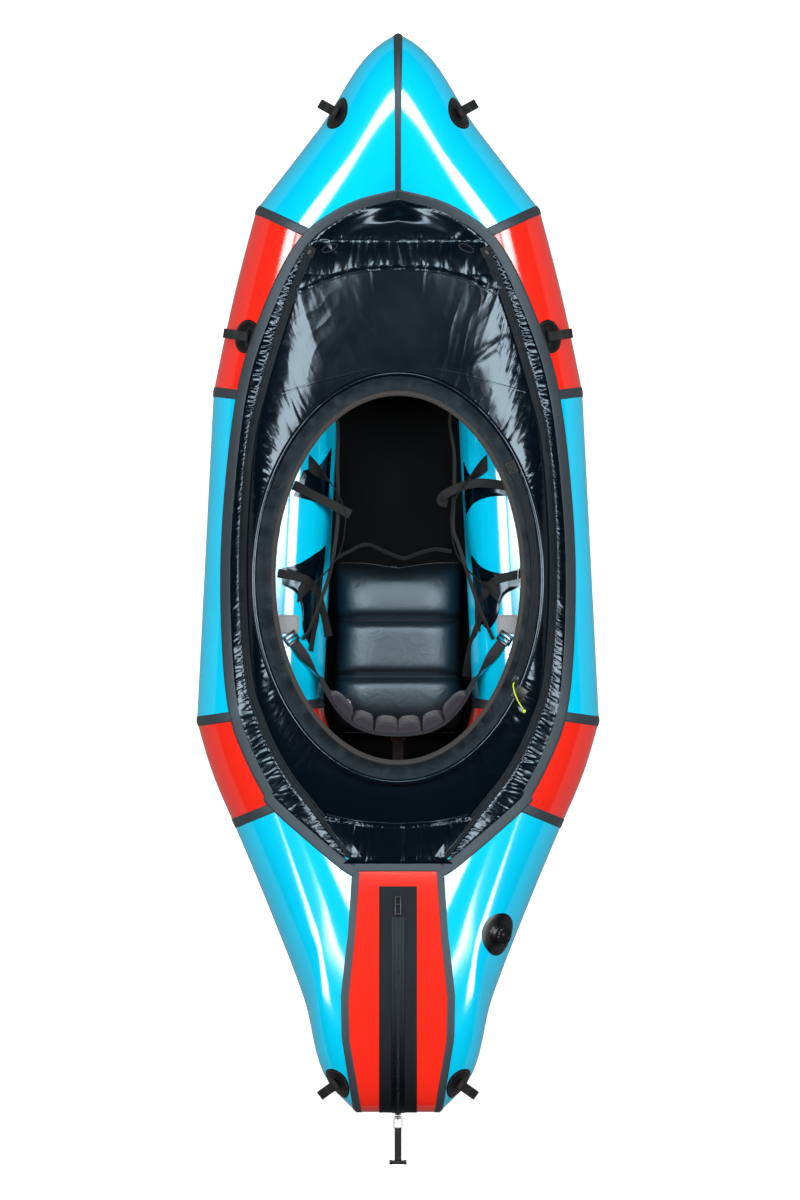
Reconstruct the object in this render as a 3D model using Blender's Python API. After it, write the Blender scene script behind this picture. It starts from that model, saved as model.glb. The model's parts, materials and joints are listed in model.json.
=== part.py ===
"""Packraft with a zipped spray deck.

The hull is a closed ring of inflated tube panels over a floor sheet. A deck of zipped panels
covers it and carries a raised oval coaming. Metres, +Z up, the bow along +Y, and the origin at
the bottom centre of the whole boat.
"""

import math

import bmesh
import bpy
import numpy as np
from mathutils import Matrix, Vector

# Hull
HULL_LENGTH = 2.484
HULL_BEAM = 0.927
TUBE_DIAMETER = 0.289
TUBE_FACETS = 24
SKIN = 0.001
FLOOR_THICKNESS = 0.0012
BOW_ANGLE = math.radians(38)
NOSE_ROUNDING = 0.016
NOSE_SHOULDER = 0.030
BOW_RISE = 0.150
STERN_RISE = 0.100
NOSE_FULLNESS = 0.005
FRONT_BULGE = 0.005
REAR_BULGE = 0.007
TAIL_SEMI_LENGTH = 0.398
TAIL_CORNER = 0.032
STERN_ANGLE = math.radians(26)
STERN_PANEL_WIDTH = 0.250
# Shares of the axis half beam and of the half length
SEAM_1_X_SHARE = 0.607
SEAM_2_SHARES = (0.886, 0.321)
SEAM_3_SHARES = (1.0, -0.258)
SEAM_4_SHARES = (0.772, -0.420)
BOW_RISE_START_SHARE = 0.321
STERN_RISE_START_SHARE = -0.320
# Along the tail's top from its inner to its aft end, and the seam's share of the panel's half width
STERN_SEAM_SHARES = (
    (0, 0.74), (0.3, 0.80), (0.5, 0.89), (0.67, 1.0), (0.79, 0.98), (0.91, 0.85), (1, 0.76),
)
TAIL_RING_SHARES = ((0.3, 0.056), (0.6, 0.30), (0.88, 1.0))

# Gaps between touching pieces
CLEARANCE = 0.0003
TAPE_CLEARANCE = 0.0005
CUT_OVERRUN = 0.020

# Tapes and deck
TAPE_WIDTH = 0.026
TAPE_THICKNESS = 0.0007
EDGE_TAPE_THICKNESS = 0.0010
SEAM_TAPE_WIDTH = 0.023
DECK_LIFT = 0.0015
DECK_THICKNESS = 0.0010
DECK_REST_GAP = 0.0012
DECK_CROWN = 0.006
DECK_ZIP_WIDTH = 0.019
DECK_ZIP_THICKNESS = 0.0022
# Outlines of the right half, as shares of the half beam and the half length, from bow to stern
TAPE_EDGE_SHARES = (
    (0, 0.711), (0.254, 0.683), (0.499, 0.615), (0.688, 0.475), (0.805, 0.328), (0.873, 0.099),
    (0.880, -0.088), (0.843, -0.253), (0.748, -0.354), (0.628, -0.438),
)
TAPE_REAR_SHARES = ((0.269, -0.553), (0, -0.553))
DECK_ZIP_SHARES = (
    (0.438, 0.597), (0.514, 0.527), (0.574, 0.462), (0.628, 0.397), (0.678, 0.330), (0.728, 0.248),
    (0.763, 0.099), (0.768, -0.050), (0.738, -0.199), (0.683, -0.270), (0.613, -0.330),
    (0.529, -0.382), (0.419, -0.434), (0.229, -0.525),
)
FRONT_WELT_SHARES = ((0, 0.566), (0.200, 0.561), (0.374, 0.542), (0.480, 0.522))
REAR_WELT_SHARES = ((0, -0.469), (0.200, -0.464), (0.375, -0.451))
BORDER_SPAN_SHARES = (0.553, -0.514)
WELT_STEPS = 7
SETTLE_PARTS = 3
SETTLE_ROUNDS = 4

# Coaming
COAMING_LENGTH = 0.953
COAMING_WIDTH = 0.678
COAMING_CENTRE_SHARE = -0.009
COAMING_SEGMENTS = 60
LIP_RISE = 0.054
LIP_WIDTH = 0.058
LIP_THICKNESS = 0.002
LIP_HEM = 0.009
RIM_DIAMETER = 0.014
RIM_SIDES = 8
BINDING_WIDTH = 0.012
BINDING_HEIGHT = 0.006
WALL_INSET = 0.036
WALL_THICKNESS = 0.002
DECK_WALL_RISE = 0.025
DECK_WALL_SHELF = 0.006
WALL_FOOT_SHARES = (0.25, 0.6)
LIP_ZIP_INSET = 0.024
LIP_ZIP_WIDTH = 0.018
LIP_ZIP_THICKNESS = 0.0015
LIP_ZIP_SPAN = 0.488
LIP_ZIP_STEPS = 24
LIP_SLIDER = (0.013, 0.016, 0.006)
LIP_SLIDER_SETBACK = 0.004
PULL_CORD_DIAMETER = 0.003
PULL_CORD_KNOT_RADIUS = 0.0042
PULL_CORD_LEAD = 0.006
# The pull cord's centre line over the rim, from its lead out of the slider to its knot
PULL_CORD_ROUTE = (
    (0.2655, -0.2040, 0.3508), (0.2672, -0.2120, 0.3500), (0.2700, -0.2195, 0.3483),
    (0.2730, -0.2270, 0.3479), (0.2765, -0.2345, 0.3479), (0.2805, -0.2415, 0.3465),
    (0.2845, -0.2480, 0.3430), (0.2880, -0.2535, 0.3385),
)

# Cargo zip on the stern
CARGO_BACKING_WIDTH = 0.087
CARGO_CHAIN_WIDTH = 0.031
CARGO_BACKING_THICKNESS = 0.0010
CARGO_CHAIN_THICKNESS = 0.0030
CARGO_BACKING_TURNS = (-1.5, 7.2)
CARGO_CHAIN_TURNS = (-0.9, 6.5)
CARGO_DOCK_TURNS = (6.53, 6.98)
CARGO_DOCK_WIDTH = 0.016
CARGO_DOCK_THICKNESS = 0.006
CARGO_SLIDER = (0.016, 0.007, 0.024)
CARGO_BRIDGE_WIDTH = 0.005
CARGO_BRIDGE_WALL = 0.0016
PULLER_BAR_DIAMETER = 0.0026
PULLER_BAR_ROOM = 0.0010
PULLER_LINK_LENGTH = 0.022
PULLER_STRAP_LENGTH = 0.074
PULLER_STRAP_WIDTH = 0.018
PULLER_STRAP_THICKNESS = 0.0030
PULLER_TOGGLE_DIAMETER = 0.0110
PULLER_TOGGLE_LENGTH = 0.040
PULLER_TOGGLE_SIDES = 12

# Valve: its place as shares of the hull's half width there and of the half length
VALVE_SHARES = (0.8533, -0.670)
VALVE_FLANGE_DIAMETER = 0.100
VALVE_FLANGE_THICKNESS = 0.0012
VALVE_COLLAR_DIAMETER = 0.060
VALVE_BORE_DIAMETER = 0.034
VALVE_COLLAR_HEIGHT = 0.011
VALVE_BASE_PLATE = 0.003
VALVE_STEM_DIAMETER = 0.012
VALVE_STEM_HEIGHT = 0.0040
VALVE_STEM_SEAT = 0.0028
VALVE_STEM_SIDES = 16
VALVE_STEM_TRAVEL = 0.0025
VALVE_CAP_DIAMETER = 0.042
VALVE_CAP_HEIGHT = 0.009
VALVE_CAP_PLUG = 0.0020
VALVE_CAP_SIDES = 48
VALVE_CAP_LOBES = 8
VALVE_CAP_LOBE_DEPTH = 0.002
ROUND_SIDES = 32
FITTING_REACH = 0.020

# Grab loops: patch centres as shares of the hull's half width there and of the half length
GRAB_SHARES = {"bow": (0.8772, 0.851), "side": (0.8735, 0.439), "stern": (0.8870, -0.946)}
PATCH_DIAMETER = 0.078
PATCH_THICKNESS = 0.0012
LOOP_WIDTH = 0.023
LOOP_LENGTH = 0.060
LOOP_HEIGHT = 0.014
LOOP_WEBBING = 0.0018
LOOP_REACH_BACK = 0.003
LOOP_LEAN = math.radians(16)
LOOP_STEPS = 10
KEEPER_HEIGHT = 0.0115
KEEPER_THICKNESS = 0.0016
KEEPER_DEPTH = 0.005
KEEPER_FOOT = 0.004

# Cockpit
SEAT_LENGTH = 0.395
SEAT_WIDTH = 0.310
SEAT_HEIGHT = 0.100
SEAT_FRONT_SHARE = 0.020
SEAT_CHANNELS = 3
SEAT_CHANNEL_DEPTH = 0.020
SEAT_CHANNEL_SPREAD = 0.012
SEAT_STATIONS = 25
SEAT_SIDES = 24
SEAT_BASE_SHARE = 0.28
SEAT_PINCH = 0.010
SEAT_LEAST_CROWN_SHARE = 0.125
# Powers that round the seat's ends and its cross section
SEAT_END_POWER = 6
SEAT_CROWN_POWER = 0.5
SEAT_SIDE_POWER = 0.55
SEAT_TOP_POWER = 0.75
SEAT_UNDER_POWER = 0.45
FRONT_STRAP_WIDTH = 0.025
FRONT_STRAP_THICKNESS = 0.002
# Places of the strap ahead of the seat: shares of the seat's width and length
FRONT_STRAP_SHARES = ((-0.46, 0.010), (-0.38, 0.045), (-0.24, 0.090), (-0.10, 0.050), (0.04, 0.010),
                      (0.16, 0.040), (0.28, 0.062), (0.40, 0.050))
BELT_HEIGHT = 0.130
BELT_THICKNESS = 0.004
BELT_LEAN = 0.030
BELT_WAIST = 0.060
BELT_SPAN = 0.352
BELT_DEPTH = 0.112
BELT_REAR = 0.2985
BELT_MIDDLE_HEIGHT = 0.205
BELT_END_HEIGHT = 0.232
BELT_STEPS = 12
BELT_CURVE_SHARE = 0.35
SIDE_STRAP_SHARES = (0.4, 0.7, 1.0)
PAD_THICKNESS = 0.022
PAD_EDGE = 0.005
PADS_A_SIDE = 3
PAD_STATIONS = 3
PAD_PROFILE_SHARES = ((-1, 0.4), (-0.75, 0.8), (0, 1), (0.75, 0.8), (1, 0.4))
PAD_MARGIN = 0.008
SIDE_STRAP_WIDTH = 0.024
SIDE_STRAP_RISE = 0.014
BUCKLE = (0.034, 0.026, 0.004)
BUCKLE_SLOT = 0.005
BUCKLE_BAR = 0.0045
BUCKLE_SHARES = (0.528, -0.1205)
BUCKLE_HOVER = 0.0046
BUCKLE_TURN = math.radians(36)
ANCHOR_SHARES = (0.546, -0.095)
ANCHOR = (0.050, 0.045)
ANCHOR_THICKNESS = 0.0015
REAR_STRAP_WIDTH = 0.025
REAR_STRAP_THICKNESS = 0.002
REAR_STRAP_SAG = 0.006
REAR_STRAP_FLAT = 0.014
REAR_STRAP_SHARES = (0, 0.3, 0.6, 0.85, 1)
THIGH_STRAP_WIDTH = 0.038
THIGH_STRAP_THICKNESS = 0.0025
THIGH_STRAP_END_SHARES = ((0.445, 0.205), (0.500, -0.040))
# Places between the ends: plan shares, and the level as a share of the tube's diameter
THIGH_STRAP_SHARES = ((0.330, 0.165, 0.865), (0.268, 0.120, 0.803), (0.266, 0.075, 0.782),
                      (0.300, 0.030, 0.803), (0.390, -0.010, 0.893))

# Worked out from the sizes above
MM = 0.001
MERGE = 0.01 * MM
TUBE_RADIUS = TUBE_DIAMETER / 2
HALF_LENGTH = HULL_LENGTH / 2
HALF_BEAM = HULL_BEAM / 2
AXIS_HALF_BEAM = HALF_BEAM - TUBE_RADIUS
FACET_COSINE = math.cos(math.pi / TUBE_FACETS)
AXIS_HEIGHT = TUBE_RADIUS + (CLEARANCE + FLOOR_THICKNESS) / FACET_COSINE
CARGO_STACK = TAPE_CLEARANCE + CARGO_BACKING_THICKNESS + CLEARANCE + CARGO_CHAIN_THICKNESS + CLEARANCE
BAR_OFFSET = CARGO_SLIDER[1] + PULLER_BAR_ROOM + PULLER_BAR_DIAMETER / 2
PULLER_REACH = (CARGO_STACK + BAR_OFFSET + PULLER_LINK_LENGTH + PULLER_STRAP_LENGTH
                + PULLER_TOGGLE_DIAMETER)
ORIGIN_Y = PULLER_REACH / 2
DECK_TOP = AXIS_HEIGHT + TUBE_RADIUS + DECK_LIFT
LIP_TOP = DECK_TOP + LIP_RISE
DECK_WALL_HEIGHT = DECK_TOP + DECK_WALL_RISE
FLOOR_TOP = FLOOR_THICKNESS
NOSE_AXIS_Y = ORIGIN_Y + HALF_LENGTH + NOSE_ROUNDING - TUBE_RADIUS / math.sin(BOW_ANGLE)
TAIL_Y = ORIGIN_Y - HALF_LENGTH + TAIL_SEMI_LENGTH
COAMING_Y = ORIGIN_Y + COAMING_CENTRE_SHARE * HALF_LENGTH

MATERIALS = {
    # base colour, roughness, metallic
    "hull_blue": ((0.0, 0.62, 0.95), 0.25, 0),
    "hull_red": ((0.90, 0.03, 0.02), 0.25, 0),
    "deck_black": ((0.008, 0.012, 0.018), 0.30, 0),
    "tape_grey": ((0.06, 0.075, 0.085), 0.60, 0),
    "webbing_grey": ((0.045, 0.05, 0.055), 0.80, 0),
    "seat_black": ((0.010, 0.012, 0.015), 0.55, 0),
    "pad_purple": ((0.055, 0.05, 0.065), 0.80, 0),
    "zip_black": ((0.012, 0.013, 0.014), 0.45, 0),
    "plastic_black": ((0.010, 0.010, 0.011), 0.35, 0),
    "cord_green": ((0.60, 1.0, 0.03), 0.60, 0),
    "metal_grey": ((0.50, 0.50, 0.52), 0.30, 1),
}


def material(name):
    found = bpy.data.materials.get(name)
    if found:
        return found
    colour, roughness, metallic = MATERIALS[name]
    made = bpy.data.materials.new(name)
    made.use_nodes = True
    shader = made.node_tree.nodes["Principled BSDF"]
    shader.inputs["Base Color"].default_value = (*colour, 1)
    shader.inputs["Roughness"].default_value = roughness
    shader.inputs["Metallic"].default_value = metallic
    made.diffuse_color = (*colour, 1)
    return made


def add_mesh(name, corners, faces, finish, smooth=30):
    """A closed mesh object with merged corners and outward faces."""
    shape = bmesh.new()
    made = [shape.verts.new(corner) for corner in corners]
    for face in faces:
        shape.faces.new([made[i] for i in face])
    bmesh.ops.remove_doubles(shape, verts=shape.verts, dist=MERGE)
    bmesh.ops.recalc_face_normals(shape, faces=shape.faces)
    mesh = bpy.data.meshes.new(name)
    shape.to_mesh(mesh)
    shape.free()
    mesh.shade_smooth()
    mesh.set_sharp_from_angle(angle=math.radians(smooth))
    mesh.materials.append(material(finish))
    thing = bpy.data.objects.new(name, mesh)
    bpy.context.scene.collection.objects.link(thing)
    return thing


def halved(a, b, c, d, other_way):
    """A four-sided face as two triangles."""
    return ((a, b, d), (b, c, d)) if other_way else ((a, b, c), (a, c, d))


def grid_body(name, outer, inner, finish, closed_rows=False, closed_columns=False, mirrored_from=math.inf):
    """A closed solid between two matching grids of points, rows by columns."""
    rows, columns = outer.shape[:2]
    corners = np.concatenate([outer.reshape(-1, 3), inner.reshape(-1, 3)])
    under = rows * columns

    def at(i, j):
        return (i % rows) * columns + j % columns

    faces = []
    row_steps = rows if closed_rows else rows - 1
    column_steps = columns if closed_columns else columns - 1
    for i in range(row_steps):
        for j in range(column_steps):
            a, b, c, d = at(i, j), at(i + 1, j), at(i + 1, j + 1), at(i, j + 1)
            for one, two, three in halved(a, b, c, d, i >= mirrored_from):
                faces += [(one, two, three), (under + one, under + three, under + two)]
    walls = []
    if not closed_rows:
        for i, turn in ((0, 1), (rows - 1, -1)):
            walls += [(at(i, j), at(i, j + 1))[::turn] for j in range(column_steps)]
    if not closed_columns:
        for j, turn in ((0, -1), (columns - 1, 1)):
            walls += [(at(i, j), at(i + 1, j))[::turn] for i in range(row_steps)]
    faces += [(a, b, under + b, under + a) for a, b in walls]
    return add_mesh(name, corners, faces, finish)


def swept_ring(name, loops, finish):
    """A closed ring whose section has one corner for each of the loops."""
    points = np.stack(loops, axis=1)
    count, corners = points.shape[:2]
    faces = []
    for i in range(count):
        for j in range(corners):
            after, beside = (i + 1) % count, (j + 1) % corners
            here, there = i * corners, after * corners
            faces.append((here + j, there + j, there + beside, here + beside))
    return add_mesh(name, points.reshape(-1, 3), faces, finish)


def ribbon(name, centres, halves, thickness, finish, closed=False):
    """A strap along its centre points, with half its width as a vector at each."""
    centres, halves = np.array(centres, float), np.array(halves, float)
    if closed:
        along = np.roll(centres, -1, axis=0) - np.roll(centres, 1, axis=0)
    else:
        along = np.gradient(centres, axis=0)
    normals = np.cross(halves, along)
    normals *= thickness / 2 / np.linalg.norm(normals, axis=1, keepdims=True)
    outer = np.stack([centres - halves + normals, centres + halves + normals], axis=1)
    inner = np.stack([centres - halves - normals, centres + halves - normals], axis=1)
    return grid_body(name, outer, inner, finish, closed_rows=closed)


def box_mesh(name, low, high, finish):
    """A box between two corners."""
    corners = [(x, y, z) for x in (low[0], high[0]) for y in (low[1], high[1]) for z in (low[2], high[2])]
    faces = [(0, 1, 3, 2), (4, 6, 7, 5), (0, 4, 5, 1), (2, 3, 7, 6), (0, 2, 6, 4), (1, 5, 7, 3)]
    return add_mesh(name, corners, faces, finish)


def turned(name, profile, finish, sides=ROUND_SIDES, lobes=0, lobe_depth=0):
    """A body turned about Z from (radius, height) points, closed on the axis or as a ring."""
    corners = []
    for i in range(sides):
        turn = 2 * math.pi * i / sides
        for radius, height in profile:
            inset = lobe_depth * (1 - math.cos(lobes * turn)) / 2 if radius > lobe_depth * 2 else 0
            corners.append(((radius - inset) * math.cos(turn), (radius - inset) * math.sin(turn), height))
    count = len(profile)
    faces = []
    for i in range(sides):
        for j in range(count):
            after, beside = (i + 1) % sides, (j + 1) % count
            face = [i * count + j, after * count + j, after * count + beside, i * count + beside]
            on_axis = [profile[j][0] == 0, profile[beside][0] == 0]
            if all(on_axis):
                continue
            if on_axis[0]:
                face.remove(after * count + j)
            if on_axis[1]:
                face.remove(after * count + beside)
            faces.append(tuple(face))
    return add_mesh(name, corners, faces, finish)


def prism(name, outline, low, high):
    """An upright cutter on a plan outline."""
    count = len(outline)
    corners = [(x, y, low) for x, y in outline] + [(x, y, high) for x, y in outline]
    faces = [tuple(range(count)), tuple(range(2 * count - 1, count - 1, -1))]
    faces += [(i, (i + 1) % count, count + (i + 1) % count, count + i) for i in range(count)]
    return helper(add_mesh(name, corners, faces, "plastic_black"))


def helper(thing):
    thing.hide_render = True
    thing.display_type = "WIRE"
    return thing


def combine(thing, other, operation):
    change = thing.modifiers.new(operation.lower(), "BOOLEAN")
    change.operation = operation
    change.object = other
    return thing


def place(thing, matrix):
    thing.data.transform(matrix)
    return thing


def mirrored(points):
    return points * np.array((-1, 1, 1))


def beside(share):
    """A plan point, from its share of the hull's half width there and of the half length."""
    y = ORIGIN_Y + share[1] * HALF_LENGTH
    outline = side_rings(0)[::-1, 0]
    return share[0] * np.interp(y, outline[:, 1], outline[:, 0]), y


def plan(share):
    """A plan point from shares of the half beam and the half length."""
    return share[0] * HALF_BEAM, ORIGIN_Y + share[1] * HALF_LENGTH


def lift(y):
    """How far the rocker raises the hull at a place along its length."""
    bow_start = ORIGIN_Y + BOW_RISE_START_SHARE * HALF_LENGTH
    stern_start = ORIGIN_Y + STERN_RISE_START_SHARE * HALF_LENGTH
    bow = np.clip((y - bow_start) / (ORIGIN_Y + HALF_LENGTH - bow_start), 0, None)
    stern = np.clip((stern_start - y) / (stern_start - ORIGIN_Y + HALF_LENGTH), 0, None)
    return BOW_RISE * bow**2 + STERN_RISE * stern**2


def axis_points():
    """Plan points of the right tube's axis: the nose and the four ring seams."""
    nose = np.array((0, NOSE_AXIS_Y))
    seam_1_x = SEAM_1_X_SHARE * AXIS_HALF_BEAM
    seams = [np.array((seam_1_x, NOSE_AXIS_Y - seam_1_x / math.tan(BOW_ANGLE)))]
    for x_share, y_share in (SEAM_2_SHARES, SEAM_3_SHARES, SEAM_4_SHARES):
        seams.append(np.array((x_share * AXIS_HALF_BEAM, ORIGIN_Y + y_share * HALF_LENGTH)))
    return nose, seams


def outward(direction):
    """The plan normal of a tube that runs aft on the right side."""
    direction = direction / np.linalg.norm(direction)
    return np.array((-direction[1], direction[0]))


def mitre(first, second):
    return (first + second) / (1 + first @ second)


def seam_half_width(y):
    """Half the stern panel's width where its side seams lie at a place along the tail."""
    along = (TAIL_Y + TAIL_SEMI_LENGTH - y) / (2 * TAIL_SEMI_LENGTH)
    places, widths = zip(*STERN_SEAM_SHARES)
    return np.interp(along, places, widths) * STERN_PANEL_WIDTH / 2


def side_rings(height):
    """Rings of the right tube, nose to stern seam, at a height over its skin."""
    radius = TUBE_RADIUS + height / FACET_COSINE
    turn = np.arange(TUBE_FACETS) * 2 * math.pi / TUBE_FACETS
    out, up = radius * np.cos(turn), radius * np.sin(turn)
    nose, seams = axis_points()
    nose_y = nose[1] + out / math.sin(BOW_ANGLE)
    nose_ring = np.stack([0 * out, nose_y - NOSE_ROUNDING * np.clip(out, 0, None) / radius], axis=1)
    shoulder = np.stack([0 * out + NOSE_SHOULDER, nose_y - NOSE_SHOULDER / math.tan(BOW_ANGLE)], axis=1)
    runs = [seams[0] - nose] + [b - a for a, b in zip(seams, seams[1:])]
    normals = [outward(run) for run in runs]
    normals.append(np.array((math.cos(STERN_ANGLE), -math.sin(STERN_ANGLE))))
    crossings = [mitre(a, b) for a, b in zip(normals, normals[1:])]
    ring_1, ring_2, ring_3, ring_4 = [
        seam + np.outer(out, crossing) for seam, crossing in zip(seams, crossings)
    ]
    tail_y = TAIL_Y - (TAIL_SEMI_LENGTH + height / FACET_COSINE) * np.cos(turn)
    tail = np.stack([seam_half_width(tail_y), tail_y], axis=1)

    def between(a, b, share):
        return a + (b - a) * share

    outer_side = np.clip(out, 0, None)[:, None] / TUBE_RADIUS
    tail_rings = [
        between(ring_4, tail, along) + bulge * TAIL_CORNER * outer_side * normals[-1]
        for along, bulge in TAIL_RING_SHARES
    ]
    bow_middle = between(shoulder, ring_1, 1 / 2)
    front_middle = between(ring_1, ring_2, 1 / 2) + FRONT_BULGE * outer_side * normals[1]
    rear_middle = between(ring_3, ring_4, 1 / 2) + REAR_BULGE * normals[3]
    shoulder = shoulder + NOSE_FULLNESS * outer_side * normals[0]
    plans = [
        nose_ring, shoulder, bow_middle, ring_1, front_middle, ring_2, between(ring_2, ring_3, 1 / 3),
        between(ring_2, ring_3, 2 / 3), ring_3, rear_middle, ring_4, *tail_rings, tail,
    ]
    rings = []
    for ring in plans:
        heights = AXIS_HEIGHT + up + lift(ring[:, 1])
        rings.append(np.column_stack([ring, heights]))
    return np.array(rings)


SEAM_RINGS = (3, 5, 8, 10)
LAYER_TURNS = range(-2, 9)
LAST_RING = 14


def hull_rings(height):
    """Rings all round the hull: down the right side, over the stern panel, up the left side."""
    right = side_rings(height)
    return np.concatenate([right, mirrored(right)[:0:-1]])


def at_turns(rings, turns):
    """Points of each ring at places counted in facets from its outer side."""
    turns = np.asarray(turns, float)
    low = np.floor(turns).astype(int)
    share = (turns - low)[None, :, None]
    first = rings[:, low % TUBE_FACETS]
    second = rings[:, (low + 1) % TUBE_FACETS]
    return first + (second - first) * share


def moved_towards(ring, other, distance):
    """Each point of a ring shifted towards its partner by a distance."""
    step = other - ring
    return ring + step * distance / np.linalg.norm(step, axis=1, keepdims=True)


def eased(rings, gap):
    """Rings whose first and last are drawn in, to leave a gap to the next panel."""
    ends = [moved_towards(rings[0], rings[1], gap), moved_towards(rings[-1], rings[-2], gap)]
    return np.array([ends[0], *rings[1:-1], ends[1]])


def hull_panels():
    spans = {
        "bow_panel": (0, 3, "hull_blue"),
        "front_side_panel": (3, 5, "hull_red"),
        "mid_side_panel": (5, 8, "hull_blue"),
        "rear_side_panel": (8, 10, "hull_red"),
        "stern_side_panel": (10, LAST_RING, "hull_blue"),
    }
    outer, inner = side_rings(0), side_rings(-SKIN)
    for name, (first, last, finish) in spans.items():
        for side, turn in (("right", np.array), ("left", mirrored)):
            walls = [turn(eased(rings[first:last + 1], CLEARANCE / 2)) for rings in (outer, inner)]
            grid_body(f"{name}_{side}", *walls, finish, closed_columns=True)
    walls = [eased(np.array([rings[-1], mirrored(rings[-1])]), CLEARANCE) for rings in (outer, inner)]
    grid_body("stern_centre_panel", *walls, "hull_red", closed_columns=True)


def floor_sheet():
    """The sheet under the tubes, wrapped a little way up their outer sides."""
    turns = np.arange(-4, -7, -1)
    layers = [at_turns(hull_rings(height), turns) for height in (CLEARANCE, CLEARANCE + FLOOR_THICKNESS)]
    rings, columns = layers[0].shape[:2]
    corners = np.concatenate([layer.reshape(-1, 3) for layer in layers])
    under = rings * columns
    faces = []
    for i in range(rings):
        after = (i + 1) % rings
        for j in range(columns - 1):
            a, b = i * columns + j, after * columns + j
            for one, two, three in halved(a, b, b + 1, a + 1, i <= LAST_RING):
                faces += [(one, two, three), (under + one, under + three, under + two)]
        faces.append((i * columns, under + i * columns, under + after * columns, after * columns))
    inner = [i * columns + columns - 1 for i in range(rings)]
    faces.append((inner[0], inner[1], inner[-1]))
    faces.append((under + inner[0], under + inner[-1], under + inner[1]))
    for i in range(1, LAST_RING):
        face = (inner[i], inner[i + 1], inner[-i - 1], inner[-i])
        faces += [face, tuple(under + corner for corner in face[::-1])]
    return add_mesh("floor_sheet", corners, faces, "deck_black")


def seam_strip(name, before, seam, after, turns, finish="tape_grey"):
    """A tape of even width along one ring seam, given as functions of height."""
    layers = []
    for height in (TAPE_CLEARANCE + TAPE_THICKNESS, TAPE_CLEARANCE):
        ring = seam(height)
        rows = [moved_towards(ring, before(height), SEAM_TAPE_WIDTH / 2), ring,
                moved_towards(ring, after(height), SEAM_TAPE_WIDTH / 2)]
        layers.append(at_turns(np.array(rows), turns))
    return grid_body(name, *layers, finish)


RING_TAPE_TURNS = (-3.9, *range(-3, 18))
STERN_RING_TURNS = (-3.9, *range(-3, 12))
STERN_SEAM_TURNS = (-3.9, *range(-3, 10))
BOW_TAPE_TURNS = (-3.9, *range(-3, 9), 8.15)


def smooth_line(points, steps):
    """A Catmull-Rom curve through plan points, with so many steps between each two."""
    points = np.array(points, float)
    padded = np.concatenate([[2 * points[0] - points[1]], points, [2 * points[-1] - points[-2]]])
    line = []
    for p0, p1, p2, p3 in zip(padded, padded[1:], padded[2:], padded[3:]):
        for i in range(steps):
            t = i / steps
            line.append(
                (2 * p1 + (p2 - p0) * t + (2 * p0 - 5 * p1 + 4 * p2 - p3) * t**2
                 + (3 * p1 - p0 - 3 * p2 + p3) * t**3) / 2
            )
    line.append(points[-1])
    return np.array(line)


def inset_line(line, distance):
    """A plan line moved to its inboard side by a distance, with mitred corners."""
    runs = np.diff(line, axis=0)
    normals = np.stack([runs[:, 1], -runs[:, 0]], axis=1)
    normals /= np.linalg.norm(normals, axis=1, keepdims=True)
    normals = np.concatenate([normals[:1], normals, normals[-1:]])
    crossings = [mitre(a, b) for a, b in zip(normals, normals[1:])]
    return line + distance * np.array(crossings)


def unit(step):
    return step / np.linalg.norm(step)


def resampled(line, count):
    """A plan line as evenly spaced points."""
    lengths = np.concatenate([[0], np.cumsum(np.linalg.norm(np.diff(line, axis=0), axis=1))])
    places = np.linspace(0, lengths[-1], count)
    return np.stack([np.interp(places, lengths, line[:, i]) for i in range(2)], axis=1)


def between_heights(line, high, low):
    """The stretch of a line that runs aft between two places along the boat."""
    falling = line[::-1]
    ends = [np.array([(np.interp(y, falling[:, 1], falling[:, 0]), y)]) for y in (high, low)]
    inside = line[(line[:, 1] < high - MERGE) & (line[:, 1] > low + MERGE)]
    return np.concatenate([ends[0], inside, ends[1]])


def tape_edge(inset):
    """The right half of the perimeter tape's edge, from the bow's centre to the stern's."""
    smooth = smooth_line([plan(share) for share in TAPE_EDGE_SHARES], 3)
    smooth[0][0] = 0
    rear = [plan(share) for share in TAPE_REAR_SHARES]
    line = inset_line(np.concatenate([smooth, rear]), inset)
    line[0][0] = line[-1][0] = 0
    return line


def deck_zip_line(offset):
    """The right deck zip's centre line, moved inboard by an offset."""
    return inset_line(smooth_line([plan(share) for share in DECK_ZIP_SHARES], 2), offset)


def top_triangles(height, known={}):
    """Triangles of the hull's upper half at a height over its skin."""
    if height not in known:
        rings = hull_rings(height)[:, :TUBE_FACETS // 2 + 1]
        after = np.roll(rings, -1, axis=0)
        corners = np.stack([rings[:, :-1], after[:, :-1], after[:, 1:], rings[:, 1:]], axis=2)
        parts = []
        for rows, other_way in ((corners[:LAST_RING + 1], False), (corners[LAST_RING + 1:], True)):
            parts += [rows[:, :, half].reshape(-1, 3, 3) for half in halved(0, 1, 2, 3, other_way)]
        known[height] = np.concatenate(parts)
    return known[height]


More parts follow.
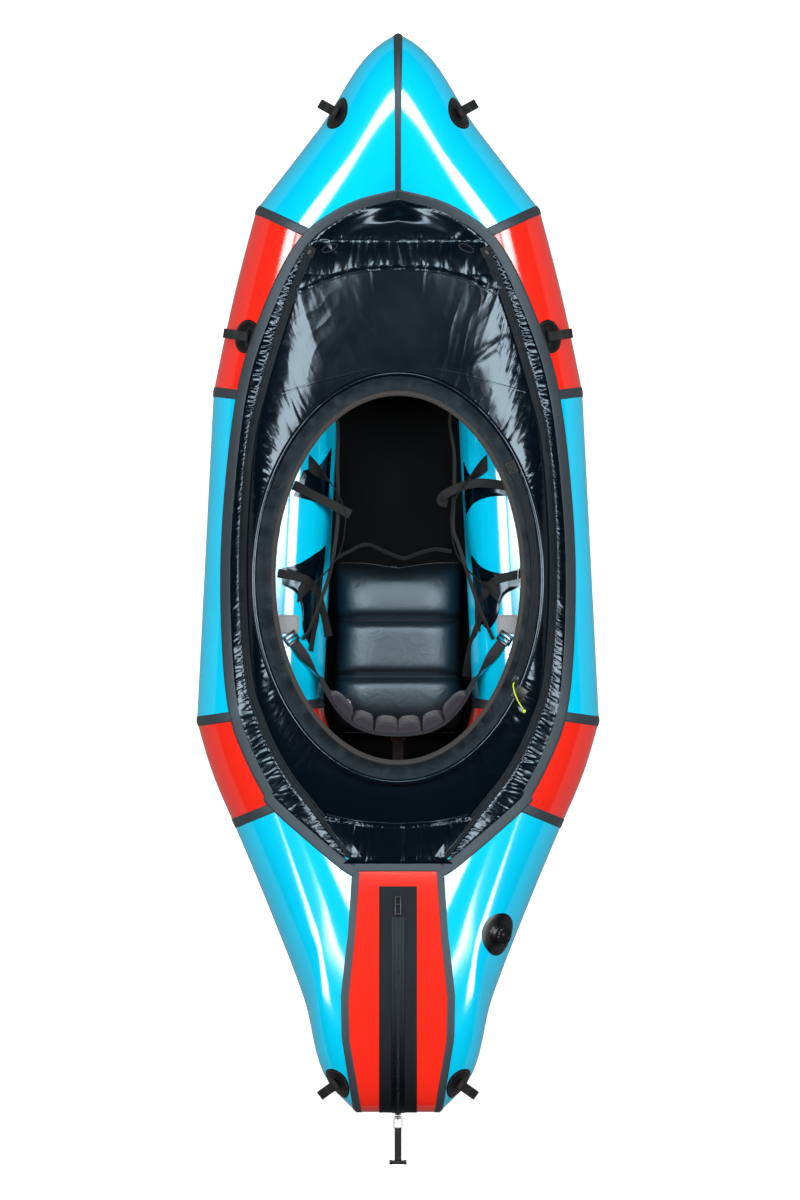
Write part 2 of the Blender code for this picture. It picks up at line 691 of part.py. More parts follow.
def drop(x, y, height):
    """The hull's surface under a plan point, raised by a height: (level, upward normal) or None."""
    triangles = top_triangles(height)
    a, b, c = triangles[:, 0], triangles[:, 1], triangles[:, 2]
    area = (b[:, 0] - a[:, 0]) * (c[:, 1] - a[:, 1]) - (c[:, 0] - a[:, 0]) * (b[:, 1] - a[:, 1])
    area[abs(area) < MERGE**2] = np.nan
    v = ((x - a[:, 0]) * (c[:, 1] - a[:, 1]) - (c[:, 0] - a[:, 0]) * (y - a[:, 1])) / area
    w = ((b[:, 0] - a[:, 0]) * (y - a[:, 1]) - (x - a[:, 0]) * (b[:, 1] - a[:, 1])) / area
    slack = 1 / 10000
    inside = (v >= -slack) & (w >= -slack) & (v + w <= 1 + slack)
    if not inside.any():
        return None
    levels = a[:, 2] + v * (b[:, 2] - a[:, 2]) + w * (c[:, 2] - a[:, 2])
    best = np.where(inside, levels, -np.inf).argmax()
    normal = np.cross(b[best] - a[best], c[best] - a[best])
    normal *= math.copysign(1, normal[2]) / np.linalg.norm(normal)
    return levels[best], normal


def hull_cut(name, side, outline, low, high, finish):
    """A piece of the hull's upper skin between two heights, cut to a plan outline of the right side."""
    layers = []
    for height in (high, low):
        rings = side_rings(height)
        layers.append(at_turns(np.array([*rings, mirrored(rings[-1])]), range(0, TUBE_FACETS // 2 + 1)))
    if side == "left":
        layers = [mirrored(layer) for layer in layers]
        outline = [(-x, y) for x, y in outline]
    piece = grid_body(name, *layers, finish)
    cutter = prism(f"{name}_outline", outline, AXIS_HEIGHT, AXIS_HEIGHT + 2 * TUBE_DIAMETER)
    return combine(piece, cutter, "INTERSECT")


def seam_tapes():
    """The tapes of each side: the perimeter tape with the ring tapes welded to it."""
    outer, inner = tape_edge(0), tape_edge(TAPE_WIDTH)
    outline = np.concatenate([outer, inner[::-1]])
    outline[:, 0] = np.maximum(outline[:, 0], CLEARANCE)
    low = TAPE_CLEARANCE + TAPE_THICKNESS / 2
    for side, turn in (("right", np.array), ("left", mirrored)):
        net = hull_cut(f"seam_tapes_{side}", side, outline, low, low + EDGE_TAPE_THICKNESS, "tape_grey")
        for ring in (LAST_RING, *SEAM_RINGS):

            def ring_at(height, ring=ring, turn=turn):
                return turn(side_rings(height)[ring])

            def before_at(height, ring=ring, turn=turn):
                return turn(side_rings(height)[ring - 1])

            def after_at(height, ring=ring, turn=turn):
                rings = side_rings(height)
                return turn(rings[ring + 1] if ring < LAST_RING else mirrored(rings[ring]))

            turns = {SEAM_RINGS[-1]: STERN_RING_TURNS, LAST_RING: STERN_SEAM_TURNS}.get(ring, RING_TAPE_TURNS)
            strip = seam_strip(f"ring_tape_{side}_{ring}", before_at, ring_at, after_at, turns)
            combine(net, helper(strip), "UNION")
        weld = net.modifiers.new("weld", "WELD")
        weld.merge_threshold = MERGE / 10

    def nose(height):
        return side_rings(height)[0]

    def shoulder(height):
        return side_rings(height)[1]

    def left_shoulder(height):
        return mirrored(side_rings(height)[1])

    seam_strip("bow_seam_tape", shoulder, nose, left_shoulder, BOW_TAPE_TURNS)


def deck_trim():
    """Border strips and zips along both sides of the deck."""
    high, low = [ORIGIN_Y + share * HALF_LENGTH for share in BORDER_SPAN_SHARES]
    outer = between_heights(tape_edge(TAPE_WIDTH + CLEARANCE), high, low)
    inner = between_heights(deck_zip_line(-DECK_ZIP_WIDTH / 2 - CLEARANCE), high, low)
    border = np.concatenate([outer, inner[::-1]])
    zip_edges = [deck_zip_line(offset) for offset in (-DECK_ZIP_WIDTH / 2, DECK_ZIP_WIDTH / 2)]
    zip_outline = np.concatenate([zip_edges[0], zip_edges[1][::-1]])
    for side in ("right", "left"):
        hull_cut(f"deck_border_{side}", side, border, DECK_LIFT, DECK_LIFT + DECK_THICKNESS,
                 "deck_black")
        hull_cut(f"deck_zip_{side}", side, zip_outline, DECK_LIFT, DECK_LIFT + DECK_ZIP_THICKNESS,
                 "zip_black")


def rests(x, y, level, gap):
    """A level for a deck point, kept clear of the hull under it."""
    found = drop(x, y, DECK_LIFT + gap)
    return level if found is None else max(level, found[0])


def on_hull(line):
    """A deck edge that lies on the hull."""
    levels = [drop(x, y, DECK_LIFT) for x, y in line]
    heights = [found[0] if found else DECK_TOP + lift(y) for (x, y), found in zip(line, levels)]
    return np.array([(x, y, height) for (x, y), height in zip(line, heights)])


def over_gap(line):
    """A welt from the boat's middle to a zip: taut between the tubes, and on the hull at its end."""
    end_x, end_y = line[-1]
    end_level = drop(end_x, end_y, DECK_LIFT)[0]
    raised = []
    for x, y in line:
        share = (x / end_x) ** 4
        level = (DECK_TOP + lift(y)) * (1 - share) + end_level * share
        raised.append((x, y, rests(x, y, level, 0)))
    return np.array(raised)


def settled(grid, closed_rows):
    """Raise a sheet's corners until it lies clear of the hull between them too."""
    rows, columns = grid.shape[:2]
    parts = range(SETTLE_PARTS + 1)
    weights = np.array([(i, j, SETTLE_PARTS - i - j) for i in parts for j in parts if i + j <= SETTLE_PARTS])
    weights = weights / SETTLE_PARTS
    for _ in range(SETTLE_ROUNDS):
        raised = grid.copy()
        for i in range(rows if closed_rows else rows - 1):
            after = (i + 1) % rows
            for j in range(columns - 1):
                a, b, c, d = (i, j), (after, j), (after, j + 1), (i, j + 1)
                for corners in ((a, b, c), (a, c, d)):
                    samples = weights @ np.array([grid[corner] for corner in corners])
                    found = [(drop(x, y, DECK_LIFT), z) for x, y, z in samples]
                    short = max([0] + [hit[0] - z for hit, z in found if hit])
                    for corner in corners:
                        raised[corner][2] = max(raised[corner][2], grid[corner][2] + short)
        if np.allclose(raised, grid, atol=MERGE):
            break
        grid = raised
    return grid


def deck_sheet(name, points, closed_rows=False):
    under = settled(np.array(points), closed_rows)
    return grid_body(name, under + (0, 0, DECK_THICKNESS), under, "deck_black", closed_rows=closed_rows)


def coons_panel(name, front, rear, right):
    """A deck panel spanned between its front, rear and side edges."""
    left = mirrored(right)
    columns, rows = len(front), len(right)
    grid = np.zeros((rows, columns, 3))
    for i in range(rows):
        for j in range(columns):
            v, u = i / (rows - 1), j / (columns - 1)
            corners = (1 - v) * ((1 - u) * front[0] + u * front[-1])
            corners = corners + v * ((1 - u) * rear[0] + u * rear[-1])
            point = (1 - v) * front[j] + v * rear[j] + (1 - u) * right[i] + u * left[i] - corners
            inside = 0 < i < rows - 1 and 0 < j < columns - 1
            point[2] = rests(point[0], point[1], point[2], DECK_REST_GAP if inside else 0)
            grid[i, j] = point
    return deck_sheet(name, grid)


def across(half):
    """A right half line from the centre outwards, made whole from right to left."""
    return np.concatenate([half[::-1], mirrored(half[1:])])


def deck_panels():
    gap = DECK_ZIP_WIDTH / 2 + CLEARANCE
    zip_edge = deck_zip_line(gap)
    welts = []
    for shares in (FRONT_WELT_SHARES, REAR_WELT_SHARES):
        line = smooth_line([plan(share) for share in shares], 4)
        falling = zip_edge[::-1]
        line[-1][0] = np.interp(line[-1][1], falling[:, 1], falling[:, 0])
        welts.append(line)
    front_welt, rear_welt = welts
    tape = tape_edge(TAPE_WIDTH + CLEARANCE)
    corner = deck_zip_line(-gap)[0] - unit(zip_edge[1] - zip_edge[0]) * CLEARANCE
    bow_front = between_heights(tape[:len(TAPE_EDGE_SHARES) * 3 - 3], tape[0][1], corner[1])
    bow_front[0][0] = 0
    side = on_hull(between_heights(zip_edge, front_welt[-1][1], rear_welt[-1][1]))
    front = over_gap(resampled(front_welt, len(bow_front)))
    rear = over_gap(resampled(rear_welt, WELT_STEPS))
    half = np.concatenate([front[:-1], side, rear[::-1][1:]])
    outline = np.concatenate([half, mirrored(half)[-2:0:-1]])
    rows = []
    for x, y, level in outline:
        outer_length = COAMING_LENGTH / 2 - WALL_INSET
        outer_width = COAMING_WIDTH / 2 - WALL_INSET
        turn = math.atan2(x / outer_width, (y - COAMING_Y) / outer_length)
        shelf, wall = [
            np.array((width * math.sin(turn), COAMING_Y + length * math.cos(turn)))
            for width, length in (
                (outer_width + DECK_WALL_SHELF, outer_length + DECK_WALL_SHELF),
                (outer_width - WALL_THICKNESS, outer_length - WALL_THICKNESS),
            )
        ]
        start = np.array((x, y))
        row = [(x, y, level)]
        for share in WALL_FOOT_SHARES:
            point = start + (shelf - start) * share
            height = level + (DECK_WALL_HEIGHT - level) * share
            row.append((*point, rests(*point, height, DECK_REST_GAP)))
        row += [(*shelf, DECK_WALL_HEIGHT), (*wall, DECK_WALL_HEIGHT)]
        rows.append(row)
    deck_sheet("deck_main_panel", rows, closed_rows=True)

    seam_gap = np.array((0, CLEARANCE, 0))
    start = zip_edge[0] - unit(zip_edge[1] - zip_edge[0]) * CLEARANCE
    bow_side = between_heights(zip_edge, zip_edge[0][1], front_welt[-1][1])
    bow_side = on_hull(np.concatenate([[bow_front[-1], start], bow_side[1:]]))
    bow_side[-1] = front[-1] + seam_gap
    coons_panel("deck_bow_panel", across(on_hull(bow_front)), across(front) + seam_gap, bow_side)

    zip_end = zip_edge[-1]
    rear_y = tape[-1][1]
    stern_side = between_heights(zip_edge, rear_welt[-1][1], zip_end[1])
    stern_side = on_hull(np.concatenate([stern_side, [(zip_end[0], rear_y)]]))
    stern_side[0] = rear[-1] - seam_gap
    stern_rear = on_hull(resampled(np.array([(0, rear_y), (zip_end[0], rear_y)]), WELT_STEPS))
    coons_panel("deck_stern_panel", across(rear) - seam_gap, across(stern_rear), stern_side)


def oval(inset, level):
    """A loop round the coaming, inset from its outer edge."""
    turns = np.arange(COAMING_SEGMENTS) * 2 * math.pi / COAMING_SEGMENTS
    return np.stack([
        (COAMING_WIDTH / 2 - inset) * np.sin(turns),
        COAMING_Y + (COAMING_LENGTH / 2 - inset) * np.cos(turns),
        0 * turns + level,
    ], axis=1)


def lip_zip_arc():
    """(centre x, radius, half angle) of the circle that the coaming's zip follows."""
    width, length = COAMING_WIDTH / 2 - LIP_ZIP_INSET, COAMING_LENGTH / 2 - LIP_ZIP_INSET
    half_span = LIP_ZIP_SPAN / 2
    sagitta = width * (1 - math.sqrt(1 - (half_span / length) ** 2))
    radius = (half_span**2 + sagitta**2) / (2 * sagitta)
    return width - radius, radius, math.asin(half_span / radius)


def coaming():
    rim_radius = RIM_DIAMETER / 2
    rim = []
    for i in range(RIM_SIDES):
        turn = 2 * math.pi * i / RIM_SIDES
        inset = rim_radius + rim_radius * math.cos(turn)
        rim.append(oval(inset, LIP_TOP - rim_radius + rim_radius * math.sin(turn)))
    swept_ring("coaming_rim_tube", rim, "deck_black")
    outer = RIM_DIAMETER + CLEARANCE
    inner = LIP_WIDTH - BINDING_WIDTH - CLEARANCE
    under = LIP_TOP - LIP_THICKNESS
    foot = DECK_WALL_HEIGHT + DECK_THICKNESS + CLEARANCE
    wall_out, wall_in = WALL_INSET, WALL_INSET + WALL_THICKNESS
    section = ((outer, LIP_TOP), (inner, LIP_TOP), (inner, under), (wall_in, under), (wall_in, foot),
               (wall_out, foot), (wall_out, under), (outer + LIP_THICKNESS, under),
               (outer + LIP_THICKNESS, LIP_TOP - LIP_HEM), (outer, LIP_TOP - LIP_HEM))
    swept_ring("coaming_lip", [oval(inset, level) for inset, level in section], "deck_black")
    middle, half_width, half_height = LIP_WIDTH - BINDING_WIDTH / 2, BINDING_WIDTH / 2, BINDING_HEIGHT / 2
    level = LIP_TOP - LIP_THICKNESS / 2
    binding = []
    for i in range(8):
        turn = 2 * math.pi * (i + 1 / 2) / 8
        binding.append(oval(middle + half_width * math.cos(turn), level + half_height * math.sin(turn)))
    swept_ring("coaming_binding", binding, "tape_grey")

    centre_x, radius, half_angle = lip_zip_arc()
    turns = np.linspace(-half_angle, half_angle, LIP_ZIP_STEPS + 1)
    low = LIP_TOP + CLEARANCE
    layers = []
    for height in (low + LIP_ZIP_THICKNESS, low):
        rows = []
        for turn in turns:
            arms = [radius + offset for offset in (-LIP_ZIP_WIDTH / 2, LIP_ZIP_WIDTH / 2)]
            rows.append([(centre_x + arm * math.cos(turn), COAMING_Y + arm * math.sin(turn), height)
                         for arm in arms])
        layers.append(np.array(rows))
    grid_body("coaming_zip", *layers, "zip_black")

    width, length, height = LIP_SLIDER
    slider = box_mesh("coaming_zip_slider", (-width / 2, -length / 2, -height / 2),
                      (width / 2, length / 2, height / 2), "plastic_black")
    rounded = slider.modifiers.new("rounded", "BEVEL")
    rounded.width = height / 5
    rounded.segments = 1
    place(slider, lip_slider_place())


def lip_slider_place():
    """The frame of the coaming zip's slider: Y runs along the zip, away from the pull cord."""
    centre_x, radius, half_angle = lip_zip_arc()
    turn = (LIP_SLIDER_SETBACK + LIP_SLIDER[1] / 2) / radius - half_angle
    level = LIP_TOP + CLEARANCE + LIP_ZIP_THICKNESS + CLEARANCE + LIP_SLIDER[2] / 2
    spot = Vector((centre_x + radius * math.cos(turn), COAMING_Y + radius * math.sin(turn), level))
    return Matrix.Translation(spot) @ Matrix.Rotation(turn, 4, "Z")


def pull_cord():
    matrix = lip_slider_place()
    end = LIP_SLIDER[1] / 2 + CLEARANCE
    lead = [tuple(matrix @ Vector((0, -reach, 0))) for reach in (end, end + PULL_CORD_LEAD)]
    route = [*lead, *PULL_CORD_ROUTE]
    data = bpy.data.curves.new("coaming_pull_cord", "CURVE")
    data.dimensions = "3D"
    line = data.splines.new("POLY")
    line.points.add(len(route) - 1)
    for point, spot in zip(line.points, route):
        point.co = (*spot, 1)
    data.bevel_depth = PULL_CORD_DIAMETER / 2
    data.bevel_resolution = 2
    data.use_fill_caps = True
    data.materials.append(material("cord_green"))
    bpy.context.scene.collection.objects.link(bpy.data.objects.new("coaming_pull_cord", data))
    last, before = np.array(route[-1]), np.array(route[-2])
    centre = last + unit(last - before) * (PULL_CORD_KNOT_RADIUS + CLEARANCE)
    profile = [(0, -PULL_CORD_KNOT_RADIUS)]
    for i in range(1, 6):
        turn = math.pi * i / 6
        profile.append((PULL_CORD_KNOT_RADIUS * math.sin(turn), -PULL_CORD_KNOT_RADIUS * math.cos(turn)))
    profile.append((0, PULL_CORD_KNOT_RADIUS))
    knot = turned("pull_cord_knot", profile, "cord_green", sides=10)
    place(knot, Matrix.Translation(Vector(centre)))


def tail_strip(name, half_width, turns, low, high, finish):
    """A strip across the stern panel, along its profile between two places in facets."""
    first, last = turns
    inside = range(math.floor(first) + 1, math.ceil(last))
    columns = (first, *inside, last)
    layers = []
    for height in (high, low):
        ring = at_turns(side_rings(height)[-1:], columns)[0]
        middle = ring * (0, 1, 1)
        layers.append(np.array([middle + (half_width, 0, 0), middle - (half_width, 0, 0)]))
    return grid_body(name, *layers, finish)


def cargo_zip():
    low = TAPE_CLEARANCE
    high = low + CARGO_BACKING_THICKNESS
    tail_strip("cargo_zip_backing", CARGO_BACKING_WIDTH / 2, CARGO_BACKING_TURNS, low, high, "zip_black")
    low = high + CLEARANCE
    high = low + CARGO_CHAIN_THICKNESS
    tail_strip("cargo_zip_chain", CARGO_CHAIN_WIDTH / 2, CARGO_CHAIN_TURNS, low, high, "plastic_black")
    tail_strip("cargo_zip_dock", CARGO_DOCK_WIDTH / 2, CARGO_DOCK_TURNS, low, low + CARGO_DOCK_THICKNESS,
               "plastic_black")
    aft = side_rings(high + CLEARANCE)[-1][0]
    width, depth, height = CARGO_SLIDER
    bar_radius = PULLER_BAR_DIAMETER / 2
    back = aft[1]
    level = aft[2]
    slider = box_mesh("cargo_zip_slider", (-width / 2, back - depth, level - height / 2),
                      (width / 2, back, level + height / 2), "metal_grey")
    rounded = slider.modifiers.new("rounded", "BEVEL")
    rounded.width = depth / 5
    rounded.segments = 2
    bar_y = back - BAR_OFFSET
    room = bar_radius + PULLER_BAR_ROOM
    bridge_out = room + CARGO_BRIDGE_WALL
    bridge = box_mesh("slider_bridge", (-CARGO_BRIDGE_WIDTH / 2, bar_y - bridge_out, level - bridge_out),
                      (CARGO_BRIDGE_WIDTH / 2, back - depth / 2, level + bridge_out), "metal_grey")
    tunnel = box_mesh("slider_bridge_room", (-CARGO_BRIDGE_WIDTH, bar_y - room, level - room),
                      (CARGO_BRIDGE_WIDTH, back - depth - MERGE, level + room), "metal_grey")
    combine(bridge, helper(tunnel), "DIFFERENCE")
    combine(slider, helper(bridge), "UNION")

    half_strap = PULLER_STRAP_WIDTH / 2
    arm = PULLER_BAR_DIAMETER
    half_link = half_strap + arm / 2
    link_end = bar_y - PULLER_LINK_LENGTH
    toggle_radius = PULLER_TOGGLE_DIAMETER / 2
    toggle_y = link_end - PULLER_STRAP_LENGTH - toggle_radius
    puller = box_mesh("cargo_zip_puller", (-half_strap, toggle_y, level - PULLER_STRAP_THICKNESS / 2),
                      (half_strap, link_end, level + PULLER_STRAP_THICKNESS / 2), "plastic_black")
    link = box_mesh("puller_link", (-half_link, link_end - arm, level - bar_radius),
                    (half_link, bar_y + bar_radius, level + bar_radius), "plastic_black")
    window = box_mesh("puller_link_window", (arm - half_link, link_end - 2 * arm, level - arm),
                      (half_link - arm, bar_y - bar_radius, level + arm), "plastic_black")
    combine(link, helper(window), "DIFFERENCE")
    combine(puller, helper(link), "UNION")
    half_toggle = PULLER_TOGGLE_LENGTH / 2
    rim = [(toggle_radius, -half_toggle), (toggle_radius, half_toggle)]
    profile = [(0, -half_toggle), *rim, (0, half_toggle)]
    toggle = turned("puller_toggle", profile, "plastic_black", sides=PULLER_TOGGLE_SIDES)
    across = Matrix.Translation(Vector((0, toggle_y, level))) @ Matrix.Rotation(math.pi / 2, 4, "Y")
    place(toggle, across @ Matrix.Rotation(math.pi / PULLER_TOGGLE_SIDES, 4, "Z"))
    combine(puller, helper(toggle), "UNION")


def seat_matrix(x, y, height):
    """A frame on the hull's surface: Z is its normal, and X runs downhill and outboard."""
    level, normal = drop(x, y, height)
    up = Vector(normal)
    along = Vector((0, 0, 1)).cross(up).normalized()
    downhill = along.cross(up)
    turn = Matrix((downhill, along, up)).transposed().to_4x4()
    return Matrix.Translation(Vector((x, y, level))) @ turn


def hull_layer(name, low, thickness, finish):
    """The hull's outer and upper skin between two heights."""
    layers = [at_turns(hull_rings(height), LAYER_TURNS) for height in (low + thickness, low)]
    return grid_body(name, *layers, finish, closed_rows=True, mirrored_from=LAST_RING + 1)


def seated(name, thing, low):
    """Trim a fitting's foot to the hull's shape at a height over its skin."""
    return combine(thing, helper(hull_layer(name, low, FITTING_REACH, "plastic_black")), "INTERSECT")


def hull_disc(name, matrix, diameter, low, thickness, finish):
    """A round piece of the hull's upper skin about a place on it."""
    piece = hull_layer(name, low, thickness, finish)
    reach = diameter / 2
    cutter = turned(f"{name}_outline", [(0, -reach), (reach, -reach), (reach, reach), (0, reach)], finish)
    return combine(piece, helper(place(cutter, matrix)), "INTERSECT")


def valve():
    x, y = beside(VALVE_SHARES)
    matrix = seat_matrix(x, y, TAPE_CLEARANCE)
    base = hull_disc("valve_base", matrix, VALVE_FLANGE_DIAMETER, TAPE_CLEARANCE, VALVE_FLANGE_THICKNESS,
                     "plastic_black")
    outer, bore = VALVE_COLLAR_DIAMETER / 2, VALVE_BORE_DIAMETER / 2
    collar = turned("valve_collar", [
        (0, -VALVE_COLLAR_HEIGHT), (outer, -VALVE_COLLAR_HEIGHT), (outer, VALVE_COLLAR_HEIGHT),
        (bore, VALVE_COLLAR_HEIGHT), (bore, VALVE_BASE_PLATE), (0, VALVE_BASE_PLATE),
    ], "plastic_black")
    seated("valve_foot", place(collar, matrix), TAPE_CLEARANCE + VALVE_FLANGE_THICKNESS / 3)
    combine(base, helper(collar), "UNION")
    stem_low = VALVE_BASE_PLATE + VALVE_STEM_SEAT
    stem_radius = VALVE_STEM_DIAMETER / 2
    stem_high = stem_low + VALVE_STEM_HEIGHT
    profile = [(0, stem_low), (stem_radius, stem_low), (stem_radius, stem_high), (0, stem_high)]
    stem = turned("valve_stem", profile, "plastic_black", sides=VALVE_STEM_SIDES)
    place(stem, matrix)
    low = VALVE_COLLAR_HEIGHT + CLEARANCE
    high = low + VALVE_CAP_HEIGHT
    plug_low = low - VALVE_CAP_PLUG / 2
    plug = (bore - 2 * CLEARANCE) * 3 / 4
    radius = VALVE_CAP_DIAMETER / 2
    profile = [(0, plug_low), (plug, plug_low), (plug, low), (radius, low), (radius, high), (0, high)]
    cap = turned("valve_cap", profile, "plastic_black", sides=VALVE_CAP_SIDES, lobes=VALVE_CAP_LOBES,
                 lobe_depth=VALVE_CAP_LOBE_DEPTH)
    place(cap, matrix)


def grab_loops():
    """Six webbing loops, each held on a round patch by a sewn keeper that it folds about."""
    edge = tape_edge(-CLEARANCE)
    outline = np.concatenate([edge, (edge * np.array((-1, 1)))[-2:0:-1]])
    under_tape = prism("deck_outline", outline, AXIS_HEIGHT, AXIS_HEIGHT + 2 * TUBE_DIAMETER)
    for spot, shares in GRAB_SHARES.items():
        for side in ("right", "left"):
            x, y = beside(shares)
            matrix = seat_matrix(x if side == "right" else -x, y, TAPE_CLEARANCE)
            patch = hull_disc(f"grab_patch_{spot}_{side}", matrix, PATCH_DIAMETER, TAPE_CLEARANCE,
                              PATCH_THICKNESS, "plastic_black")
            reach = LOOP_WIDTH / 2 + CLEARANCE
            foot = KEEPER_FOOT
            if spot == "side":
                combine(patch, under_tape, "DIFFERENCE")
            back, front = -KEEPER_DEPTH / 2 - LOOP_REACH_BACK, KEEPER_DEPTH / 2 - LOOP_REACH_BACK
            keeper = box_mesh(f"keeper_{spot}_{side}", (back, -reach - foot, -KEEPER_HEIGHT),
                              (front, reach + foot, KEEPER_HEIGHT), "webbing_grey")
            under_top = KEEPER_HEIGHT - KEEPER_THICKNESS
            room = box_mesh(f"keeper_room_{spot}_{side}",
                            (back - KEEPER_DEPTH / 2, -reach, -2 * KEEPER_HEIGHT),
                            (front + KEEPER_DEPTH / 2, reach, under_top), "webbing_grey")
            combine(place(keeper, matrix), helper(place(room, matrix)), "DIFFERENCE")
            seated(f"keeper_foot_{spot}_{side}", keeper, TAPE_CLEARANCE + PATCH_THICKNESS / 3)
            combine(patch, helper(keeper), "UNION")
            radius = LOOP_HEIGHT / 2
            straight = LOOP_LENGTH - LOOP_HEIGHT
            centres = []
            for start, offset in ((math.pi / 2, 0), (-math.pi / 2, straight)):
                for i in range(LOOP_STEPS + 1):
                    turn = start + math.pi * i / LOOP_STEPS
                    centres.append((offset + radius * math.cos(turn), 0, radius * math.sin(turn)))
            halves = [(0, LOOP_WIDTH / 2, 0)] * len(centres)
            loop = ribbon(f"grab_loop_{spot}_{side}", centres, halves, LOOP_WEBBING, "webbing_grey",
                          closed=True)
            bar = Matrix.Translation((-LOOP_REACH_BACK, 0, KEEPER_HEIGHT - KEEPER_THICKNESS / 2))
            lean = Matrix.Rotation(-LOOP_LEAN, 4, "Y")
            place(loop, matrix @ bar @ lean)


def seat_cushion():
    """The inflated seat: crowned, with channels across it and sides drawn in between its corners."""
    front = ORIGIN_Y + SEAT_FRONT_SHARE * HALF_LENGTH
    base = SEAT_HEIGHT * SEAT_BASE_SHARE
    low = FLOOR_TOP + CLEARANCE
    rings = []
    for i in range(SEAT_STATIONS):
        share = i / (SEAT_STATIONS - 1)
        eased_share = (1 - math.cos(math.pi * share)) / 2
        along = (share + eased_share) / 2
        y = front - SEAT_LENGTH * along
        end = 1 - abs(2 * along - 1) ** SEAT_END_POWER
        dip = 0
        for seam in range(1, SEAT_CHANNELS):
            distance = (along - seam / SEAT_CHANNELS) * SEAT_LENGTH
            dip += math.exp(-((distance / SEAT_CHANNEL_SPREAD) ** 2))
        crown = SEAT_HEIGHT - base - SEAT_CHANNEL_DEPTH * dip
        crown *= max(end, SEAT_LEAST_CROWN_SHARE) ** SEAT_CROWN_POWER
        half = SEAT_WIDTH / 2 - SEAT_PINCH * math.sin(math.pi * along) ** 2 - SEAT_PINCH * (1 - end)
        half -= SEAT_PINCH * dip / 4
        ring = []
        for j in range(SEAT_SIDES):
            turn = 2 * math.pi * j / SEAT_SIDES
            c, s = math.cos(turn), math.sin(turn)
            x = half * math.copysign(abs(c) ** SEAT_SIDE_POWER, c)
            z = crown * abs(s) ** SEAT_TOP_POWER if s > 0 else -base * abs(s) ** SEAT_UNDER_POWER
            ring.append((x, y, low + base + z))
        rings.append(ring)
    points = np.array(rings)
    rows, columns = points.shape[:2]
    faces = [tuple(range(columns)), tuple(range(rows * columns - 1, (rows - 1) * columns - 1, -1))]
    for i in range(rows - 1):
        for j in range(columns):
            a, b = i * columns + j, i * columns + (j + 1) % columns
            faces.append((a, b, b + columns, a + columns))
    add_mesh("seat_cushion", points.reshape(-1, 3), faces, "seat_black")

    level = low + FRONT_STRAP_WIDTH / 2
    centres = [(x * SEAT_WIDTH, front + y * SEAT_LENGTH, level) for x, y in FRONT_STRAP_SHARES]
    halves = [(0, 0, FRONT_STRAP_WIDTH / 2)] * len(centres)
    ribbon("seat_front_strap", centres, halves, FRONT_STRAP_THICKNESS, "webbing_grey")


def buckle_place(side):
    """The frame of one ladder-lock buckle: Y runs along its strap."""
    x, y = plan(BUCKLE_SHARES)
    level, normal = drop(x, y, BUCKLE_HOVER)
    turn = Matrix.Rotation(-BUCKLE_TURN, 4, "Z")
    slope = Matrix.Rotation(math.atan2(-normal[0], normal[2]) * -1, 4, "Y")
    matrix = Matrix.Translation(Vector((x, y, level))) @ slope @ turn
    if side == "left":
        flip = Matrix.Scale(-1, 4, (1, 0, 0))
        matrix = flip @ matrix @ flip
    return matrix


def belt_curve(share):
    """The backband's centre line in plan and its level, from the middle (0) to an end (1)."""
    x = BELT_SPAN / 2 * share
    y = BELT_DEPTH * (BELT_CURVE_SHARE * share**2 + (1 - BELT_CURVE_SHARE) * share**4) - BELT_REAR
    level = BELT_MIDDLE_HEIGHT + (BELT_END_HEIGHT - BELT_MIDDLE_HEIGHT) * share**2
    return np.array((x, y, level))


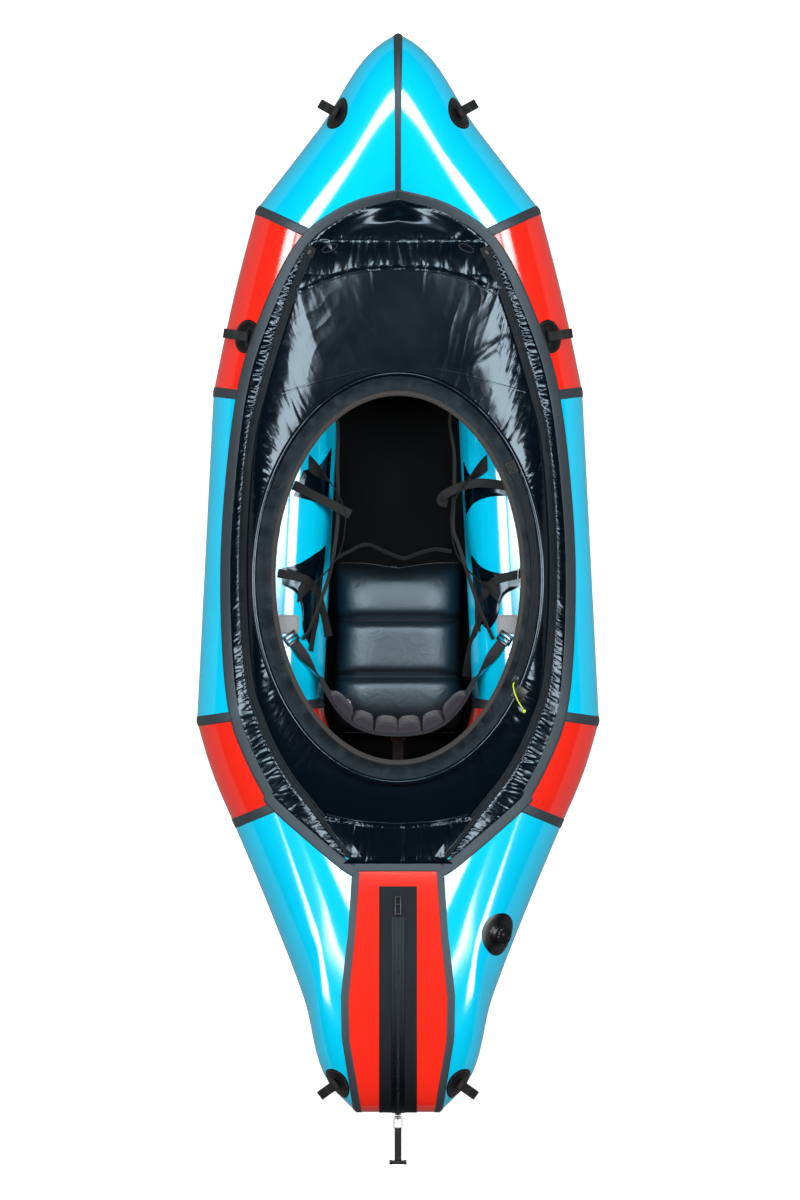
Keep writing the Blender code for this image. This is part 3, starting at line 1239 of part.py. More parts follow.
def backband():
    """The belt with its side straps, the pads on it, the buckles, and the strap behind it."""
    right = []
    for i in range(BELT_STEPS + 1):
        share = i / BELT_STEPS
        half = (BELT_HEIGHT + (BELT_WAIST - BELT_HEIGHT) * share**3) / 2
        right.append((belt_curve(share), np.array((0, -BELT_LEAN / BELT_HEIGHT, 1)) * half))
    end = right[-1][0]
    matrix = buckle_place("right")
    slot = np.array(matrix @ Vector((0, -BUCKLE[1] / 2 - CLEARANCE * 2, 0)))
    flat = np.array(matrix.to_3x3() @ Vector((-1, 0, 0)))
    upright = np.array((0, -BELT_LEAN / BELT_HEIGHT, 1))
    for share in SIDE_STRAP_SHARES:
        centre = end + (slot - end) * share + np.array((0, 0, SIDE_STRAP_RISE * math.sin(math.pi * share)))
        half = upright * (1 - share) + flat * share
        right.append((centre, half * SIDE_STRAP_WIDTH / 2 / np.linalg.norm(half)))
    flip = np.array((-1, 1, 1))
    path = [(centre * flip, half * flip) for centre, half in right[:0:-1]] + right
    centres, halves = [np.array(column) for column in zip(*path)]
    ribbon("backband_belt", centres, halves, BELT_THICKNESS, "webbing_grey")

    normals = np.cross(halves, np.gradient(centres, axis=0))
    normals /= np.linalg.norm(normals, axis=1, keepdims=True)
    middle = len(right) - 1
    forward = math.copysign(1, normals[middle][1])
    last = PADS_A_SIDE * PAD_STATIONS + 1
    outer, inner = [], []
    for i in range(-last, last + 1):
        centre, half, normal = centres[middle + i], halves[middle + i], forward * normals[middle + i]
        reach = half * (1 - PAD_MARGIN / np.linalg.norm(half))
        full = i != 0 and (abs(i) - 1) % PAD_STATIONS != 0
        back, front = [], []
        for up, fullness in PAD_PROFILE_SHARES:
            seat = centre + reach * up + normal * (BELT_THICKNESS / 2 + 2 * CLEARANCE)
            back.append(seat)
            front.append(seat + normal * (PAD_THICKNESS * fullness if full else PAD_EDGE))
        outer.append(front)
        inner.append(back)
    grid_body("backband_pads", np.array(outer), np.array(inner), "pad_purple")

    width, length, thickness = BUCKLE
    for side in ("right", "left"):
        buckle = box_mesh(f"backband_buckle_{side}", (-width / 2, -length / 2, -thickness / 2),
                          (width / 2, length / 2, thickness / 2), "plastic_black")
        matrix = buckle_place(side)
        place(buckle, matrix)
        for i, shift in enumerate((-1, 1)):
            middle = shift * (BUCKLE_BAR / 2 + BUCKLE_SLOT / 2)
            window = box_mesh(f"buckle_slot_{side}_{i}",
                              (-SIDE_STRAP_WIDTH / 2, middle - BUCKLE_SLOT / 2, -thickness),
                              (SIDE_STRAP_WIDTH / 2, middle + BUCKLE_SLOT / 2, thickness), "plastic_black")
            combine(buckle, helper(place(window, matrix)), "DIFFERENCE")

    start = belt_curve(0) - np.array((0, BELT_THICKNESS / 2 + CLEARANCE * 2, 0))
    end = np.array((0, TAIL_Y + TAIL_SEMI_LENGTH + CLEARANCE, AXIS_HEIGHT))
    flat = end + np.array((0, REAR_STRAP_FLAT, 0))
    centres = []
    for share in REAR_STRAP_SHARES:
        centre = start + (flat - start) * share
        centre[2] -= REAR_STRAP_SAG * math.sin(math.pi * share)
        centres.append(centre)
    centres.append(end)
    halves = [(REAR_STRAP_WIDTH / 2, 0, 0)] * len(centres)
    ribbon("backband_rear_strap", centres, halves, REAR_STRAP_THICKNESS, "webbing_grey")


def anchors():
    """The tabs on the tubes that the buckles hang from."""
    x, y = plan(ANCHOR_SHARES)
    width, length = ANCHOR
    outline = [(x + sx * width / 2, y + sy * length / 2) for sx, sy in ((-1, -1), (1, -1), (1, 1), (-1, 1))]
    for side in ("right", "left"):
        hull_cut(f"strap_anchor_{side}", side, outline, TAPE_CLEARANCE, TAPE_CLEARANCE + ANCHOR_THICKNESS,
                 "webbing_grey")


def thigh_straps():
    """A webbing strap a side, from the tube ahead of the seat to its anchor tab."""
    front, rear = [plan(share) for share in THIGH_STRAP_END_SHARES]
    lay = CLEARANCE * 2 + THIGH_STRAP_THICKNESS / 2

    def ends(x, y):
        level, normal = drop(x, y, lay)
        along = np.cross(normal, (0, 0, 1))
        side = along / np.linalg.norm(along)
        return (x, y, level), side * THIGH_STRAP_WIDTH / 2

    for side, flip in (("right", 1), ("left", -1)):
        first, first_half = ends(*front)
        last, last_half = ends(*rear)
        hang = [(*plan(point), point[2] * TUBE_DIAMETER) for point in THIGH_STRAP_SHARES]
        upright = np.array((0, 0, THIGH_STRAP_WIDTH / 2))
        centres = [first, *hang, last]
        halves = [first_half] + [upright] * len(hang) + [last_half]
        centres = np.array(centres) * (flip, 1, 1)
        halves = np.array(halves) * (flip, 1, 1)
        ribbon(f"thigh_strap_{side}", centres, halves, THIGH_STRAP_THICKNESS, "webbing_grey")


def build():
    for thing in list(bpy.data.objects):
        bpy.data.objects.remove(thing, do_unlink=True)
    hull_panels()
    floor_sheet()
    seam_tapes()
    deck_trim()
    deck_panels()
    coaming()
    pull_cord()
    cargo_zip()
    valve()
    grab_loops()
    seat_cushion()
    backband()
    anchors()
    thigh_straps()


build()
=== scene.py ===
"""Looks of a packraft with a zipped spray deck.

The frame gives the pieces that carry and move. This file lays the smooth skins, tapes, gathered
deck cloth, zips, webbing and cushions over them. Metres, +Z up, the bow along +Y.
"""

import json
import math

import bmesh
import bpy
import numpy as np
from mathutils import Matrix, Vector
from mathutils.bvhtree import BVHTree


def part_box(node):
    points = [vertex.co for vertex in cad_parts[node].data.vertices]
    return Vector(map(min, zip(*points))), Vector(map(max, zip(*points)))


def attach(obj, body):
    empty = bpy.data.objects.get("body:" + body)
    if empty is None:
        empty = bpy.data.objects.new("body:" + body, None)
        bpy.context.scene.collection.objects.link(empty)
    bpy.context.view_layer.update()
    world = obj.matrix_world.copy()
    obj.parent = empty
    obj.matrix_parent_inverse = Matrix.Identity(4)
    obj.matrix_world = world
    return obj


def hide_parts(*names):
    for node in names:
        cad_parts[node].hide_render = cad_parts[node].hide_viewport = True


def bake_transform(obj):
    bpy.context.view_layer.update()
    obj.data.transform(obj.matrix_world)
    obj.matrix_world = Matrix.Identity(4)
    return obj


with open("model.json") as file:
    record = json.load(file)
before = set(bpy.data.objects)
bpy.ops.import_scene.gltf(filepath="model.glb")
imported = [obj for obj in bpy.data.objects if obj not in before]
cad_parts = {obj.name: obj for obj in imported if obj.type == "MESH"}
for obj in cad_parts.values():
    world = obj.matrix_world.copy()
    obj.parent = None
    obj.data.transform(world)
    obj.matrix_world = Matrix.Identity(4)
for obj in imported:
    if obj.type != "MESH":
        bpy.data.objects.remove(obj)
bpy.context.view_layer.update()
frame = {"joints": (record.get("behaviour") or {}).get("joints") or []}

# The picture's frame
IMAGE_WIDTH = 800
IMAGE_HEIGHT = 1200
METRES_PER_PIXEL = 0.0023127
CENTRE_LINE_PIXEL = 398
ORIGIN_PIXEL = 599.5
CAMERA_HEIGHT = 30
SENSOR = 36

# Hull
HULL_LENGTH = 2.484
HULL_BEAM = 0.927
TUBE_DIAMETER = 0.289
TUBE_FACETS = 24
FLOOR_THICKNESS = 0.0012
CLEARANCE = 0.0003
BOW_ANGLE = math.radians(38)
NOSE_ROUNDING = 0.016
NOSE_SHOULDER = 0.030
BOW_RISE = 0.150
STERN_RISE = 0.100
NOSE_FULLNESS = 0.005
FRONT_BULGE = 0.005
REAR_BULGE = 0.007
TAIL_SEMI_LENGTH = 0.398
TAIL_CORNER = 0.032
STERN_ANGLE = math.radians(26)
STERN_PANEL_WIDTH = 0.250
PULLER_REACH = 0.1214
SEAM_1_X_SHARE = 0.607
SEAM_2_SHARES = (0.886, 0.321)
SEAM_3_SHARES = (1.0, -0.258)
SEAM_4_SHARES = (0.772, -0.420)
BOW_RISE_START_SHARE = 0.321
STERN_RISE_START_SHARE = -0.320
STERN_SEAM_SHARES = (
    (0, 0.74), (0.3, 0.80), (0.5, 0.89), (0.67, 1.0), (0.79, 0.98), (0.91, 0.85), (1, 0.76),
)
TAIL_RING_SHARES = ((0.3, 0.056), (0.6, 0.30), (0.88, 1.0))
SEAM_RINGS = (3, 5, 8, 10)
LAST_RING = 14
AROUND = 144
RING_STEPS = 8
PANEL_WALL = 0.0006
TUBE_RADIUS = TUBE_DIAMETER / 2
HALF_LENGTH = HULL_LENGTH / 2
HALF_BEAM = HULL_BEAM / 2
AXIS_HALF_BEAM = HALF_BEAM - TUBE_RADIUS
ORIGIN_Y = PULLER_REACH / 2
AXIS_HEIGHT = TUBE_RADIUS + (CLEARANCE + FLOOR_THICKNESS) / math.cos(math.pi / TUBE_FACETS)
NOSE_AXIS_Y = ORIGIN_Y + HALF_LENGTH + NOSE_ROUNDING - TUBE_RADIUS / math.sin(BOW_ANGLE)
TAIL_Y = ORIGIN_Y - HALF_LENGTH + TAIL_SEMI_LENGTH
PANEL_SPANS = {
    "bow_panel": (0, 3, "hull_blue"),
    "front_side_panel": (3, 5, "hull_red"),
    "mid_side_panel": (5, 8, "hull_blue"),
    "rear_side_panel": (8, 10, "hull_red"),
    "stern_side_panel": (10, LAST_RING, "hull_blue"),
}

# Tapes
TAPE_LIFT = 0.0002
TAPE_THICKNESS = 0.0012
EDGE_TAPE_LIFT = 0.0006
EDGE_TAPE_THICKNESS = 0.0014
EDGE_TAPE_WIDTH = 0.026
SEAM_TAPE_WIDTH = 0.023
TAPE_SECTION = ((-1, 0.2), (-0.93, 0.9), (-0.6, 1), (0, 1), (0.6, 1), (0.93, 0.9), (1, 0.2))
TAPE_EDGE_SHARES = (
    (0, 0.711), (0.254, 0.683), (0.499, 0.615), (0.688, 0.475), (0.805, 0.328), (0.873, 0.099),
    (0.880, -0.088), (0.843, -0.253), (0.748, -0.354), (0.628, -0.438),
)
TAPE_REAR_SHARES = ((0.269, -0.553), (0.200, -0.553), (0.100, -0.553), (0, -0.553))
RING_TAPE_TURNS = (-58, 255)
STERN_RING_TURNS = (-58, 165)
STERN_SEAM_TURNS = (-58, 135)
BOW_TAPE_TURNS = (-58, 134)

# Deck
DECK_LIFT = 0.0016
DECK_THICKNESS = 0.0010
DECK_TOP = AXIS_HEIGHT + TUBE_RADIUS + 0.0015
DECK_ZIP_WIDTH = 0.019
DECK_ZIP_SHARES = (
    (0.438, 0.597), (0.514, 0.527), (0.574, 0.462), (0.628, 0.397), (0.678, 0.330), (0.728, 0.248),
    (0.763, 0.099), (0.768, -0.050), (0.738, -0.199), (0.683, -0.270), (0.613, -0.330),
    (0.529, -0.382), (0.419, -0.434), (0.229, -0.525),
)
FRONT_WELT_SHARES = ((0, 0.566), (0.200, 0.561), (0.374, 0.542), (0.480, 0.522))
REAR_WELT_SHARES = ((0, -0.469), (0.200, -0.464), (0.375, -0.451))
BORDER_SPAN_SHARES = (0.600, -0.527)
DECK_WALL_HEIGHT = DECK_TOP + 0.025
DECK_WALL_SHELF = 0.006
WALL_THICKNESS = 0.002

WELT_WIDTH = 0.015
TUCK = 0.005
SEAM_WIDTH = 0.005
SEAM_THICKNESS = 0.0009
DECK_SEAMS = {
    "bow_seam": ((-0.141, 0.829), (-0.05, 0.828), (0.06, 0.826), (0.185, 0.820)),
    "collar_seam_left": ((-0.268, 0.474), (-0.190, 0.499), (-0.110, 0.519), (-0.062, 0.530)),
    "collar_seam_right": ((0.088, 0.529), (0.160, 0.515), (0.230, 0.495), (0.294, 0.478)),
}

# Coaming
COAMING_LENGTH = 0.953
COAMING_WIDTH = 0.678
COAMING_Y = ORIGIN_Y - 0.009 * HALF_LENGTH
LIP_TOP = DECK_TOP + 0.054
LIP_WIDTH = 0.058
RIM_DIAMETER = 0.014
BINDING_WIDTH = 0.012
WALL_INSET = 0.036
COAMING_STEPS = 480
LIP_ZIP_INSET = 0.024
LIP_ZIP_WIDTH = 0.018
LIP_ZIP_THICKNESS = 0.0015
LIP_ZIP_SPAN = 0.488
LIP_SLIDER = (0.013, 0.016, 0.006)
LIP_SLIDER_SETBACK = 0.004
GARAGE = (0.026, 0.032)
GARAGE_PLACE = (0.279, -0.216)
GARAGE_TURN = math.radians(-38)
PULL_CORD_DIAMETER = 0.003
PULL_CORD_KNOT_RADIUS = 0.0042
PULL_CORD_LEAD = 0.006
PULL_CORD_ROUTE = (
    (0.2655, -0.2040, 0.3508), (0.2672, -0.2120, 0.3500), (0.2700, -0.2195, 0.3483),
    (0.2730, -0.2270, 0.3479), (0.2765, -0.2345, 0.3479), (0.2805, -0.2415, 0.3465),
    (0.2845, -0.2480, 0.3430), (0.2880, -0.2535, 0.3385),
)

# Stern fittings and grab loops
CARGO_BACKING_WIDTH = 0.087
CARGO_CHAIN_WIDTH = 0.031
CARGO_LIFT = 0.0005
# Degrees up the stern, from its aftmost place
CARGO_FLAP_TURNS = (-22.5, 108.0)
CARGO_RAILS_TURNS = (-13.5, 97.5)
CARGO_DOCK_TURNS = (97.95, 104.7)
TAIL_STEPS = 90
PULLER_BAR_DIAMETER = 0.0026
PULLER_LINK_LENGTH = 0.022
PULLER_STRAP_WIDTH = 0.018
PULLER_TOGGLE_DIAMETER = 0.0110
PULLER_TOGGLE_LENGTH = 0.040
VALVE_SHARES = (0.8533, -0.670)
VALVE_FLANGE_DIAMETER = 0.100
GRAB_SHARES = {"bow": (0.8772, 0.851), "side": (0.8735, 0.439), "stern": (0.8870, -0.946)}
PATCH_DIAMETER = 0.078
LOOP_WIDTH = 0.023
LOOP_LENGTH = 0.060
LOOP_HEIGHT = 0.014
LOOP_WEBBING = 0.0018
LOOP_REACH_BACK = 0.003
LOOP_LEAN = math.radians(16)
KEEPER_HEIGHT = 0.0115
KEEPER_THICKNESS = 0.0016
GRAB_HINGE = (-LOOP_REACH_BACK, 0, KEEPER_HEIGHT - KEEPER_THICKNESS / 2)
DISC_LIFT = 0.0004
DISC_THICKNESS = 0.0010
DISC_RIM = 0.2
DISC_RINGS = 12
DISC_SIDES = 72
PROBE_START = 0.05
PROBE_REACH = 0.2
# The valve's leash: the radius of its arc, its level, half its arc in radians and its own radius
LEASH = (0.0262, 0.0085, 2.6, 0.0012)

# Cockpit
SEAT_LENGTH = 0.395
SEAT_WIDTH = 0.310
SEAT_HEIGHT = 0.100
SEAT_FRONT_SHARE = 0.020
SEAT_BASE_SHARE = 0.28
FRONT_STRAP_SHARES = (
    (-0.46, 0.010), (-0.38, 0.045), (-0.24, 0.090), (-0.10, 0.050), (0.04, 0.010), (0.16, 0.040),
    (0.28, 0.062), (0.40, 0.050),
)
BELT_HEIGHT = 0.130
BELT_THICKNESS = 0.004
BELT_LEAN = 0.030
BELT_WAIST = 0.060
BELT_SPAN = 0.352
BELT_DEPTH = 0.112
BELT_REAR = 0.2985
BELT_MIDDLE_HEIGHT = 0.205
BELT_END_HEIGHT = 0.232
PAD_THICKNESS = 0.022
SIDE_STRAP_WIDTH = 0.024
SIDE_STRAP_RISE = 0.014
BUCKLE = (0.034, 0.026, 0.004)
BUCKLE_SHARES = (0.528, -0.1205)
BUCKLE_HOVER = 0.0046
BUCKLE_TURN = math.radians(36)
ANCHOR_SHARES = (0.546, -0.095)
ANCHOR = (0.050, 0.045)
REAR_STRAP_WIDTH = 0.025
REAR_STRAP_THICKNESS = 0.002
REAR_STRAP_SAG = 0.006
REAR_STRAP_FLAT = 0.014
THIGH_STRAP_WIDTH = 0.038
THIGH_STRAP_THICKNESS = 0.0025
THIGH_STRAP_END_SHARES = ((0.445, 0.205), (0.500, -0.040))
THIGH_STRAP_SHARES = (
    (0.330, 0.165, 0.865), (0.268, 0.120, 0.803), (0.266, 0.075, 0.782), (0.300, 0.030, 0.803),
    (0.390, -0.010, 0.893),
)

TUBE_CLOTHS = {
    "upper_right": (((0.246, 0.270), (0.190, 0.272), (0.166, 0.288), (0.152, 0.318)),
                    ((0.250, 0.238), (0.210, 0.236), (0.176, 0.222), (0.158, 0.196))),
    "lower_right": (((0.278, 0.070), (0.236, 0.061), (0.194, 0.075), (0.170, 0.103)),
                    ((0.280, 0.030), (0.243, 0.006), (0.228, -0.044), (0.206, -0.068), (0.180, -0.032))),
    "upper_left": (((-0.218, 0.297), (-0.184, 0.308), (-0.166, 0.330), (-0.154, 0.350)),
                   ((-0.240, 0.238), (-0.194, 0.226), (-0.169, 0.219), (-0.163, 0.212))),
    "lower_left": (((-0.268, 0.071), (-0.226, 0.084), (-0.185, 0.110), (-0.168, 0.124)),
                   ((-0.266, 0.034), (-0.234, 0.013), (-0.222, -0.024), (-0.219, -0.070), (-0.200, -0.106),
                    (-0.184, -0.052))),
}
# Width and route of each strap; a missing level lies on the tube
COCKPIT_STRAPS = {
    "thigh_lead_right": (0.009, (
        (0.190, 0.560, None), (0.160, 0.500, None), (0.120, 0.424, 0.250), (0.1295, 0.3365, 0.240),
        (0.1295, 0.2486, 0.236), (0.127, 0.165, 0.240), (0.141, 0.1214, 0.250), (0.185, -0.0127, 0.264),
        (0.222, -0.092, None),
    )),
    "thigh_lead_left": (0.009, (
        (-0.190, 0.560, None), (-0.164, 0.500, None), (-0.139, 0.4035, 0.250), (-0.1395, 0.310, 0.240),
        (-0.138, 0.206, 0.236), (-0.145, 0.126, 0.240), (-0.160, 0.050, 0.250), (-0.200, -0.060, 0.264),
        (-0.222, -0.092, None),
    )),
    "thigh_tail_right": (0.021, (
        (0.270, 0.258, None), (0.205, 0.268, None), (0.162, 0.265, 0.258), (0.122, 0.250, 0.252),
        (0.104, 0.238, 0.246), (0.100, 0.226, 0.238), (0.114, 0.222, 0.232),
    )),
    "thigh_tail_left": (0.022, (
        (-0.240, 0.264, None), (-0.195, 0.240, 0.262), (-0.155, 0.220, 0.254), (-0.110, 0.196, 0.244),
    )),
    "hip_strap_right": (0.020, (
        (0.284, 0.059, None), (0.2266, 0.0428, None), (0.196, 0.004, 0.246), (0.187, -0.022, 0.226),
        (0.189, -0.074, 0.205),
    )),
    "hip_strap_left": (0.020, (
        (-0.276, 0.061, None), (-0.217, 0.047, None), (-0.188, 0.018, 0.238), (-0.175, -0.024, 0.215),
        (-0.161, -0.085, 0.182),
    )),
    "side_webbing_left": (0.016, ((-0.186, 0.008, None), (-0.195, -0.060, None), (-0.204, -0.119, None))),
    "seat_webbing_right": (0.018, (
        (0.200, -0.030, None), (0.186, -0.060, None), (0.168, -0.110, 0.170), (0.157, -0.178, 0.100),
    )),
}
STRAP_HOVER = 0.0045
STRAP_THICKNESS = 0.0022
RING_PLACE = (0.2857, 0.0555)
SEAT_VALVE_PLACE = (-0.123, -0.244)
SEAT_STATIONS = 120
SEAT_SIDES = 96
BELT_STEPS = 40
PAD_SPANS = ((0.0, 0.30), (0.335, 0.60), (0.635, 0.90))
CLOTH_FOLDS = (
    ((0.52, 0.02), (0.40, 0.06), 0.004, 0.010), ((0.50, -0.01), (0.38, 0.03), 0.003, 0.008),
    ((-0.52, 0.02), (-0.40, 0.06), 0.004, 0.010), ((-0.49, -0.03), (-0.38, 0.03), 0.003, 0.008),
)

# Steps of the fine meshes
EDGE_STEPS = 420
STERN_COLUMNS = 13
FLOOR_COLUMNS = 17
WELT_STEPS = 260
SEAM_STEPS = 160
BORDER_STEPS = 900
BORDER_COLUMNS = 19
ZIP_STEPS = 420
ZIP_SECTION = (
    (-1, 0.0002), (-0.94, 0.0009), (-0.55, 0.0008), (-0.40, 0.0009), (-0.34, 0.0016), (0.34, 0.0016),
    (0.40, 0.0009), (0.55, 0.0008), (0.94, 0.0009), (1, 0.0002),
)
LIP_ZIP_SECTION = (
    (-1, 0.0006), (-0.92, 0.0012), (-0.5, 0.0011), (-0.34, 0.0012), (-0.3, 0.0020), (0.3, 0.0020),
    (0.34, 0.0012), (0.5, 0.0011), (0.92, 0.0012), (1, 0.0006),
)
CARGO_FLAP_SECTION = ((-1, 0), (-0.985, 0.0009), (0, 0.0010), (0.985, 0.0009), (1, 0))
CARGO_RAILS_SECTION = (
    (-1, 0), (-0.96, 0.0010), (-0.5, 0.0012), (-0.44, 0.0026), (-0.1, 0.0030), (0.1, 0.0030), (0.44, 0.0026),
    (0.5, 0.0012), (0.96, 0.0010), (1, 0),
)
WEBBING_SECTION = ((-1, 0.1), (-0.94, 0.7), (-0.75, 1), (0, 1), (0.75, 1), (0.94, 0.7), (1, 0.1))
MAIN_STEPS = 1100
MAIN_COLUMNS = 38
MAIN_BLEND = 50
MAIN_CROWN = 2.4
DECK_REST_GAP = 0.0012
END_COLUMNS = 300
END_ROWS = 60
BOW_SEAM_Y = 0.8268
# Long folds: start share, end share, height, half width
MAIN_FOLDS = (
    ((0.56, 0.44), (0.36, 0.39), 0.0024, 0.012),
    ((-0.62, -0.20), (-0.66, 0.06), 0.004, 0.008),
)
BOW_FOLDS = (
    ((0.36, 0.64), (0.24, 0.60), 0.0016, 0.010),
    ((-0.40, 0.62), (-0.30, 0.585), 0.0016, 0.009),
)
BOW_CLOTH_RISE = 0.0025
BOW_CLOTH_LENGTH = 0.10
STERN_CLOTH_LENGTH = 0.06
# How far the deck's sheets reach under the tape and the zips
BORDER_LAP = 0.002
ZIP_LAP = 0.001
END_LAP = 0.003
LEAST_SLOPE = 0.3
PUFF_POWER = 0.6
FADE_POWER = 1.5
PUFF_RISE = 0.004
DECK_SLIDER = (0.008, 0.013, 0.0036)
ZIP_LOOP = (0.017, 0.008)
ZIP_LOOP_PLACE = (0.046, 0.006)
ZIP_LOOP_RADIUS = 0.0013
# Gathers: (least, most) of pitch, reach and depth, then their slant; a seed comes first where it stands alone
BORDER_SEEDS = {"right": 11, "left": 12}
TAPE_SEED_STEP = 20
BORDER_ZIP_GATHERS = ((0.007, 0.015), (0.016, 0.045), (0.0012, 0.0032), 0.4)
BORDER_TAPE_GATHERS = ((0.008, 0.020), (0.010, 0.030), (0.0006, 0.0018), 0.4)
MAIN_EDGE_GATHERS = (
    (31, (0.010, 0.022), (0.030, 0.090), (0.0010, 0.0028), 0.9),
    (32, (0.030, 0.070), (0.080, 0.200), (0.0012, 0.0032), 1.0),
)
MAIN_WALL_GATHERS = (33, (0.009, 0.018), (0.012, 0.045), (0.0012, 0.0030), 0.6)
BOW_GATHERS = (
    (41, (0.008, 0.018), (0.008, 0.020), (0.0005, 0.0014), 0.3),
    (42, (0.012, 0.030), (0.025, 0.060), (0.0012, 0.0030), 0.3),
    (44, (0.009, 0.016), (0.008, 0.018), (0.0006, 0.0014), 0.2),
    (43, (0.012, 0.030), (0.01, 0.03), (0.0006, 0.0016), 0.5),
    (45, (0.012, 0.034), (0.018, 0.045), (0.0016, 0.0036), 0.4),
)
STERN_GATHERS = (
    (51, (0.010, 0.026), (0.02, 0.06), (0.001, 0.0035), 0.5),
    (52, (0.010, 0.026), (0.02, 0.06), (0.001, 0.003), 0.5),
)
# How strong the main panel's gathers are along the boat
RIGHT_STRENGTH = ((-0.45, 0.5), (-0.1, 0.5), (0.1, 0.7), (0.35, 1.0), (0.65, 0.9), (0.80, 0.4))
LEFT_STRENGTH = ((-0.45, 0.5), (-0.1, 0.6), (0.1, 0.9), (0.40, 0.9), (0.50, 0.30), (0.80, 0.20))
# Low waves of the coaming's band: count and height
LIP_WAVES = ((9, 0.0011), (17, 0.0008), (31, 0.0005), (53, 0.0004))
# Stitches and teeth: pitch, length, width and height
GRAINS = {
    "deck_zip_teeth": (0.0030, 0.0016, 0.0058, 0.0018),
    "welt": (0.0040, 0.0030, 0.0008, 0.0006),
    "binding": (0.0042, 0.0030, 0.0009, 0.0007),
    "coaming": (0.0042, 0.0030, 0.0008, 0.0008),
    "lip_zip_teeth": (0.0026, 0.0014, 0.0048, 0.0012),
    "lip_zip": (0.0036, 0.0026, 0.0007, 0.0006),
    "zip_end": (0.0030, 0.0024, 0.0009, 0.0007),
    "garage": (0.0034, 0.0028, 0.0011, 0.0007),
    "cargo_zip_teeth": (0.0034, 0.0020, 0.0078, 0.0012),
    "cargo_zip": (0.0045, 0.0032, 0.0009, 0.0007),
    "puller": (0.0026, 0.0020, 0.0009, 0.0006),
    "grab_disc": (0.0046, 0.0032, 0.0009, 0.0007),
    "grab_loop": (0.0026, 0.0020, 0.0008, 0.0006),
    "anchor": (0.0036, 0.0026, 0.0009, 0.0007),
}
# Turned profiles: radius, level and, on the cap, how deep its finger lobes are cut
KNOT_PROFILE = (
    (0.0002, -0.9), (0.55, -0.8), (0.95, -0.45), (0.86, -0.1), (1, 0.2), (0.8, 0.6), (0.5, 0.85),
    (0.0002, 0.9),
)
TOGGLE_PROFILE = (
    (0.0003, -0.5), (0.42, -0.5), (0.5, -0.46), (0.5, -0.36), (0.43, -0.34), (0.43, 0.34), (0.5, 0.36),
    (0.5, 0.46), (0.42, 0.5), (0.0003, 0.5),
)
COLLAR_PROFILE = (
    (0.0165, -0.006), (0.030, -0.006), (0.0305, 0.0015), (0.0285, 0.0040), (0.0240, 0.0070), (0.0225, 0.0104),
    (0.0215, 0.0110), (0.0180, 0.0110), (0.0170, 0.0100), (0.0170, 0.0032), (0.0120, 0.0030),
    (0.0110, 0.0010), (0.0002, 0.0010), (0.0002, -0.006),
)
BUTTON_LEVEL = 0.003 + 0.0028
BUTTON_PROFILE = (
    (0.0002, 0), (0.0056, 0), (0.006, 0.0006), (0.006, 0.0034), (0.0054, 0.0040), (0.0002, 0.0040),
)
CAP_LEVEL = 0.011 + CLEARANCE
CAP_PROFILE = (
    (0.0002, -0.001), (0.0125, -0.001), (0.0128, 0), (0.0195, 0, 0.5), (0.021, 0.0010, 1), (0.021, 0.0070, 1),
    (0.0200, 0.0084, 1), (0.0185, 0.0090, 0.8), (0.0130, 0.0090), (0.0120, 0.0080), (0.0060, 0.0080),
    (0.0050, 0.0086), (0.0002, 0.0088),
)
SEAT_VALVE_PROFILE = (
    (0.0002, -0.004), (0.017, -0.004), (0.0175, 0.0005), (0.015, 0.0025), (0.0105, 0.003), (0.010, 0.0046),
    (0.0002, 0.0050),
)

# Studio
FLOOR_GLOW = 0.8
WORLD_LEVEL = 0.02
FLOOR_IN_GLOSS = 0.25
LAMP_HEIGHT = 6.0
LAMP_RADIANCE = 12.0
# Near and far side, aft and fore end
LAMPS = ((1.1, 3.5, -0.1, 1.9), (4.0, 7.4, -1.4, 0.6), (0.02, 0.8, 2.3, 3.6))


def unit(step):
    """A vector of length 1."""
    return step / np.linalg.norm(step)


def unit_rows(rows):
    """Vectors of length 1, row by row."""
    return rows / np.linalg.norm(rows, axis=1, keepdims=True)


def mirrored(points):
    """Points of the right side, moved to the left one."""
    return points * np.array((-1, 1, 1))


SIDES = (("right", np.array), ("left", mirrored))


def plan(share):
    """A plan point from shares of the half beam and the half length."""
    return share[0] * HALF_BEAM, ORIGIN_Y + share[1] * HALF_LENGTH


def mitre(first, second):
    """The step to a corner whose two sides both move out by one, from their normals."""
    return (first + second) / (1 + first @ second)


def smooth_line(points, steps):
    """A Catmull-Rom curve through points, with so many steps between each two."""
    points = np.array(points, float)
    padded = np.concatenate([[2 * points[0] - points[1]], points, [2 * points[-1] - points[-2]]])
    line = []
    for p0, p1, p2, p3 in zip(padded, padded[1:], padded[2:], padded[3:]):
        for i in range(steps):
            t = i / steps
            line.append(
                (2 * p1 + (p2 - p0) * t + (2 * p0 - 5 * p1 + 4 * p2 - p3) * t**2
                 + (3 * p1 - p0 - 3 * p2 + p3) * t**3) / 2
            )
    line.append(points[-1])
    return np.array(line)


def planned(shares, steps):
    """A smooth plan line from shares of the half beam and the half length."""
    return smooth_line([plan(share) for share in shares], steps)


def lengths_along(line):
    """The length of a line up to each of its points."""
    return np.concatenate([[0], np.cumsum(np.linalg.norm(np.diff(line, axis=0), axis=1))])


def resampled(line, count):
    """A line as evenly spaced points."""
    lengths = lengths_along(line)
    places = np.linspace(0, lengths[-1], count)
    return np.stack([np.interp(places, lengths, column) for column in line.T], axis=1)


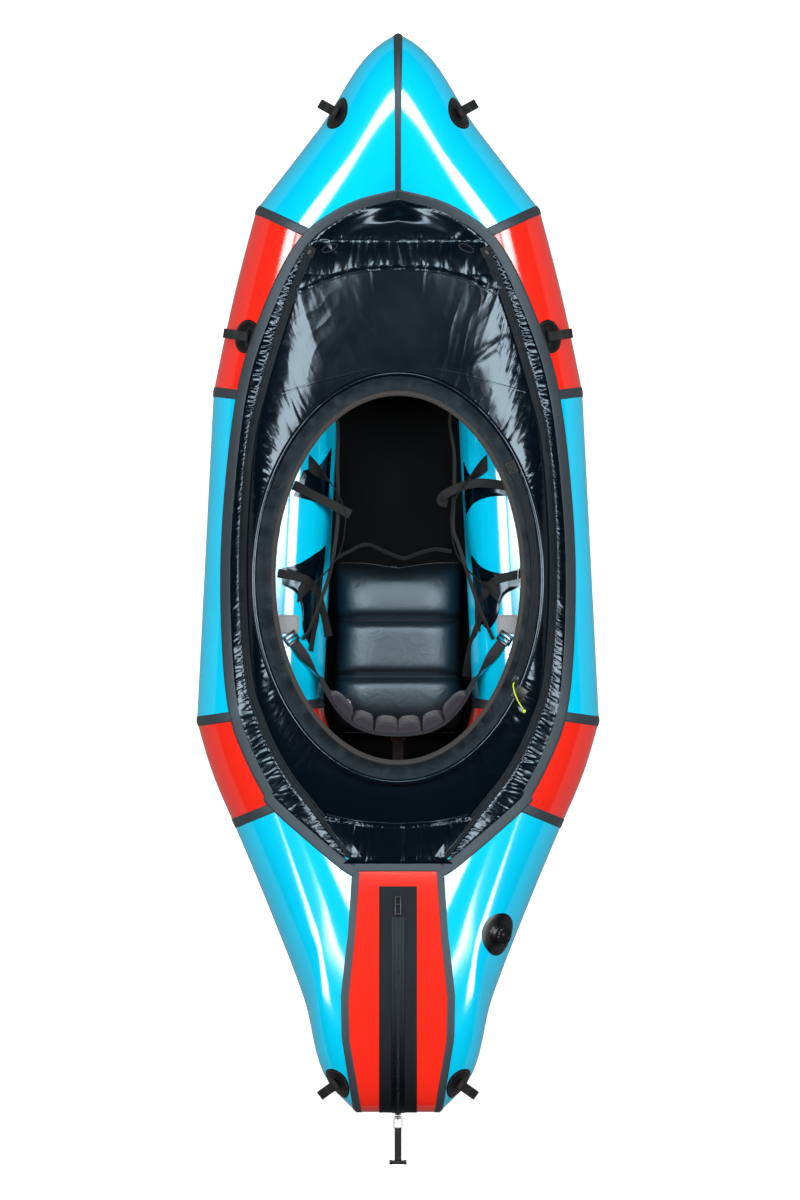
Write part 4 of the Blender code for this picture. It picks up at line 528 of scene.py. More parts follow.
def inset_line(line, distance):
    """A plan line moved to its inboard side by a distance, with mitred corners."""
    runs = np.diff(line, axis=0)
    normals = unit_rows(np.stack([runs[:, 1], -runs[:, 0]], axis=1))
    normals = np.concatenate([normals[:1], normals, normals[-1:]])
    crossings = [mitre(a, b) for a, b in zip(normals, normals[1:])]
    return line + distance * np.array(crossings)


def between_heights(line, high, low):
    """The stretch of a line that runs aft between two places along the boat."""
    falling = line[::-1]
    ends = [np.array([(np.interp(y, falling[:, 1], falling[:, 0]), y)]) for y in (high, low)]
    inside = line[(line[:, 1] < high) & (line[:, 1] > low)]
    return np.concatenate([ends[0], inside, ends[1]])


def across(half):
    """A right half line from the centre outwards, made whole from right to left."""
    return np.concatenate([half[::-1], half[1:] * np.array((-1, *[1] * (half.shape[1] - 1)))])


def turns_round(count):
    """Even turns round a circle."""
    return np.arange(count) * 2 * math.pi / count


def linked(name, data):
    """A new object of the scene."""
    made = bpy.data.objects.new(name, data)
    bpy.context.scene.collection.objects.link(made)
    return made


def add_mesh(name, corners, faces, weave=None, sharp=50):
    """A piece of plain mesh with its faces turned outwards, and a weave map where it has one."""
    mesh = bpy.data.meshes.new(name)
    mesh.from_pydata(np.asarray(corners, float).tolist(), [], [tuple(map(int, face)) for face in faces])
    shape = bmesh.new()
    shape.from_mesh(mesh)
    bmesh.ops.recalc_face_normals(shape, faces=shape.faces)
    shape.to_mesh(mesh)
    shape.free()
    if weave is not None:
        layer = mesh.uv_layers.new(name="weave")
        corner_of = np.zeros(len(mesh.loops), int)
        mesh.loops.foreach_get("vertex_index", corner_of)
        layer.data.foreach_set("uv", np.asarray(weave, float)[corner_of].ravel())
    mesh.shade_smooth()
    mesh.set_sharp_from_angle(angle=math.radians(sharp))
    return linked(name, mesh)


def grid_faces(rows, columns, closed_rows=False, closed_columns=False):
    """The four-sided faces of a grid of corners."""
    i, j = np.meshgrid(
        np.arange(rows if closed_rows else rows - 1),
        np.arange(columns if closed_columns else columns - 1), indexing="ij",
    )
    after, beside = (i + 1) % rows * columns, (j + 1) % columns
    return np.stack([i * columns + j, after + j, after + beside, i * columns + beside], -1).reshape(-1, 4)


def tube_faces(rows, sides):
    """The faces of a tube of rings, closed at both ends."""
    ends = [tuple(range(sides)), tuple((rows - 1) * sides + i for i in range(sides))]
    return [tuple(face) for face in grid_faces(rows, sides, closed_columns=True)] + ends


def slab(name, upper, lower, closed_rows=False, closed_columns=False, weave=None):
    """A closed body between two grids of points."""
    rows, columns = upper.shape[:2]
    under = rows * columns
    top = grid_faces(rows, columns, closed_rows, closed_columns)
    faces = [top, under + top[:, ::-1]]
    if not closed_columns:
        for column in (0, columns - 1):
            edge = np.arange(rows) * columns + column
            edge = np.append(edge, edge[0]) if closed_rows else edge
            faces.append(np.stack([edge[:-1], under + edge[:-1], under + edge[1:], edge[1:]], -1))
    if not closed_rows:
        for row in (0, rows - 1):
            edge = row * columns + np.arange(columns)
            edge = np.append(edge, edge[0]) if closed_columns else edge
            faces.append(np.stack([edge[:-1], edge[1:], under + edge[1:], under + edge[:-1]], -1))
    corners = np.concatenate([upper.reshape(-1, 3), lower.reshape(-1, 3)])
    if weave is not None:
        weave = np.tile(np.asarray(weave).reshape(-1, 2), (2, 1))
    return add_mesh(name, corners, np.concatenate(faces), weave)


def frames_along(line, up=(0, 0, 1)):
    """Tangent, side and normal at each point of a line, with the normal near to up."""
    tangents = unit_rows(np.gradient(line, axis=0))
    sides = unit_rows(np.cross(np.broadcast_to(up, line.shape), tangents))
    return tangents, sides, np.cross(tangents, sides)


def cord_body(name, line, radius, sides=10, up=(0, 0, 1)):
    """A round cord along a line, with closed domed ends; radius may change along it."""
    tangents, across_line, normals = frames_along(line, up)
    radii = np.broadcast_to(radius, len(line)).astype(float)
    first, last = line[0] - tangents[0] * radii[0] / 2, line[-1] + tangents[-1] * radii[-1] / 2
    line = np.concatenate([[first], line, [last]])
    radii = np.concatenate([[radii[0] / 2], radii, [radii[-1] / 2]])
    across_line, normals = [np.concatenate([a[:1], a, a[-1:]])[:, None] for a in (across_line, normals)]
    turns = turns_round(sides)
    c, s = np.cos(turns)[None, :, None], np.sin(turns)[None, :, None]
    rings = line[:, None] + radii[:, None, None] * (c * across_line + s * normals)
    rows = len(line)
    weave = np.stack([np.repeat(lengths_along(line), sides), np.tile(turns * radii.max(), rows)], axis=1)
    return add_mesh(name, rings.reshape(-1, 3), tube_faces(rows, sides), weave)


def webbing(name, line, halves, thickness):
    """A flat woven strap along a line; halves are the vectors from its middle to an edge."""
    line, halves = np.array(line, float), np.array(np.broadcast_to(halves, np.shape(line)), float)
    normals = unit_rows(np.cross(halves, np.gradient(line, axis=0)))
    walls = [np.stack([line + halves * reach + normals * (way * thickness / 2 * high)
                       for reach, high in WEBBING_SECTION], axis=1) for way in (1, -1)]
    reaches = np.array([reach for reach, _ in WEBBING_SECTION])
    along = np.repeat(lengths_along(line)[:, None], len(reaches), 1)
    weave = np.stack([along, np.linalg.norm(halves, axis=1)[:, None] * reaches], axis=-1)
    return slab(name, *walls, weave=weave)


def turned(name, profile, sides=48, lobes=0, lobe_depth=0.0):
    """A turned body about Z from (radius, level) points, with finger lobes where it has them."""
    turns = turns_round(sides)
    rings = []
    for radius, level, *lobed in profile:
        reach = radius - lobe_depth * (0.5 - 0.5 * np.cos(turns * lobes)) * (lobed[0] if lobed else 0)
        rings.append(np.stack([reach * np.cos(turns), reach * np.sin(turns), 0 * turns + level], axis=1))
    return add_mesh(name, np.concatenate(rings), tube_faces(len(rings), sides), sharp=40)


def rounded_block(name, size, radius):
    """A moulded block about the origin, with rounded edges."""
    mesh = bpy.data.meshes.new(name)
    shape = bmesh.new()
    bmesh.ops.create_cube(shape, size=1)
    bmesh.ops.scale(shape, vec=size, verts=shape.verts)
    bmesh.ops.bevel(shape, geom=shape.edges, offset=radius, segments=3, profile=0.5, affect="EDGES")
    shape.to_mesh(mesh)
    shape.free()
    mesh.shade_smooth()
    return linked(name, mesh)


def placed(piece, matrix):
    """A piece whose mesh is moved by a matrix."""
    piece.data.transform(matrix)
    return piece


def joined(name, pieces):
    """Several meshes as one piece; their finishes stay on their own faces."""
    mesh = bpy.data.meshes.new(name)
    shape = bmesh.new()
    finishes = []
    for piece in pieces:
        start = len(shape.faces)
        shape.from_mesh(piece.data)
        shape.faces.ensure_lookup_table()
        for material in piece.data.materials:
            if material not in finishes:
                finishes.append(material)
        if piece.data.materials:
            index = finishes.index(piece.data.materials[0])
            for face in shape.faces[start:]:
                face.material_index = index
        bpy.data.objects.remove(piece)
    shape.to_mesh(mesh)
    shape.free()
    for finish in finishes:
        mesh.materials.append(finish)
    return linked(name, mesh)


# Hull


def lift(y):
    """How far the rocker raises the hull at a place along its length."""
    bow_start = ORIGIN_Y + BOW_RISE_START_SHARE * HALF_LENGTH
    stern_start = ORIGIN_Y + STERN_RISE_START_SHARE * HALF_LENGTH
    bow = np.clip((y - bow_start) / (ORIGIN_Y + HALF_LENGTH - bow_start), 0, None)
    stern = np.clip((stern_start - y) / (stern_start - ORIGIN_Y + HALF_LENGTH), 0, None)
    return BOW_RISE * bow**2 + STERN_RISE * stern**2


def outward(direction):
    """The plan normal of a tube that runs aft on the right side."""
    direction = unit(direction)
    return np.array((-direction[1], direction[0]))


def seam_half_width(y):
    """Half the stern panel's width where its side seams lie at a place along the tail."""
    along = (TAIL_Y + TAIL_SEMI_LENGTH - y) / (2 * TAIL_SEMI_LENGTH)
    places, widths = zip(*STERN_SEAM_SHARES)
    return np.interp(along, places, widths) * STERN_PANEL_WIDTH / 2


def pattern_rings(height):
    """The rings that the right tube's panels are cut to, nose to stern seam, at a height over its skin."""
    radius = TUBE_RADIUS + height
    turn = turns_round(AROUND)
    out, up = radius * np.cos(turn), radius * np.sin(turn)
    nose = np.array((0, NOSE_AXIS_Y))
    seam_1_x = SEAM_1_X_SHARE * AXIS_HALF_BEAM
    seams = [np.array((seam_1_x, NOSE_AXIS_Y - seam_1_x / math.tan(BOW_ANGLE)))]
    for x_share, y_share in (SEAM_2_SHARES, SEAM_3_SHARES, SEAM_4_SHARES):
        seams.append(np.array((x_share * AXIS_HALF_BEAM, ORIGIN_Y + y_share * HALF_LENGTH)))
    nose_y = nose[1] + out / math.sin(BOW_ANGLE)
    nose_ring = np.stack([0 * out, nose_y - NOSE_ROUNDING * np.clip(out, 0, None) / radius], axis=1)
    shoulder = np.stack([0 * out + NOSE_SHOULDER, nose_y - NOSE_SHOULDER / math.tan(BOW_ANGLE)], axis=1)
    runs = [seams[0] - nose] + [b - a for a, b in zip(seams, seams[1:])]
    normals = [outward(run) for run in runs]
    normals.append(np.array((math.cos(STERN_ANGLE), -math.sin(STERN_ANGLE))))
    crossings = [mitre(a, b) for a, b in zip(normals, normals[1:])]
    ring_1, ring_2, ring_3, ring_4 = [
        seam + np.outer(out, crossing) for seam, crossing in zip(seams, crossings)
    ]
    tail_y = TAIL_Y - (TAIL_SEMI_LENGTH + height) * np.cos(turn)
    tail = np.stack([seam_half_width(tail_y), tail_y], axis=1)
    outer_side = np.clip(out, 0, None)[:, None] / TUBE_RADIUS
    tail_rings = [
        ring_4 + (tail - ring_4) * along + bulge * TAIL_CORNER * outer_side * normals[-1]
        for along, bulge in TAIL_RING_SHARES
    ]
    bow_middle = (shoulder + ring_1) / 2
    front_middle = (ring_1 + ring_2) / 2 + FRONT_BULGE * outer_side * normals[1]
    rear_middle = (ring_3 + ring_4) / 2 + REAR_BULGE * normals[3]
    shoulder = shoulder + NOSE_FULLNESS * outer_side * normals[0]
    plans = [
        nose_ring, shoulder, bow_middle, ring_1, front_middle, ring_2, ring_2 + (ring_3 - ring_2) / 3,
        ring_2 + (ring_3 - ring_2) * 2 / 3, ring_3, rear_middle, ring_4, *tail_rings, tail,
    ]
    rings = [np.column_stack([ring, AXIS_HEIGHT + up + lift(ring[:, 1])]) for ring in plans]
    return np.array(rings)


def smooth_rings(rings):
    """Fine rings that run on a smooth curve through each panel's own rings."""
    rows = [rings[:1]]
    for first, last, _ in PANEL_SPANS.values():
        span = rings[first:last + 1]
        chords = np.maximum(np.linalg.norm(np.diff(span, axis=0), axis=2, keepdims=True), 1e-5)
        slopes = np.diff(span, axis=0) / chords
        inner = (slopes[:-1] * chords[1:] + slopes[1:] * chords[:-1]) / (chords[1:] + chords[:-1])
        ends = [slopes[:1], slopes[-1:]]
        if len(inner):
            ends = [(3 * slopes[:1] - inner[:1]) / 2, (3 * slopes[-1:] - inner[-1:]) / 2]
        tangents = np.concatenate([ends[0], inner, ends[1]])
        for i in range(last - first):
            for step in range(1, RING_STEPS + 1):
                t = step / RING_STEPS
                row = ((2 * t**3 - 3 * t**2 + 1) * span[i] + (3 * t**2 - 2 * t**3) * span[i + 1]
                       + chords[i] * ((t**3 - 2 * t**2 + t) * tangents[i] + (t**3 - t**2) * tangents[i + 1]))
                rows.append(row[None])
    return np.concatenate(rows)


def grid_normals(grid):
    """Outward normals of a tube given as fine rings."""
    along = np.gradient(grid, axis=0)
    round_it = np.roll(grid, -1, axis=1) - np.roll(grid, 1, axis=1)
    normals = np.cross(round_it, along)
    normals /= np.maximum(np.linalg.norm(normals, axis=2, keepdims=True), 1e-9)
    out = grid - grid.mean(axis=1, keepdims=True)
    return normals * np.sign(np.sum(normals * out, axis=2, keepdims=True))


skin = smooth_rings(pattern_rings(0))
skin_normals = grid_normals(skin)
skin_loop = np.concatenate([skin, mirrored(skin)[::-1]])
normal_loop = np.concatenate([skin_normals, mirrored(skin_normals)[::-1]])
hull_tree = BVHTree.FromPolygons(
    skin_loop.reshape(-1, 3).tolist(),
    grid_faces(len(skin_loop), AROUND, closed_columns=True).tolist(),
)


def drape(x, y, height=0.0):
    """The point over the hull's upper skin at a plan point, and its normal, or None beside the tubes."""
    spot, normal, _, _ = hull_tree.ray_cast(Vector((x, y, 1)), Vector((0, 0, -1)))
    if spot is None:
        return None
    normal = normal if normal.z > 0 else -normal
    return np.array(spot + normal * height), np.array(normal)


def draped(points, height):
    """Plan points laid on the hull; heights may differ from point to point."""
    shape = points.shape[:-1]
    heights = np.broadcast_to(height, shape).ravel()
    laid = []
    for (x, y), high in zip(points.reshape(-1, 2), heights):
        found = drape(x, y, high)
        laid.append(found[0] if found else (x, y, DECK_TOP + lift(y) + high))
    return np.array(laid).reshape(*shape, 3)


def carried_across(wall, columns):
    """A line on the right side carried across the boat in so many columns."""
    shares = np.linspace(1, -1, columns)[:, None, None]
    return np.concatenate([wall[None, :, :1] * shares, np.repeat(wall[None, :, 1:], columns, axis=0)], axis=2)


def hull_panels():
    """The inflated skins of the tubes, panel by panel."""
    for name, (first, last, finish) in PANEL_SPANS.items():
        rows = slice(first * RING_STEPS, last * RING_STEPS + 1)
        walls = [skin[rows], skin[rows] - skin_normals[rows] * PANEL_WALL]
        for side, turn in SIDES:
            panel = slab(f"{name}_film_{side}", *map(turn, walls), closed_columns=True)
            dressed(panel, finish, replaces=[f"{name}_{side}"])
    tail, tail_normals = skin[-1], unit_rows(skin_normals[-1] * np.array((0, 1, 1)))
    walls = [carried_across(wall, STERN_COLUMNS) for wall in (tail, tail - tail_normals * PANEL_WALL)]
    panel = slab("stern_centre_film", *walls, closed_columns=True)
    dressed(panel, "hull_red", replaces=["stern_centre_panel"])


def floor_sheet():
    """The black floor under the tubes, wrapped a little way up their outer sides."""
    wrap = range(AROUND * 5 // 6, AROUND * 3 // 4 - 1, -2)
    strip = (skin_loop + normal_loop * CLEARANCE)[:, list(wrap)]
    fill = carried_across(strip[:len(skin), -1], FLOOR_COLUMNS).transpose(1, 0, 2)
    strip_faces = grid_faces(*strip.shape[:2], closed_rows=True)
    faces = np.concatenate([strip_faces, strip.shape[0] * strip.shape[1] + grid_faces(*fill.shape[:2])])
    corners = np.concatenate([strip.reshape(-1, 3), fill.reshape(-1, 3)])
    floor = add_mesh("floor_cloth", corners, faces)
    shape = bmesh.new()
    shape.from_mesh(floor.data)
    bmesh.ops.remove_doubles(shape, verts=shape.verts, dist=CLEARANCE / 3)
    bmesh.ops.recalc_face_normals(shape, faces=shape.faces)
    shape.to_mesh(floor.data)
    shape.free()
    wall = floor.modifiers.new("wall", "SOLIDIFY")
    wall.thickness = FLOOR_THICKNESS - CLEARANCE
    wall.offset = -1
    dressed(floor, "floor_black", replaces=["floor_sheet"])


# Tapes


def taped(loop, normals, row, turns, width):
    """The two walls of a tape of even width along one row of a tube's fine rings."""
    first, last = [round(turn / 360 * AROUND) for turn in turns]
    walls = [[], []]
    reach = RING_STEPS * 3
    rows = np.arange(row - reach, row + reach + 1) % len(loop)
    for column in range(first, last + 1):
        line, up = loop[rows, column % AROUND], normals[rows, column % AROUND]
        places = lengths_along(line)
        middle = places[reach]
        for wall, level in ((walls[0], TAPE_THICKNESS), (walls[1], 0)):
            ring = []
            for share, high in TAPE_SECTION:
                place = middle + share * width / 2
                spot, normal = [np.array([np.interp(place, places, part) for part in table.T])
                                for table in (line, up)]
                ring.append(spot + unit(normal) * (TAPE_LIFT + level * high))
            wall.append(ring)
    return [np.array(wall) for wall in walls]


def strip_weave(walls):
    """A weave map for a strip: along it and across it, in metres."""
    upper = walls[0]
    along = lengths_along(upper[:, upper.shape[1] // 2])
    over = lengths_along(upper[len(upper) // 2])
    return np.stack(np.meshgrid(along, over - over.mean(), indexing="ij"), axis=-1)


def woven(name, walls, finish, **more):
    """A dressed strip between two walls, with a weave map along it."""
    return dressed(slab(name, *walls, weave=strip_weave(walls)), finish, **more)


def draped_walls(plans, upper, lower, turn=np.array):
    """The two walls of a sheet laid on the hull."""
    return [turn(draped(plans, height)) for height in (upper, lower)]


def seam_tapes():
    """The tapes round the tubes, down the bow and the stern, and along the deck's edge."""
    rows = {ring * RING_STEPS: RING_TAPE_TURNS for ring in SEAM_RINGS[:-1]}
    rows[SEAM_RINGS[-1] * RING_STEPS] = STERN_RING_TURNS
    rows[LAST_RING * RING_STEPS] = STERN_SEAM_TURNS
    outer, inner = tape_edge(0), tape_edge(EDGE_TAPE_WIDTH)
    plans = np.stack([outer + (inner - outer) * ((1 + share) / 2) for share, _ in TAPE_SECTION], axis=1)
    highs = np.array([high for _, high in TAPE_SECTION])
    for side, turn in SIDES:
        for number, (row, turns) in enumerate(rows.items()):
            walls = taped(skin_loop, normal_loop, row, turns, SEAM_TAPE_WIDTH)
            woven(f"seam_tape_{side}_{number}", list(map(turn, walls)), "tape_grey")
        walls = draped_walls(plans, EDGE_TAPE_LIFT + EDGE_TAPE_THICKNESS * highs, TAPE_LIFT, turn)
        woven(f"deck_edge_tape_{side}", walls, "tape_grey", replaces=[f"seam_tapes_{side}"])
    walls = taped(skin_loop, normal_loop, 0, BOW_TAPE_TURNS, SEAM_TAPE_WIDTH)
    woven("bow_centre_tape", walls, "tape_grey", replaces=["bow_seam_tape"])


def tape_edge(inset):
    """The right half of the perimeter tape's edge, from the bow's centre to the stern's."""
    smooth = planned(TAPE_EDGE_SHARES, 3)
    smooth[0][0] = 0
    rear = [plan(share) for share in TAPE_REAR_SHARES]
    line = inset_line(np.concatenate([smooth, rear]), inset)
    line[0][0] = line[-1][0] = 0
    places = np.linspace(0, 1, EDGE_STEPS) * (len(line) - 1)
    fine = smooth_line(line, 16)
    return np.stack([np.interp(places * 16, np.arange(len(fine)), column) for column in fine.T], axis=1)


def deck_zip_line(offset):
    """The right deck zip's centre line, moved inboard by an offset."""
    return inset_line(planned(DECK_ZIP_SHARES, 12), offset)


# Gathers


def gathers(places, distances, seed, pitch, reach, depth, slant):
    """How far cloth stands up between puckers that run in from a sewn edge.

    places are along the edge and distances are from it, in metres. pitch, reach and depth are
    (least, most) pairs for the space between puckers, their length and the height between them.
    """
    random = np.random.default_rng(seed)
    span = places.max() + pitch[1]
    marks = np.cumsum(random.uniform(*pitch, int(span / pitch[0]) + 4)) - pitch[1] * 2
    leans = random.uniform(-slant, slant, len(marks))
    lengths = random.uniform(*reach, len(marks))
    heights = random.uniform(*depth, len(marks))
    shifted = places + np.interp(places, marks, leans) * distances
    index = np.clip(np.searchsorted(marks, shifted) - 1, 0, len(marks) - 2)
    share = np.clip((shifted - marks[index]) / (marks[index + 1] - marks[index]), 0, 1)
    puff = np.sin(math.pi * share) ** PUFF_POWER
    fade = np.clip(1 - distances / lengths[index], 0, 1) ** FADE_POWER
    return heights[index] * puff * fade * np.clip(distances / PUFF_RISE, 0, 1)


def folds(x, y, table):
    """Long soft folds in taut cloth: (start share, end share, height, half width) in plan."""
    total = np.zeros_like(x)
    for start, end, height, width in table:
        a, b = np.array(plan(start)), np.array(plan(end))
        run = b - a
        along = np.clip(((x - a[0]) * run[0] + (y - a[1]) * run[1]) / (run @ run), 0, 1)
        gap = np.hypot(x - a[0] - along * run[0], y - a[1] - along * run[1])
        total += height * np.exp(-(gap / width) ** 2) * np.sin(math.pi * np.clip(along, 0.02, 0.98)) ** 0.5
    return total


# Deck


def lowest_levels(points, gap):
    """The level at which deck points would touch the hull, raised by a gap."""
    shape = points.shape[:-1]
    gaps = np.broadcast_to(gap, shape).ravel()
    levels = []
    for (x, y), clear in zip(points.reshape(-1, 2), gaps):
        found = drape(x, y)
        rise = (DECK_LIFT + clear) / max(found[1][2], LEAST_SLOPE) if found else 0
        levels.append(found[0][2] + rise if found else -1)
    return np.array(levels).reshape(shape)


def taut_levels(line):
    """Levels of a welt or edge across the boat: taut between the tubes, and on the hull at its ends."""
    end_x, end_y = line[np.abs(line[:, 0]).argmax()]
    end_level = drape(end_x, end_y, DECK_LIFT)[0][2]
    share = (line[:, 0] / end_x) ** 4
    level = (DECK_TOP + lift(line[:, 1])) * (1 - share) + end_level * share
    return np.maximum(level, lowest_levels(line, 0))


def cloth_body(name, plans, levels, **more):
    """A deck sheet from plan points and levels of its underside."""
    under = np.concatenate([plans, levels[..., None]], axis=-1)
    return slab(name, under + np.array((0, 0, DECK_THICKNESS)), under, **more)


def sheet_between(first, last, shares):
    """A grid of plan points between two lines."""
    return first[:, None] + (last - first)[:, None] * shares[None, :, None]


def deck_borders():
    """Puckered strips between the perimeter tape and the zips."""
    high, low = [ORIGIN_Y + share * HALF_LENGTH for share in BORDER_SPAN_SHARES]
    edges = tape_edge(EDGE_TAPE_WIDTH - BORDER_LAP), deck_zip_line(BORDER_LAP - DECK_ZIP_WIDTH / 2)
    outer, inner = [resampled(between_heights(edge, high, low), BORDER_STEPS) for edge in edges]
    shares = np.linspace(0, 1, BORDER_COLUMNS)
    plans = sheet_between(outer, inner, shares)
    widths = np.linalg.norm(inner - outer, axis=1)
    places = np.repeat(lengths_along((inner + outer) / 2)[:, None], BORDER_COLUMNS, 1)
    from_zip, from_tape = widths[:, None] * (1 - shares), widths[:, None] * shares
    for side, turn in SIDES:
        seed = BORDER_SEEDS[side]
        puffs = (gathers(places, from_zip, seed, *BORDER_ZIP_GATHERS)
                 + gathers(places, from_tape, seed + TAPE_SEED_STEP, *BORDER_TAPE_GATHERS))
        puffs = puffs * np.sin(math.pi * np.clip(shares, 0.03, 0.97)) ** 0.4
        walls = draped_walls(plans, DECK_LIFT + DECK_THICKNESS + puffs, DECK_LIFT + puffs, turn)
        strip = dressed(slab(f"deck_strip_{side}", *walls), "deck_black", replaces=[f"deck_border_{side}"])


def deck_zips():
    """Taped coil zips along both sides of the deck."""
    line = resampled(deck_zip_line(0), ZIP_STEPS)
    edges = [resampled(deck_zip_line(share * DECK_ZIP_WIDTH / 2), ZIP_STEPS) for share, _ in ZIP_SECTION]
    plans = np.stack(edges, axis=1)
    heights = np.array([height for _, height in ZIP_SECTION])
    for side, turn in SIDES:
        walls = draped_walls(plans, DECK_LIFT + DECK_THICKNESS + heights, DECK_LIFT, turn)
        woven(f"deck_zip_tape_{side}", walls, "zip_tape", replaces=[f"deck_zip_{side}"])
        middle = turn(draped(line, DECK_LIFT + DECK_THICKNESS + heights.max()))
        sewn_row(f"deck_zip_teeth_{side}", middle, "deck_zip_teeth", "zip_teeth")


def welt_lines():
    """The right halves of the front and rear welts, out to the zip."""
    falling = deck_zip_line(DECK_ZIP_WIDTH / 2 - ZIP_LAP)[::-1]
    welts = []
    for shares in (FRONT_WELT_SHARES, REAR_WELT_SHARES):
        line = planned(shares, 8)
        line[-1][0] = np.interp(line[-1][1], falling[:, 1], falling[:, 0])
        welts.append(line)
    return welts


def deck_main_panel():
    """The gathered cloth between the zips, drawn up to the coaming's wall."""
    front, rear = welt_lines()
    side = between_heights(deck_zip_line(DECK_ZIP_WIDTH / 2 - ZIP_LAP), front[-1][1], rear[-1][1])
    half = np.concatenate([front[:-1], side, rear[::-1][1:]])
    closed = np.concatenate([half, (half * np.array((-1, 1)))[-2::-1]])
    outline = resampled(closed, MAIN_STEPS + 1)[:-1]
    places = lengths_along(closed)[-1] * np.arange(MAIN_STEPS) / MAIN_STEPS
    edge = []
    for x, y in outline:
        found = drape(x, y, DECK_LIFT)
        taut_level = DECK_TOP + lift(y)
        hull_level = found[0][2] if found else taut_level
        end = front[-1] if y > COAMING_Y else rear[-1]
        share = min(abs(x / end[0]), 1) ** 4
        edge.append(max(hull_level, taut_level * (1 - share) + hull_level * share) if found else taut_level)
    edge = np.array(edge)
    edge = np.maximum(edge, rolled_mean(edge, 10))
    width, length = COAMING_WIDTH / 2 - WALL_INSET, COAMING_LENGTH / 2 - WALL_INSET
    turns = np.arctan2(outline[:, 0] / width, (outline[:, 1] - COAMING_Y) / length)

    def ring(reach):
        x, y = (width + reach) * np.sin(turns), COAMING_Y + (length + reach) * np.cos(turns)
        return np.stack([x, y], axis=1)

    shelf = ring(DECK_WALL_SHELF)
    shares = np.linspace(0, 1, MAIN_COLUMNS) ** 1.1
    plans = sheet_between(outline, shelf, shares)
    levels = edge[:, None] + (DECK_WALL_HEIGHT - edge)[:, None] * (1 - (1 - shares) ** MAIN_CROWN)
    inner = np.clip(shares * 3, 0, 1)
    levels = rolled_mean(levels, MAIN_BLEND) * inner + levels * (1 - inner)
    reach = np.linalg.norm(shelf - outline, axis=1)[:, None]
    spots = np.repeat(places[:, None], MAIN_COLUMNS, 1)
    x, y = plans[..., 0], plans[..., 1]
    strength = gather_strength(x, y)
    puffs = sum(strength * gathers(spots, reach * shares, *table) for table in MAIN_EDGE_GATHERS)
    puffs += (0.3 + strength) * gathers(spots, reach * (1 - shares), *MAIN_WALL_GATHERS)
    puffs += folds(x, y, MAIN_FOLDS)
    levels = np.maximum(levels, lowest_levels(plans, DECK_REST_GAP * np.clip(shares * 6, 0, 1))) + puffs
    levels[:, -1] = DECK_WALL_HEIGHT
    plans = np.concatenate([plans, ring(-WALL_THICKNESS)[:, None]], axis=1)
    levels = np.concatenate([levels, np.full((MAIN_STEPS, 1), DECK_WALL_HEIGHT)], axis=1)
    panel = cloth_body("deck_main_cloth", plans, levels, closed_rows=True)
    dressed(panel, "deck_black", replaces=["deck_main_panel"])
    return panel


def rolled_mean(rows, reach):
    """Rows evened out with their neighbours round a closed loop."""
    weights = np.cos(np.linspace(-math.pi / 2, math.pi / 2, 2 * reach + 3)[1:-1])
    shifts = range(-reach, reach + 1)
    total = sum(weight * np.roll(rows, shift, axis=0) for weight, shift in zip(weights, shifts))
    return total / weights.sum()


def gather_strength(x, y):
    """Where the main panel's gathers are strong: inboard of the right zip, and aft on the left."""
    right, left = [np.interp(y, *zip(*table)) for table in (RIGHT_STRENGTH, LEFT_STRENGTH)]
    side = np.clip(0.5 + x / 0.10, 0, 1)
    ends = np.clip((np.abs(x) - 0.13) / 0.12, 0.02, 1)
    return (right * side + left * (1 - side)) * ends


def coons(front, rear, right, left):
    """Plan points spanned between four edges: columns run from right to left, rows from front to rear."""
    v = np.linspace(0, 1, len(right))[:, None, None]
    u = np.linspace(0, 1, len(front))[None, :, None]
    corners = (1 - v) * ((1 - u) * front[0] + u * front[-1]) + v * ((1 - u) * rear[0] + u * rear[-1])
    return (1 - v) * front[None] + v * rear[None] + (1 - u) * right[:, None] + u * left[:, None] - corners


def deck_end_sheet(name, plans, levels, puffs, node):
    """A deck sheet at one end of the boat, held by the tape and by a welt."""
    panel = dressed(cloth_body(name, plans, levels + puffs), "deck_black", replaces=[node])
    return panel


